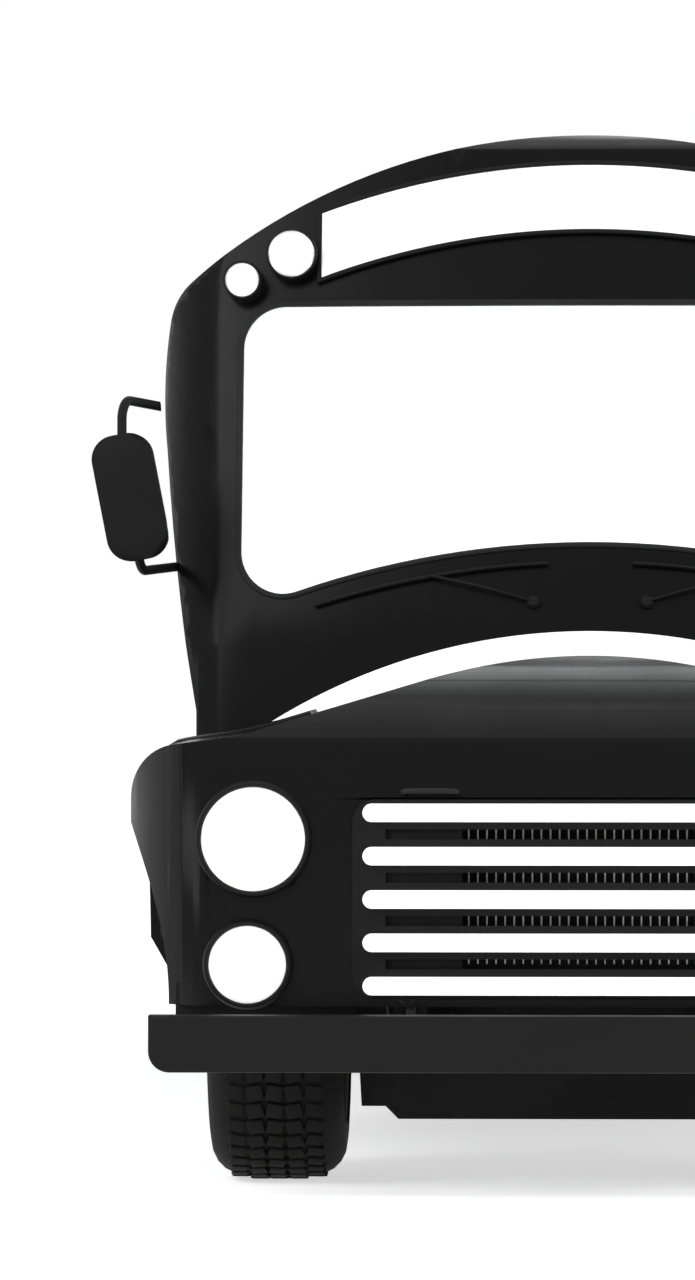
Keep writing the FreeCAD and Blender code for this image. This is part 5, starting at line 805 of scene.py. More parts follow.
class Repeats:
    """Node trees that repeat a small form, and the way they are baked."""

    def __init__(self) -> None:
        """Build both trees."""
        self.ring = self._ring_tree()
        self.studs = self._stud_tree()

    def _ring_tree(self) -> bpy.types.NodeTree:
        """Build the tree that repeats a form round an axis along X.

        Returns:
            Geometry tree with Geometry, Count, Centre and Material inputs.
        """
        tree = bpy.data.node_groups.new("ring_of_forms", "GeometryNodeTree")
        ends = Sockets(tree)
        ends.take("Geometry", "NodeSocketGeometry")
        ends.take("Count", "NodeSocketInt", 8)
        ends.take("Centre", "NodeSocketVector")
        ends.take("Material", "NodeSocketMaterial")
        ends.give("Geometry", "NodeSocketGeometry")
        nodes, links = tree.nodes, tree.links
        points = nodes.new("GeometryNodePoints")
        place = nodes.new("GeometryNodeInstanceOnPoints")
        index = nodes.new("GeometryNodeInputIndex")
        share = nodes.new("ShaderNodeMath")
        share.operation = "DIVIDE"
        angle = nodes.new("ShaderNodeMath")
        angle.operation = "MULTIPLY"
        angle.inputs[1].default_value = math.tau
        turn = nodes.new("ShaderNodeCombineXYZ")
        real = nodes.new("GeometryNodeRealizeInstances")
        paint = nodes.new("GeometryNodeSetMaterial")
        links.new(ends.start.outputs["Count"], points.inputs["Count"])
        links.new(ends.start.outputs["Centre"], points.inputs["Position"])
        links.new(points.outputs["Points"], place.inputs["Points"])
        links.new(ends.start.outputs["Geometry"], place.inputs["Instance"])
        links.new(index.outputs["Index"], share.inputs[0])
        links.new(ends.start.outputs["Count"], share.inputs[1])
        links.new(share.outputs["Value"], angle.inputs[0])
        links.new(angle.outputs["Value"], turn.inputs["X"])
        links.new(turn.outputs["Vector"], place.inputs["Rotation"])
        links.new(place.outputs["Instances"], real.inputs["Geometry"])
        links.new(real.outputs["Geometry"], paint.inputs["Geometry"])
        links.new(ends.start.outputs["Material"], paint.inputs["Material"])
        links.new(paint.outputs["Geometry"], ends.end.inputs["Geometry"])
        return tree

    def _stud_tree(self) -> bpy.types.NodeTree:
        """Build the tree that sets a round stud at each point, along its facing.

        Returns:
            Geometry tree with Geometry, Radius, Rise and Material inputs.
        """
        tree = bpy.data.node_groups.new("studs_on_points", "GeometryNodeTree")
        ends = Sockets(tree)
        ends.take("Geometry", "NodeSocketGeometry")
        ends.take("Radius", "NodeSocketFloat", 0.006)
        ends.take("Rise", "NodeSocketFloat", 0.5)
        ends.take("Material", "NodeSocketMaterial")
        ends.give("Geometry", "NodeSocketGeometry")
        nodes, links = tree.nodes, tree.links
        dome = nodes.new("GeometryNodeMeshUVSphere")
        dome.inputs["Segments"].default_value = 8
        dome.inputs["Rings"].default_value = 4
        scale = nodes.new("ShaderNodeCombineXYZ")
        scale.inputs["X"].default_value = 1.0
        scale.inputs["Y"].default_value = 1.0
        flat = nodes.new("GeometryNodeTransform")
        facing = nodes.new("GeometryNodeInputNamedAttribute")
        facing.data_type = "FLOAT_VECTOR"
        facing.inputs["Name"].default_value = "facing"
        align = nodes.new("FunctionNodeAlignRotationToVector")
        align.axis = "Z"
        place = nodes.new("GeometryNodeInstanceOnPoints")
        real = nodes.new("GeometryNodeRealizeInstances")
        paint = nodes.new("GeometryNodeSetMaterial")
        links.new(ends.start.outputs["Radius"], dome.inputs["Radius"])
        links.new(ends.start.outputs["Rise"], scale.inputs["Z"])
        links.new(scale.outputs["Vector"], flat.inputs["Scale"])
        links.new(dome.outputs["Mesh"], flat.inputs["Geometry"])
        links.new(ends.start.outputs["Geometry"], place.inputs["Points"])
        links.new(flat.outputs["Geometry"], place.inputs["Instance"])
        links.new(facing.outputs["Attribute"], align.inputs["Vector"])
        links.new(align.outputs["Rotation"], place.inputs["Rotation"])
        links.new(place.outputs["Instances"], real.inputs["Geometry"])
        links.new(real.outputs["Geometry"], paint.inputs["Geometry"])
        links.new(ends.start.outputs["Material"], paint.inputs["Material"])
        links.new(paint.outputs["Geometry"], ends.end.inputs["Geometry"])
        return tree

    def bake(self, name: str, base: bpy.types.Mesh, tree: bpy.types.NodeTree,
             values: dict[str, object], finish: Finish, body: str,
             angle: float = 34.0) -> bpy.types.Object:
        """Run a tree over a mesh and keep the result as a plain piece.

        Args:
            name: Name of the piece.
            base: Mesh that the tree starts from.
            tree: Geometry tree.
            values: Its inputs by name.
            finish: Finish that the piece gets.
            body: Body that it rides on.
            angle: Degrees past which an edge stays sharp.

        Returns:
            The new piece.
        """
        source = bpy.data.objects.new(f"{name}_source", base)
        bpy.context.scene.collection.objects.link(source)
        modifier = source.modifiers.new("repeats", "NODES")
        modifier.node_group = tree
        values = {**values, "Material": SHOP.material(finish)}
        for item in tree.interface.items_tree:
            if item.in_out == "INPUT" and item.name in values:
                modifier[item.identifier] = values[item.name]
        view = bpy.context.evaluated_depsgraph_get()
        mesh = bpy.data.meshes.new_from_object(source.evaluated_get(view))
        source.modifiers.remove(modifier)
        bpy.data.objects.remove(source)
        bpy.data.meshes.remove(base)
        mesh.name = name
        return settle(name, mesh, finish, body, angle)

    def stud_rows(self, name: str, places: Sequence[tuple[Vector, Vector]], radius: float,
                  finish: Finish, body: str, rise: float = 0.5) -> bpy.types.Object:
        """Set studs at places on a surface.

        Args:
            name: Name of the piece.
            places: Each stud's place and facing.
            radius: Radius of a stud.
            finish: Finish that it gets.
            body: Body that it rides on.
            rise: Height of a stud as a share of its radius.

        Returns:
            The new piece.
        """
        base = bpy.data.meshes.new(f"{name}_points")
        base.from_pydata([place for place, _ in places], [], [])
        layer = base.attributes.new("facing", "FLOAT_VECTOR", "POINT")
        for item, (_, facing) in zip(layer.data, places):
            item.vector = facing
        return self.bake(name, base, self.studs, {"Radius": radius, "Rise": rise}, finish, body)


REPEATS = Repeats()


@dataclass
class Wheels:
    """Tyres with tread, wheel nuts and hub caps."""

    tyre_radius: float = 0.51
    groove_depth: float = 0.012
    block_count: int = 54
    bead_radius: float = 0.29
    shoulder: float = 0.085
    nut_circle: float = 0.1425
    nut_count: int = 10
    nut_radius: float = 0.017

    def build(self) -> None:
        """Build the wheels of both axles."""
        for side, name in ((1, "left"), (-1, "right")):
            self._tyre(f"front_tyre_{name}", f"front_{name}_wheel", 1)
            self._tyre(f"rear_tyres_{name}", f"rear_{name}_wheels", 2)
            self._hub(f"front_rim_{name}", f"front_{name}_wheel", side)
            self._hub(f"rear_rim_{name}", f"rear_{name}_wheels", side)

    def _profile(self, width: float) -> list[tuple[float, float]]:
        """Return the section of a tyre, from one bead over the tread to the other.

        Args:
            width: Width of the tyre.
        """
        half = width / 2
        radius = self.tyre_radius - self.groove_depth
        flank = half - self.shoulder
        side = [(self.bead_radius, half - 0.045), (self.bead_radius + 0.012, half - 0.022),
                (self.bead_radius + 0.04, half - 0.008), (self.bead_radius + 0.085, half),
                (self.bead_radius + 0.112, half - 0.001)]
        for i in range(6):
            turn = 0.5 * math.pi * i / 5
            side.append((radius - self.shoulder * (1 - math.sin(turn)),
                         flank + self.shoulder * math.cos(turn)))
        return side + [(r, -h) for r, h in reversed(side)]

    def _tyre(self, node: str, body: str, count: int) -> None:
        """Build the tyre or twin tyres of one wheel, and their tread.

        Args:
            node: Name of the CAD node that it stands for.
            body: Body that it rides on.
            count: How many tyres sit side by side.
        """
        low, high = corners_of(node)
        middle = (low + high) / 2
        centre = Vector((middle.x, middle.y, self.tyre_radius))
        gap = 0.024 if count > 1 else 0.0
        width = ((high.x - low.x) - gap) / count
        casing = bmesh.new()
        blocks = bmesh.new()
        for index in range(count):
            shift = (index - (count - 1) / 2) * (width + gap)
            place = centre + LEFT * shift
            lathe(casing, self._profile(width), place, LEFT, 96)
            for ring in (0.36, 0.385):
                for face in (1, -1):
                    lathe(casing, [(ring - 0.002, face * (width / 2 - 0.004)),
                                   (ring, face * (width / 2 + 0.0015)),
                                   (ring + 0.002, face * (width / 2 - 0.004))], place, LEFT, 96)
            self._blocks(blocks, shift, width)
        piece = emit(f"{node}_casing", casing, FINISHES.tyre, body, 40.0)
        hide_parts(node)
        REPEATS.bake(f"{node}_tread", mesh_of(blocks, f"{node}_block"), REPEATS.ring,
                     {"Count": self.block_count, "Centre": tuple(centre)},
                     FINISHES.tyre, body)

    def _blocks(self, shape: bmesh.types.BMesh, shift: float, width: float) -> None:
        """Add the tread blocks of one step of the circle, at the top of the tyre.

        Args:
            shape: Shape that grows.
            shift: Middle of the tyre from the wheel's middle.
            width: Width of the tyre.
        """
        pitch = math.tau * self.tyre_radius / self.block_count
        flat = width - 2 * self.shoulder * 0.62
        rows = 5 if width > 0.3 else 4
        step = flat / rows
        top = self.tyre_radius
        for row in range(rows):
            x = shift - flat / 2 + step * (row + 0.5)
            edge = row in (0, rows - 1)
            half = step * 0.42
            lean = 0.2 * (1 if row % 2 else -1)
            drop = 0.010 if edge else 0.0
            turn = Matrix.Rotation(lean, 4, "Z")
            block(shape, (x - half, -pitch * (0.40 if not edge else 0.36),
                          top - self.groove_depth * 1.8 - drop),
                  (x + half, pitch * (0.40 if not edge else 0.36), top - drop * 0.6 - 0.0004),
                  0.0025, turn)

    def _hub(self, node: str, body: str, side: int) -> None:
        """Build the nuts and the cap of one wheel.

        Args:
            node: Name of the rim's CAD node.
            body: Body that it rides on.
            side: 1 on the driver's side, -1 on the door's side.
        """
        low, high = corners_of(node)
        middle = (low + high) / 2
        outward = LEFT * side
        start = Vector((middle.x + side * 2.0, middle.y, self.tyre_radius))
        ground = Ground(node)
        spot = ground.meet(start + UP * self.nut_circle, -outward)
        hub = ground.meet(start + UP * 0.03, -outward)
        if spot is None or hub is None:
            return
        nut = bmesh.new()
        profile = [(self.nut_radius, -0.004), (self.nut_radius, 0.014),
                   (self.nut_radius * 0.86, 0.019), (self.nut_radius * 0.5, 0.02),
                   (self.nut_radius * 0.5, 0.03), (self.nut_radius * 0.38, 0.033), (0.0, 0.033)]
        lathe(nut, profile, Vector((spot[0].x - middle.x, 0.0, self.nut_circle)), outward, 6)
        REPEATS.bake(f"{node}_nuts", mesh_of(nut, f"{node}_nut"), REPEATS.ring,
                     {"Count": self.nut_count, "Centre": (middle.x, middle.y,
                                                          self.tyre_radius)},
                     FINISHES.steel, body, 25.0)
        cap = bmesh.new()
        lathe(cap, [(0.062, -0.004), (0.062, 0.006), (0.056, 0.012), (0.048, 0.014),
                    (0.045, 0.022), (0.03, 0.028), (0.0, 0.03)],
              Vector((hub[0].x, middle.y, self.tyre_radius)), outward, 40)
        emit(f"{node}_cap", cap, FINISHES.chassis, body)


def seen_directly(tree: bpy.types.NodeTree) -> bpy.types.NodeSocket:
    """Build a mask that is 1 for camera, mirror and glass rays and 0 for the others.

    Args:
        tree: Node tree that takes its nodes.

    Returns:
        Output socket of the mask.
    """
    path = tree.nodes.new("ShaderNodeLightPath")
    mask = path.outputs["Is Camera Ray"]
    for kind in ("Is Glossy Ray", "Is Transmission Ray"):
        either = tree.nodes.new("ShaderNodeMath")
        either.operation = "MAXIMUM"
        tree.links.new(mask, either.inputs[0])
        tree.links.new(path.outputs[kind], either.inputs[1])
        mask = either.outputs["Value"]
    return mask


@dataclass
class Studio:
    """Camera, lamps, world and floor."""

    camera_place: Point = (0.0, -24.75, 1.466)
    camera_turn: float = 1.804
    lens: float = 216.5
    floor_half: float = 400.0
    world_level: float = 0.55

    def build(self) -> None:
        """Set the camera, the light and the floor."""
        self._camera()
        self._world()
        self._lamps()
        self._floor()
        bpy.context.scene.view_settings.view_transform = "Standard"

    def _camera(self) -> None:
        """Put the camera where the photograph was drawn from."""
        data = bpy.data.cameras.new("photo_camera")
        data.lens = self.lens
        data.sensor_width = 36.0
        data.sensor_fit = "AUTO"
        data.clip_end = 2000.0
        camera = bpy.data.objects.new("photo_camera", data)
        camera.location = self.camera_place
        camera.rotation_euler = (math.radians(90.0), 0.0, math.radians(self.camera_turn))
        bpy.context.scene.collection.objects.link(camera)
        bpy.context.scene.camera = camera

    def _world(self) -> None:
        """White background for the camera, mirrors and glass, plain grey light elsewhere."""
        world = bpy.data.worlds.new("studio_world")
        bpy.context.scene.world = world
        world.use_nodes = True
        tree = world.node_tree
        tree.nodes.clear()
        plain = tree.nodes.new("ShaderNodeBackground")
        plain.inputs["Color"].default_value = (0.97, 0.98, 1.0, 1.0)
        plain.inputs["Strength"].default_value = self.world_level
        white = tree.nodes.new("ShaderNodeBackground")
        white.inputs["Color"].default_value = (1.0, 1.0, 1.0, 1.0)
        white.inputs["Strength"].default_value = 1.0
        mix = tree.nodes.new("ShaderNodeMixShader")
        end = tree.nodes.new("ShaderNodeOutputWorld")
        tree.links.new(seen_directly(tree), mix.inputs[0])
        tree.links.new(plain.outputs["Background"], mix.inputs[1])
        tree.links.new(white.outputs["Background"], mix.inputs[2])
        tree.links.new(mix.outputs["Shader"], end.inputs["Surface"])

    def _lamps(self) -> None:
        """Three large soft lamps."""
        for name, place, size, power in (
            ("key_lamp", (-9.0, -13.0, 9.0), 7.0, 900.0),
            ("fill_lamp", (10.0, -9.0, 7.0), 8.0, 500.0),
            ("rear_lamp", (4.0, 14.0, 9.0), 8.0, 600.0),
        ):
            data = bpy.data.lights.new(name, "AREA")
            data.size = size
            data.energy = power
            lamp = bpy.data.objects.new(name, data)
            lamp.location = place
            aim = Vector((0.0, 0.0, 1.2)) - Vector(place)
            lamp.rotation_euler = aim.to_track_quat("-Z", "Y").to_euler()
            bpy.context.scene.collection.objects.link(lamp)

    def _floor(self) -> None:
        """White floor that keeps the bus's shadow."""
        mesh = bpy.data.meshes.new("studio_floor")
        half = self.floor_half
        corners = [(-half, -half, 0.0), (half, -half, 0.0), (half, half, 0.0),
                   (-half, half, 0.0)]
        mesh.from_pydata(corners, [], [(0, 1, 2, 3)])
        floor = bpy.data.objects.new("studio_floor", mesh)
        bpy.context.scene.collection.objects.link(floor)
        material = bpy.data.materials.new("studio_floor")
        material.use_nodes = True
        tree = material.node_tree
        shader = tree.nodes["Principled BSDF"]
        shader.inputs["Base Color"].default_value = (0.9, 0.9, 0.9, 1.0)
        shader.inputs["Roughness"].default_value = 0.9
        shader.inputs["Specular IOR Level"].default_value = 0.0
        level = tree.nodes.new("ShaderNodeMath")
        level.operation = "MULTIPLY"
        level.inputs[1].default_value = 0.6
        glow = tree.nodes.new("ShaderNodeEmission")
        both = tree.nodes.new("ShaderNodeAddShader")
        tree.links.new(seen_directly(tree), level.inputs[0])
        tree.links.new(level.outputs["Value"], glow.inputs["Strength"])
        tree.links.new(shader.outputs["BSDF"], both.inputs[0])
        tree.links.new(glow.outputs["Emission"], both.inputs[1])
        tree.links.new(both.outputs["Shader"],
                       tree.nodes["Material Output"].inputs["Surface"])
        mesh.materials.append(material)


def dress(node: str, finish: Finish) -> None:
    """Give a CAD node a finish.

    Args:
        node: Name of the node.
        finish: Finish that it gets.
    """
    mesh = frame["nodes"][node].data
    mesh.materials.clear()
    mesh.materials.append(SHOP.material(finish))


def smooth_copy(node: str, body: str, finish: Finish, angle: float = 34.0) -> bpy.types.Object:
    """Stand a merged, smoothly shaded copy in for a CAD node.

    Args:
        node: Name of the node.
        body: Body that the copy rides on.
        finish: Finish that it gets.
        angle: Degrees past which an edge stays sharp.

    Returns:
        The new piece.
    """
    mesh = frame["nodes"][node].data.copy()
    shape = bmesh.new()
    shape.from_mesh(mesh)
    bmesh.ops.remove_doubles(shape, verts=shape.verts, dist=0.00002)
    shape.to_mesh(mesh)
    shape.free()
    mesh.name = f"{node}_shell"
    mesh.materials.clear()
    mesh.materials.append(SHOP.material(finish))
    mesh.shade_smooth()
    mesh.set_sharp_from_angle(angle=math.radians(angle))
    piece = bpy.data.objects.new(f"{node}_shell", mesh)
    bpy.context.scene.collection.objects.link(piece)
    even = piece.modifiers.new("even_shading", "WEIGHTED_NORMAL")
    even.keep_sharp = True
    even.weight = 60
    view = bpy.context.evaluated_depsgraph_get()
    shaded = bpy.data.meshes.new_from_object(piece.evaluated_get(view))
    piece.modifiers.remove(even)
    piece.data = shaded
    bpy.data.meshes.remove(mesh)
    shaded.name = f"{node}_shell"
    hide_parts(node)
    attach(piece, body)
    return piece


@dataclass
class Shell:
    """Painted panels and glass of the cabin, the bonnet and the underbody."""

    finishes: dict[str, Finish] = field(default_factory=lambda: {
        "left_wall": FINISHES.paint, "right_wall": FINISHES.paint, "roof": FINISHES.paint,
        "front_cap": FINISHES.paint, "rear_wall": FINISHES.paint, "bonnet": FINISHES.paint,
        "rear_door": FINISHES.paint, "hatch_lid_front": FINISHES.paint,
        "hatch_lid_rear": FINISHES.paint, "windscreen": FINISHES.screen,
        "body_glass": FINISHES.pane, "door_glass_front": FINISHES.pane,
        "door_glass_rear": FINISHES.pane, "rear_door_glass": FINISHES.pane,
        "floor": FINISHES.flooring, "step_well": FINISHES.flooring,
        "door_front": FINISHES.trim, "door_rear": FINISHES.trim,
        "dashboard": FINISHES.trim, "steering_wheel": FINISHES.trim,
        "driver_pedestal": FINISHES.chassis, "seat_frames": FINISHES.steel,
        "seat_pads": FINISHES.leather, "driver_seat": FINISHES.leather,
        "sign_panel": FINISHES.pale_panel, "roof_lamps": FINISHES.lens,
        "front_lamps": FINISHES.lens, "rear_lamps": FINISHES.red_lens,
        "mirrors": FINISHES.trim, "grille_panel": FINISHES.trim,
        "grille_bars": FINISHES.bright, "crescent_trim": FINISHES.bright,
        "chassis_frame": FINISHES.chassis, "front_bumper": FINISHES.chassis,
        "rear_bumper": FINISHES.chassis, "engine_block": FINISHES.iron,
        "radiator": FINISHES.trim, "leaf_springs": FINISHES.chassis,
        "front_axle": FINISHES.chassis, "rear_axle": FINISHES.chassis,
        "knuckle_left": FINISHES.chassis, "knuckle_right": FINISHES.chassis,
        "tie_rod": FINISHES.chassis, "propeller_shaft": FINISHES.chassis,
        "fuel_tank": FINISHES.chassis, "battery_box": FINISHES.trim,
        "exhaust": FINISHES.pipe, "stop_arm": FINISHES.red_paint,
        "front_rim_left": FINISHES.wheel, "front_rim_right": FINISHES.wheel,
        "rear_rim_left": FINISHES.wheel, "rear_rim_right": FINISHES.wheel,
    })
    flat_nodes: tuple[str, ...] = ("seat_pads",)

    def build(self) -> None:
        """Dress every node, with smooth shading on all that stay."""
        owners = {node: body for body, nodes in
                  frame["record"]["behaviour"]["bodies"].items() for node in nodes}
        for node, finish in self.finishes.items():
            if node in self.flat_nodes:
                dress(node, finish)
            else:
                smooth_copy(node, owners[node], finish)


@dataclass
class FrontFace:
    """Lamps, screen rubber, sign frame, wipers and the bonnet's small parts."""

    lamp_spots: tuple[tuple[float, float, float], ...] = (
        (0.886, 0.942, 0.137), (0.901, 0.612, 0.102))
    roof_spots: tuple[tuple[float, float, float], ...] = (
        (1.000, 2.502, 0.048), (0.858, 2.577, 0.066))
    screen_strip: float = 0.018
    fin_pitch: float = 0.024
    louvre_count: int = 7
    wiper_inner: float = 0.12
    wiper_outer: float = 0.78
    wiper_drop: float = 0.05

    def build(self) -> None:
        """Build every part of the front."""
        self._lamps()
        self._roof_lamps()
        self._screen()
        self._sign()
        self._radiator_fins()
        self._bonnet_parts()

    def _lamps(self) -> None:
        """Ribbed lenses and black rims of the head lamps and the side lamps below."""
        rim, lens = bmesh.new(), bmesh.new()
        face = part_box("front_lamps")[0][1]
        for side in (1, -1):
            for x, z, radius in self.lamp_spots:
                place = Vector((side * x, face, z))
                lathe(rim, [(radius + 0.0005, -0.03), (radius + 0.0005, 0.004),
                            (radius + 0.004, 0.009), (radius + 0.011, 0.008),
                            (radius + 0.016, 0.0), (radius + 0.018, -0.035)],
                      place, FORWARD, 72)
                lathe(lens, [(radius - 0.0005, -0.002), (radius - 0.002, 0.003),
                             (radius * 0.9, 0.009), (radius * 0.62, 0.018),
                             (radius * 0.3, 0.0225), (0.0, 0.024)], place, FORWARD, 72)
        emit("front_lamp_rims", rim, FINISHES.trim, "bonnet_assembly")
        emit("front_lamp_lenses", lens, FINISHES.lens, "bonnet_assembly")

    def _roof_lamps(self) -> None:
        """Rims and lenses of the roof lamps."""
        ground = Ground("roof_lamps")
        rim, lens = bmesh.new(), bmesh.new()
        for side in (1, -1):
            for x, z, radius in self.roof_spots:
                hit = ground.meet(Vector((side * x, -4.0, z)), REARWARD)
                if hit is None:
                    continue
                place = hit[0]
                lathe(rim, [(radius + 0.0004, -0.02), (radius + 0.0004, 0.008),
                            (radius + 0.003, 0.012), (radius + 0.007, 0.008),
                            (radius + 0.009, -0.03)], place, FORWARD, 48)
                lathe(lens, [(radius - 0.0005, -0.002), (radius * 0.8, 0.005),
                             (radius * 0.4, 0.009), (0.0, 0.01)], place, FORWARD, 48)
        emit("roof_lamp_rims", rim, FINISHES.trim, "bus_body")
        emit("roof_lamp_lenses", lens, FINISHES.lens, "bus_body")

    def _screen(self) -> None:
        """Rubber round the windscreen and the parked wipers below it."""
        loop, normal = max(rims("windscreen", FORWARD), key=lambda item: len(item[0]))
        strip = bmesh.new()
        gasket(strip, loop, normal, self.screen_strip, 0.008, 0.0155)
        emit("windscreen_rubber", strip, FINISHES.seal, "bus_body")
        ground = Ground("front_cap")
        shape = bmesh.new()
        for side in (1, -1):
            blade = []
            for step in range(9):
                x = side * (self.wiper_inner + (self.wiper_outer - self.wiper_inner) * step / 8)
                level = self._lower_edge(loop, x) - self.wiper_drop
                hit = ground.meet(Vector((x, -4.5, level)), REARWARD)
                if hit:
                    blade.append(hit[0] + hit[1] * 0.016)
            if len(blade) < 4:
                continue
            rod(shape, blade, 0.006)
            middle = blade[len(blade) // 2]
            pivot = ground.meet(Vector((side * 0.16, -4.5, middle.z - 0.075)), REARWARD)
            if pivot:
                place, facing = pivot
                lathe(shape, [(0.02, -0.006), (0.02, 0.014), (0.014, 0.022), (0.0, 0.024)],
                      place, facing, 24)
                rod(shape, [place + facing * 0.018,
                            (place + middle) / 2 + facing * 0.026,
                            middle + facing * 0.008], 0.005)
        emit("wipers", shape, FINISHES.trim, "bus_body")

    @staticmethod
    def _lower_edge(loop: Sequence[Vector], x: float) -> float:
        """Return the height of an outline's lower edge at a place across the bus.

        Args:
            loop: Closed outline.
            x: Place across the bus.
        """
        heights = []
        for here, there in zip(loop, [*loop[1:], loop[0]]):
            if (here.x - x) * (there.x - x) <= 0.0 and here.x != there.x:
                share = (x - here.x) / (there.x - here.x)
                heights.append(here.z + (there.z - here.z) * share)
        return min(heights)

    def _sign(self) -> None:
        """Frame and screws of the blank sign."""
        frames = bmesh.new()
        screws: list[tuple[Vector, Vector]] = []
        for loop, normal in rims("sign_panel", FORWARD):
            gasket(frames, loop, normal, 0.014, 0.006)
            middle = sum(loop, Vector()) / len(loop)
            path = spaced(loop, 0.24)
            screws += [(place + (middle - place).normalized() * 0.02, normal)
                       for place in path]
        emit("sign_frame", frames, FINISHES.trim, "bus_body")
        REPEATS.stud_rows("sign_screws", screws, 0.0055, FINISHES.steel, "bus_body", 0.35)

    def _radiator_fins(self) -> None:
        """Upright fins over the radiator's face."""
        low, high = corners_of("radiator")
        shape = bmesh.new()
        count = int((high.x - low.x - 0.08) / self.fin_pitch)
        for index in range(count + 1):
            x = low.x + 0.04 + index * self.fin_pitch
            block(shape, (x - 0.002, low.y - 0.006, low.z + 0.05),
                  (x + 0.002, low.y + 0.002, high.z - 0.05), 0.0)
        emit("radiator_fins", shape, FINISHES.steel, "bus_body")

    def _bonnet_parts(self) -> None:
        """Side louvres, rubber catches and the handles of the bonnet."""
        ground = Ground("bonnet")
        louvres, catches = bmesh.new(), bmesh.new()
        for side in (1, -1):
            out = LEFT * side
            for index in range(self.louvre_count):
                y = -3.42 + 0.075 * index
                path, normals = [], []
                for step in range(7):
                    z = 1.10 + 0.16 * step / 6
                    hit = ground.meet(Vector((side * 2.0, y, z)), -out)
                    if hit:
                        path.append(hit[0])
                        normals.append(hit[1])
                if len(path) > 3:
                    sweep(louvres, path, normals, bead(0.034, 0.012), closed=False)
            for y, z in ((-2.83, 1.02), (-2.83, 0.86)):
                hit = ground.meet(Vector((side * 2.0, y, z)), -out)
                if hit:
                    rod(catches, [hit[0] + Vector((side * 0.008, -0.03, 0.0)),
                                  hit[0] + Vector((side * 0.014, 0.0, 0.0)),
                                  hit[0] + Vector((side * 0.008, 0.03, 0.0))], 0.010)
                    lathe(catches, [(0.019, -0.004), (0.019, 0.010), (0.012, 0.016),
                                    (0.0, 0.017)], hit[0] - Vector((0, 0.035, 0)), out, 20)
        for x in (0.42, -0.42):
            hit = ground.meet(Vector((x, -6.0, 1.06)), REARWARD)
            if hit:
                place, facing = hit
                rod(catches, [place - LEFT * 0.07, place - LEFT * 0.06 + facing * 0.028,
                              place + LEFT * 0.06 + facing * 0.028, place + LEFT * 0.07],
                    0.007)
        emit("bonnet_louvres", louvres, FINISHES.paint, "bonnet_assembly")
        emit("bonnet_catches", catches, FINISHES.seal, "bonnet_assembly")


@dataclass
class Mirrors:
    """Glass faces and clamps of the two outside mirrors."""

    inset: float = 0.86

    def build(self) -> None:
        """Build both faces and their rims."""
        glass, strip = bmesh.new(), bmesh.new()
        for loop, normal in rims("mirrors", REARWARD):
            if len(loop) < 12:
                continue
            middle = sum(loop, Vector()) / len(loop)
            inner = [middle + (place - middle) * self.inset for place in spaced(loop, 0.004)]
            ring = [glass.verts.new(place + normal * 0.0012) for place in inner]
            back = [glass.verts.new(place - normal * 0.004) for place in inner]
            glass.faces.new(ring)
            glass.faces.new(list(reversed(back)))
            for i in range(len(ring)):
                j = (i + 1) % len(ring)
                glass.faces.new((ring[i], back[i], back[j], ring[j]))
            gasket(strip, inner, normal, 0.011, 0.005)
        emit("mirror_faces", glass, FINISHES.mirror, "bus_body")
        emit("mirror_rims", strip, FINISHES.trim, "bus_body")


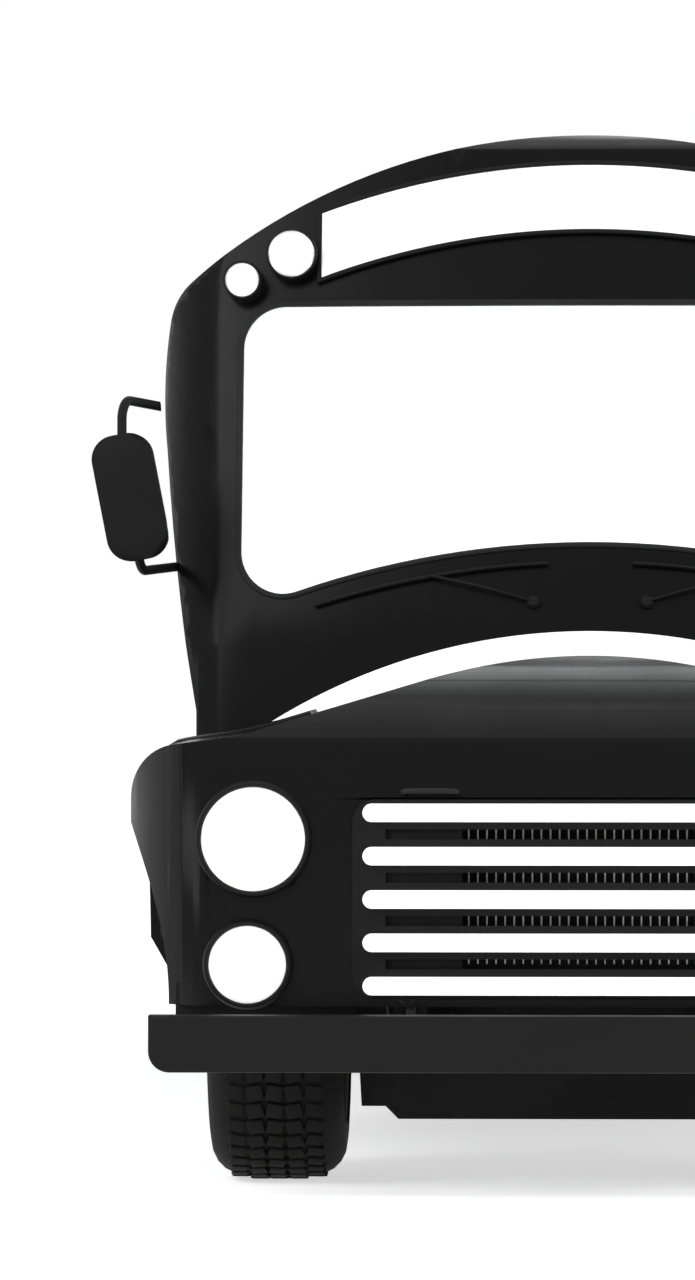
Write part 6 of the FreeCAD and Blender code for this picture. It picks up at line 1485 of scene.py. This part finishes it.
@dataclass
class BodyTrim:
    """Window rubbers and sashes, rivets, side lamps and mud flaps."""

    rail_heights: tuple[float, ...] = (0.59, 0.93, 1.21, 1.47)
    rivet_pitch: float = 0.11
    rivet_radius: float = 0.0065
    bow_pitch: float = 1.44
    sash_height: float = 1.885
    flap_across: tuple[float, float] = (0.57, 1.05)
    flap_run: tuple[float, float] = (2.372, 2.380)
    flap_height: tuple[float, float] = (0.26, 0.845)

    def build(self) -> None:
        """Build every part of the sides and the roof."""
        self.sides = {side: Ground("left_wall" if side > 0 else "right_wall")
                      for side in (1, -1)}
        self._windows()
        self._rivets()
        self._side_lamps()
        self._mud_flaps()

    def _on_side(self, side: int, y: float, z: float) -> tuple[Vector, Vector] | None:
        """Return a place on a side's outer face and its direction.

        Args:
            side: 1 on the driver's side, -1 on the door's side.
            y: Place along the bus.
            z: Height.
        """
        hit = self.sides[side].meet(Vector((side * 2.0, y, z)), LEFT * -side)
        if hit is None or abs(hit[0].x) < 1.085:
            return None
        return hit

    def _windows(self) -> None:
        """Rubbers round the side panes, and the bar across each sash."""
        rubbers, sashes = bmesh.new(), bmesh.new()
        for side in (1, -1):
            for loop, normal in rims("body_glass", LEFT * side):
                gasket(rubbers, loop, normal, 0.034, 0.007, 0.016)
                low = Vector(min(p[i] for p in loop) for i in range(3))
                high = Vector(max(p[i] for p in loop) for i in range(3))
                if high.y - low.y > 0.68 or high.y - low.y < 0.4:
                    continue
                near = [p for p in loop if abs(p.z - self.sash_height) < 0.3]
                x = sum(p.x for p in near) / len(near) if near else normal.x * 1.19
                path = [Vector((x, low.y + 0.004, self.sash_height)),
                        Vector((x, high.y - 0.004, self.sash_height))]
                sweep(sashes, path, [normal, normal], bead(0.036, 0.012, 0.004),
                      closed=False)
        for loop, normal in rims("body_glass", REARWARD):
            gasket(rubbers, loop, normal, 0.034, 0.007, 0.016)
        emit("window_rubbers", rubbers, FINISHES.seal, "bus_body")
        emit("window_sashes", sashes, FINISHES.trim, "bus_body")

    def _rivets(self) -> None:
        """Rows of rivets along the rub rails, the cant rail and the roof bows."""
        places: list[tuple[Vector, Vector]] = []
        count = int(6.85 / self.rivet_pitch)
        for side in (1, -1):
            for height in (*self.rail_heights, 2.235):
                for index in range(count):
                    hit = self._on_side(side, -2.34 + self.rivet_pitch * (index + 0.5), height)
                    if hit:
                        places.append(hit)
        REPEATS.stud_rows("side_rivets", places, self.rivet_radius, FINISHES.paint, "bus_body")
        roof = Ground("roof")
        places = []
        for bow in range(5):
            y = -2.2 + self.bow_pitch * bow + (0.35 if bow else 0.0)
            for index in range(41):
                angle = math.radians(22 + 136 * index / 40)
                start = Vector((2.2 * math.cos(angle), y, 1.4 + 2.2 * math.sin(angle)))
                hit = roof.meet(start, (Vector((0.0, y, 1.4)) - start).normalized())
                if hit and hit[0].z > 2.31:
                    places.append(hit)
        REPEATS.stud_rows("roof_rivets", places, self.rivet_radius, FINISHES.paint, "bus_body")

    def _side_lamps(self) -> None:
        """Small marker lamps low on both sides, amber in front and red behind."""
        for name, finish, y in (("front", FINISHES.amber_lens, -1.98),
                                ("rear", FINISHES.red_lens, 4.32)):
            lamps, rim = bmesh.new(), bmesh.new()
            for side in (1, -1):
                hit = self._on_side(side, y, 0.78) or self._on_side(side, y, 1.08)
                if hit is None:
                    continue
                lathe(rim, [(0.041, -0.004), (0.041, 0.006), (0.036, 0.009), (0.033, 0.004)],
                      hit[0], hit[1], 32)
                lathe(lamps, [(0.034, 0.0), (0.033, 0.010), (0.022, 0.017), (0.0, 0.02)],
                      hit[0], hit[1], 32)
            if len(lamps.verts):
                emit(f"{name}_marker_lamps", lamps, finish, "bus_body")
                emit(f"{name}_marker_rims", rim, FINISHES.trim, "bus_body")

    def _mud_flaps(self) -> None:
        """Rubber flaps behind the rear wheels."""
        shape = bmesh.new()
        for side in (1, -1):
            across = sorted(side * edge for edge in self.flap_across)
            block(shape, (across[0], self.flap_run[0], self.flap_height[0]),
                  (across[1], self.flap_run[1], self.flap_height[1]), 0.002)
        emit("mud_flaps", shape, FINISHES.seal, "bus_body")


@dataclass
class Doors:
    """Rubbers, seal and bars of the doors, and the stop arm's border and lamps."""

    opening_half: float = 0.45
    seal_inner: float = 0.405
    seal_levels: tuple[float, ...] = (0.945, 0.988, 2.262, 2.305)
    seal_run: tuple[float, float] = (4.540, 4.5495)
    bar_height: float = 1.16
    rivet_place: float = 0.39
    rivet_start: float = 1.02
    rivet_pitch: float = 0.108
    rivet_count: int = 12

    def build(self) -> None:
        """Build the parts of every door and the stop arm."""
        for name in ("front", "rear"):
            self._leaf(name)
        self._emergency()
        self._stop_arm()

    def _leaf(self, name: str) -> None:
        """Build the rubbers and the bar of one entrance leaf.

        Args:
            name: Which leaf, front or rear.
        """
        body = f"{name}_entrance_leaf"
        strip = bmesh.new()
        for facing in (-LEFT, LEFT):
            for loop, normal in rims(f"door_glass_{name}", facing, spread=0.9):
                gasket(strip, loop, normal, 0.028, 0.006, 0.010)
        emit(f"{name}_leaf_rubber", strip, FINISHES.seal, body)
        low, high = corners_of(f"door_{name}")
        bar = bmesh.new()
        x = high.x + 0.032
        y = (low.y + high.y) / 2
        z = self.bar_height
        rod(bar, [Vector((high.x - 0.004, y - 0.1, z)), Vector((x, y - 0.09, z)),
                  Vector((x, y + 0.09, z)), Vector((high.x - 0.004, y + 0.1, z))], 0.011)
        emit(f"{name}_leaf_bar", bar, FINISHES.steel, body)

    def _emergency(self) -> None:
        """Build the rubber of the rear door's panes, its inner seal and its rivets."""
        strip = bmesh.new()
        for loop, normal in rims("rear_door_glass", REARWARD, spread=0.9):
            gasket(strip, loop, normal, 0.034, 0.008, 0.016)
        emit("rear_door_rubber", strip, FINISHES.seal, "emergency_door")
        seal = bmesh.new()
        half, inner = self.opening_half, self.seal_inner
        foot, sill, head, top = self.seal_levels
        for x_low, x_high, z_low, z_high in ((-half, half, head, top), (-half, half, foot, sill),
                                             (-half, -inner, sill, head),
                                             (inner, half, sill, head)):
            block(seal, (x_low, self.seal_run[0], z_low), (x_high, self.seal_run[1], z_high),
                  0.002)
        emit("rear_door_seal", seal, FINISHES.seal, "bus_body")
        ground = Ground("rear_door")
        places = []
        for side in (1, -1):
            for index in range(self.rivet_count):
                height = self.rivet_start + self.rivet_pitch * index
                hit = ground.meet(Vector((side * self.rivet_place, 6.0, height)), FORWARD)
                if hit and hit[0].y > 4.56:
                    places.append(hit)
        REPEATS.stud_rows("rear_door_rivets", places, 0.006, FINISHES.paint, "emergency_door")

    def _stop_arm(self) -> None:
        """Build the pale border and the two lamps of the stop arm."""
        border, lamps, rims_shape = bmesh.new(), bmesh.new(), bmesh.new()
        ground = Ground("stop_arm")
        box_low, box_high = corners_of("stop_arm")
        y = box_high.y - 0.215
        half = (box_high.z - box_low.z) / 2
        flat = [(0.008, -0.001), (0.008, 0.0012), (-0.008, 0.0012), (-0.008, -0.001)]
        for facing in (LEFT, -LEFT):
            hit = ground.meet(Vector((1.17, box_high.y - half, box_low.z + half)) + facing,
                              -facing)
            if hit is None:
                continue
            reach = 0.93 * half / math.cos(math.radians(22.5))
            turns = [math.radians(22.5 + 45 * index) for index in range(8)]
            corners = [hit[0] + REARWARD * reach * math.cos(turn) + UP * reach * math.sin(turn)
                       for turn in turns]
            sweep(border, corners, [facing] * 8, flat)
        for z in ((box_low.z + box_high.z) / 2 + 0.125, (box_low.z + box_high.z) / 2 - 0.125):
            for facing in (LEFT, -LEFT):
                hit = ground.meet(Vector((1.17, y, z)) + facing, -facing)
                if hit is None:
                    continue
                lathe(rims_shape, [(0.043, -0.002), (0.043, 0.008), (0.038, 0.011),
                                   (0.035, 0.006)], hit[0], facing, 32)
                lathe(lamps, [(0.036, 0.001), (0.034, 0.010), (0.02, 0.015), (0.0, 0.017)],
                      hit[0], facing, 32)
        emit("stop_arm_border", border, FINISHES.pale_panel, "stop_arm_plate")
        emit("stop_arm_lamps", lamps, FINISHES.red_lens, "stop_arm_plate")
        emit("stop_arm_lamp_rims", rims_shape, FINISHES.trim, "stop_arm_plate")


@dataclass
class RearAndRoof:
    """Lenses and rims of the rear lamps, the blank plate and the hatches' small parts."""

    plate_low: tuple[float, float] = (-0.70, 0.775)
    plate_high: tuple[float, float] = (-0.42, 0.92)
    plate_border: float = 0.005
    wall_face: float = 4.6

    def build(self) -> None:
        """Build the parts of the rear and of the roof hatches."""
        red, amber, rim = bmesh.new(), bmesh.new(), bmesh.new()
        for loop, _ in rims("rear_lamps", REARWARD, spread=0.9):
            middle = sum(loop, Vector()) / len(loop)
            radius = sum((place - middle).length for place in loop) / len(loop)
            warm = abs(middle.x) > 0.85 and middle.z > 2.0 or abs(middle.x) < 0.75
            lathe(amber if warm else red,
                  [(radius * 0.94, -0.001), (radius * 0.92, 0.006), (radius * 0.6, 0.013),
                   (radius * 0.25, 0.016), (0.0, 0.0165)], middle, REARWARD, 48)
            lathe(rim, [(radius + 0.001, -0.012), (radius + 0.001, 0.003),
                        (radius * 0.97, 0.006), (radius * 0.935, 0.003),
                        (radius * 0.935, -0.002)], middle, REARWARD, 48)
        emit("red_rear_lenses", red, FINISHES.red_lens, "bus_body")
        emit("amber_rear_lenses", amber, FINISHES.amber_lens, "bus_body")
        emit("rear_lamp_rims", rim, FINISHES.trim, "bus_body")
        plate, edge = bmesh.new(), bmesh.new()
        (x_low, z_low), (x_high, z_high) = self.plate_low, self.plate_high
        block(plate, (x_low, self.wall_face, z_low), (x_high, self.wall_face + 0.003, z_high),
              0.001)
        step = self.plate_border
        corners = [Vector((x, self.wall_face + 0.002, z)) for x, z in (
            (x_low - step, z_low - step), (x_high + step, z_low - step),
            (x_high + step, z_high + step), (x_low - step, z_high + step))]
        sweep(edge, corners, [REARWARD] * 4, bead(0.012, 0.005))
        emit("blank_plate", plate, FINISHES.pale_panel, "bus_body")
        emit("blank_plate_frame", edge, FINISHES.trim, "bus_body")
        for name in ("front", "rear"):
            low, high = corners_of(f"hatch_lid_{name}")
            middle = (low + high) / 2
            grip = bmesh.new()
            under = low.z - 0.004
            rod(grip, [Vector((-0.08, middle.y + 0.15, low.z + 0.002)),
                       Vector((-0.07, middle.y + 0.15, under - 0.028)),
                       Vector((0.07, middle.y + 0.15, under - 0.028)),
                       Vector((0.08, middle.y + 0.15, low.z + 0.002))], 0.008)
            emit(f"{name}_hatch_grip", grip, FINISHES.red_paint, f"{name}_hatch")


def soften(shape: bmesh.types.BMesh, name: str, voxel: float, cap: float,
           frames: int = 20) -> bpy.types.Mesh:
    """Blow a closed form up into a padded one with a cloth simulation.

    Args:
        shape: Closed form, a little smaller than the pad; it is freed here.
        name: Name of the resulting mesh.
        voxel: Size of the remeshing steps.
        cap: Furthest that a point may move.
        frames: Steps of the simulation.

    Returns:
        Mesh of the padded form.
    """
    pad = bpy.data.objects.new(name, mesh_of(shape, name))
    bpy.context.scene.collection.objects.link(pad)
    remesh = pad.modifiers.new("remesh", "REMESH")
    remesh.mode = "VOXEL"
    remesh.voxel_size = voxel
    view = bpy.context.evaluated_depsgraph_get()
    fine = bpy.data.meshes.new_from_object(pad.evaluated_get(view))
    pad.modifiers.clear()
    pad.data = fine
    start = [vertex.co.copy() for vertex in fine.vertices]
    cloth = pad.modifiers.new("cloth", "CLOTH")
    cloth.settings.quality = 6
    cloth.settings.mass = 0.3
    cloth.settings.use_pressure = True
    cloth.settings.uniform_pressure_force = 4.0
    cloth.settings.tension_stiffness = 25.0
    cloth.settings.compression_stiffness = 25.0
    cloth.settings.bending_stiffness = 4.0
    cloth.settings.effector_weights.gravity = 0.0
    cloth.point_cache.frame_start = 1
    cloth.point_cache.frame_end = frames
    scene = bpy.context.scene
    for step in range(1, frames + 1):
        scene.frame_set(step)
    view = bpy.context.evaluated_depsgraph_get()
    blown = bpy.data.meshes.new_from_object(pad.evaluated_get(view))
    pad.modifiers.clear()
    scene.frame_set(1)
    for vertex, origin in zip(blown.vertices, start):
        move = vertex.co - origin
        if move.length > cap:
            vertex.co = origin + move.normalized() * cap
    pad.data = blown
    result = pad.data
    bpy.data.objects.remove(pad)
    result.name = name
    return result


@dataclass
class Benches:
    """Sixteen padded benches and the driver's padded seat."""

    row_front: float = -1.11
    row_pitch: float = 0.70
    rows: int = 8
    inner: float = 0.200
    outer: float = 1.055
    low: float = 1.320
    seat_depth: float = 0.400
    seat_rise: float = 0.110
    back_depth: float = 0.075
    back_lean: float = 0.070
    back_top: float = 1.960
    shrink: float = 0.014
    voxel: float = 0.015

    def build(self) -> None:
        """Build the benches, their piping and the driver's seat."""
        first = self._pad(self.inner, self.outer, self.row_front, "bench")
        shape, welts = bmesh.new(), bmesh.new()
        for row in range(self.rows):
            for side in (1, -1):
                copy = first.copy()
                copy.transform(Matrix.Translation((0.0, self.row_pitch * row, 0.0)))
                if side < 0:
                    copy.transform(Matrix.Scale(-1.0, 4, LEFT))
                shape.from_mesh(copy)
                bpy.data.meshes.remove(copy)
                self._welt(welts, side, self.row_front + self.row_pitch * row)
        piece = emit("bench_pads", shape, FINISHES.leather, "bus_body", 180.0)
        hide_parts("seat_pads")
        emit("bench_piping", welts, FINISHES.piping, "bus_body", 180.0)
        self._driver()

    def _outline(self, front: float, grow: float) -> list[tuple[float, float]]:
        """Return the side view of a pad and its back.

        Args:
            front: Front edge of the pad.
            grow: How far the outline lies inside the pad's real outline.
        """
        end = front + self.seat_depth
        seat = self.low + self.seat_rise
        return [(front + grow, self.low + grow),
                (end + self.back_depth - grow, self.low + grow),
                (end + self.back_depth + self.back_lean - grow, self.back_top - grow),
                (end + self.back_lean + grow, self.back_top - grow),
                (end + grow, seat - grow), (front + grow, seat - grow)]

    def _pad(self, inner: float, outer: float, front: float, name: str) -> bpy.types.Mesh:
        """Make one padded bench.

        Args:
            inner: Its inner end.
            outer: Its outer end.
            front: Its front edge.
            name: Name of its mesh.

        Returns:
            Mesh of the bench at its own place.
        """
        shape = bmesh.new()
        grow = self.shrink
        ends = []
        for x in (inner + grow, outer - grow):
            ends.append([shape.verts.new((x, y, z)) for y, z in self._outline(front, grow)])
        shape.faces.new(ends[0])
        shape.faces.new(list(reversed(ends[1])))
        for k in range(len(ends[0])):
            n = (k + 1) % len(ends[0])
            shape.faces.new((ends[0][k], ends[1][k], ends[1][n], ends[0][n]))
        return soften(shape, name, self.voxel, 0.016)

    def _welt(self, shape: bmesh.types.BMesh, side: int, front: float) -> None:
        """Add the piping of one bench to a shape.

        Args:
            shape: Shape that grows.
            side: 1 on the driver's side, -1 on the door's side.
            front: Front edge of the bench.
        """
        end = front + self.seat_depth
        seat = self.low + self.seat_rise
        for x in (self.inner + 0.010, self.outer - 0.010):
            points = [Vector((side * x, front + 0.006, seat - 0.012)),
                      Vector((side * x, end - 0.004, seat - 0.006)),
                      Vector((side * x, end + self.back_lean * 0.5 + 0.002, seat + 0.26)),
                      Vector((side * x, end + self.back_lean + 0.008,
                              self.back_top - 0.012))]
            rod(shape, points, 0.004, steps=6)
        rod(shape, [Vector((side * (self.inner + 0.02), end + self.back_lean + 0.006,
                            self.back_top - 0.008)),
                    Vector((side * (self.outer - 0.02), end + self.back_lean + 0.006,
                            self.back_top - 0.008))], 0.004, steps=6)

    def _driver(self) -> None:
        """Build the driver's padded seat with its piping."""
        low, high = corners_of("driver_seat")
        parts = Benches(low=low.z, back_top=high.z, voxel=0.012,
                        back_lean=self.back_lean, seat_depth=self.seat_depth)
        mesh = parts._pad(low.x, high.x, low.y, "driver_pad")
        shape, welts = bmesh.new(), bmesh.new()
        shape.from_mesh(mesh)
        piece = emit("driver_seat_pad", shape, FINISHES.leather, "bus_body", 180.0)
        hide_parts("driver_seat")
        place = Benches(inner=low.x, outer=high.x, low=low.z, back_top=high.z)
        place._welt(welts, 1, low.y)
        emit("driver_seat_piping", welts, FINISHES.piping, "bus_body", 180.0)


@dataclass
class Cab:
    """Gauges, switches, pedals and rails round the driver and the steps."""

    gauges: tuple[tuple[float, float], ...] = (
        (0.43, 0.045), (0.56, 0.055), (0.69, 0.045), (0.33, 0.028), (0.79, 0.028))
    gauge_height: float = 1.47
    knob_count: int = 9
    knob_start: float = -0.05
    knob_pitch: float = 0.04
    knob_height: float = 1.42
    dash_reach: float = -1.9
    pedal_places: tuple[float, ...] = (0.50, 0.66)
    rail_ends: tuple[float, ...] = (-2.36, -1.49)

    def build(self) -> None:
        """Build the parts round the driver and the steps."""
        dash = Ground("dashboard")
        bezels, faces, knobs = bmesh.new(), bmesh.new(), bmesh.new()
        for x, radius in self.gauges:
            hit = dash.meet(Vector((x, self.dash_reach, self.gauge_height)), FORWARD)
            if hit is None:
                continue
            lathe(bezels, [(radius, -0.004), (radius, 0.008), (radius - 0.005, 0.011),
                           (radius - 0.008, 0.003)], hit[0], REARWARD, 40)
            lathe(faces, [(radius - 0.007, 0.002), (0.0, 0.0025)], hit[0], REARWARD, 40)
            block(faces, hit[0] + Vector((-0.001, 0.002, 0.0)),
                  hit[0] + Vector((0.001, 0.005, radius * 0.6)), 0.0,
                  Matrix.Rotation(0.6, 4, "Y"))
        for index in range(self.knob_count):
            x = self.knob_start + self.knob_pitch * index
            hit = dash.meet(Vector((x, self.dash_reach, self.knob_height)), FORWARD)
            if hit:
                lathe(knobs, [(0.009, -0.002), (0.009, 0.014), (0.007, 0.018), (0.0, 0.019)],
                      hit[0], REARWARD, 16)
        emit("gauge_rims", bezels, FINISHES.steel, "bus_body")
        emit("gauge_faces", faces, FINISHES.lining, "bus_body")
        emit("dash_knobs", knobs, FINISHES.trim, "bus_body")
        pedals = bmesh.new()
        for x in self.pedal_places:
            block(pedals, (x - 0.035, -2.46, 1.02), (x + 0.035, -2.445, 1.09), 0.004,
                  Matrix.Rotation(-0.5, 4, "X"))
            rod(pedals, [Vector((x, -2.455, 1.05)), Vector((x, -2.56, 1.16)),
                         Vector((x, -2.62, 1.28))], 0.009)
        emit("pedals", pedals, FINISHES.chassis, "bus_body")
        rails = bmesh.new()
        for y in self.rail_ends:
            rod(rails, [Vector((-0.40, y, 0.925)), Vector((-0.40, y, 1.62)),
                        Vector((-0.46, y, 1.72)), Vector((-0.98, y, 1.72))], 0.015)
        emit("step_rails", rails, FINISHES.steel, "bus_body")


@dataclass
class Underside:
    """Straps, bolts, air guides and the support under the radiator."""

    support_half: float = 0.356
    support_front: float = -4.395
    support_low: float = 0.470
    support_top: float = 0.575
    support_depth: float = 0.055
    support_skin: tuple[float, float] = (0.015, 0.012)
    guides: tuple[tuple[float, ...], ...] = (
        (0.335, 0.60, -4.508, 0.55, 1.04), (0.62, 1.095, -4.425, 0.466, 0.56))
    guide_thickness: float = 0.006
    strap_inset: float = 0.28
    bolt_start: float = -4.3
    bolt_pitch: float = 0.22
    bolt_count: int = 40
    bolt_height: float = 0.74
    bolt_radius: float = 0.011
    rail_inside: float = 0.42

    def build(self) -> None:
        """Build the small parts of the chassis."""
        self._support()
        self._guides()
        self._tank()
        self._bolts()

    def _support(self) -> None:
        """Build the angle that carries the radiator."""
        support = bmesh.new()
        corner = (-self.support_half, self.support_front, self.support_low)
        upright, flat = self.support_skin
        block(support, corner,
              (self.support_half, self.support_front + upright, self.support_top), 0.003)
        block(support, corner, (self.support_half, self.support_front + self.support_depth,
                                self.support_low + flat), 0.003)
        emit("radiator_support", support, FINISHES.chassis, "bus_body")

    def _guides(self) -> None:
        """Build the plates behind the grille and under the fenders' front ends."""
        shape = bmesh.new()
        for side in (1, -1):
            for inner, outer, front, low, top in self.guides:
                across = sorted((side * inner, side * outer))
                block(shape, (across[0], front, low),
                      (across[1], front + self.guide_thickness, top), 0.001)
        emit("air_guides", shape, FINISHES.trim, "bonnet_assembly")

    def _tank(self) -> None:
        """Build the fuel tank's straps and its filler cap."""
        straps = bmesh.new()
        low, high = corners_of("fuel_tank")
        for y in (low.y + self.strap_inset, high.y - self.strap_inset):
            corners = [Vector((low.x, y, high.z)), Vector((low.x, y, low.z)),
                       Vector((high.x, y, low.z)), Vector((high.x, y, high.z))]
            middle = (low + high) / 2
            path = []
            for corner in corners:
                side = 1 if corner.x > middle.x else -1
                if corner.z == high.z:
                    path.append(corner - UP * 0.09 + LEFT * side * 0.001)
                else:
                    path.append(corner + UP * 0.10 + LEFT * side * 0.001)
                    path.append(corner + UP * 0.03 - LEFT * side * 0.012)
                    path.append(corner - LEFT * side * 0.07 - UP * 0.001)
            order = path[:4] + [path[6], path[5], path[4], path[7]]
            normals = []
            for place in order:
                out = Vector((place.x - middle.x, 0.0, (place.z - middle.z) * 1.6))
                normals.append(out.normalized())
            sweep(straps, order, normals,
                  [(0.022, -0.003), (0.022, 0.003), (-0.022, 0.003), (-0.022, -0.003)],
                  closed=False)
        emit("tank_straps", straps, FINISHES.steel, "bus_body")
        filler = bmesh.new()
        lathe(filler, [(0.045, -0.01), (0.045, 0.03), (0.05, 0.032), (0.05, 0.055),
                       (0.042, 0.06), (0.0, 0.06)],
              Vector((high.x - 0.002, low.y + 0.62, (low.z + high.z) / 2 + 0.05)), LEFT, 32)
        emit("tank_filler", filler, FINISHES.steel, "bus_body")

    def _bolts(self) -> None:
        """Set a row of bolts along the outside of each frame rail."""
        ground = Ground("chassis_frame")
        bolts = []
        for side in (1, -1):
            for index in range(self.bolt_count):
                start = Vector((side * 0.9, self.bolt_start + self.bolt_pitch * index,
                                self.bolt_height))
                hit = ground.meet(start, LEFT * -side)
                if hit and abs(hit[0].x) > self.rail_inside:
                    bolts.append(hit)
        REPEATS.stud_rows("rail_bolts", bolts, self.bolt_radius, FINISHES.chassis, "bus_body")


def main() -> None:
    """Build every sub-assembly in order."""
    for assembly in (Studio(), Shell(), Wheels(), FrontFace(), Mirrors(), BodyTrim(), Doors(),
                     RearAndRoof(), Benches(), Cab(), Underside()):
        assembly.build()
        log.info("%s built", type(assembly).__name__)


if __name__ == "__main__":
    main()
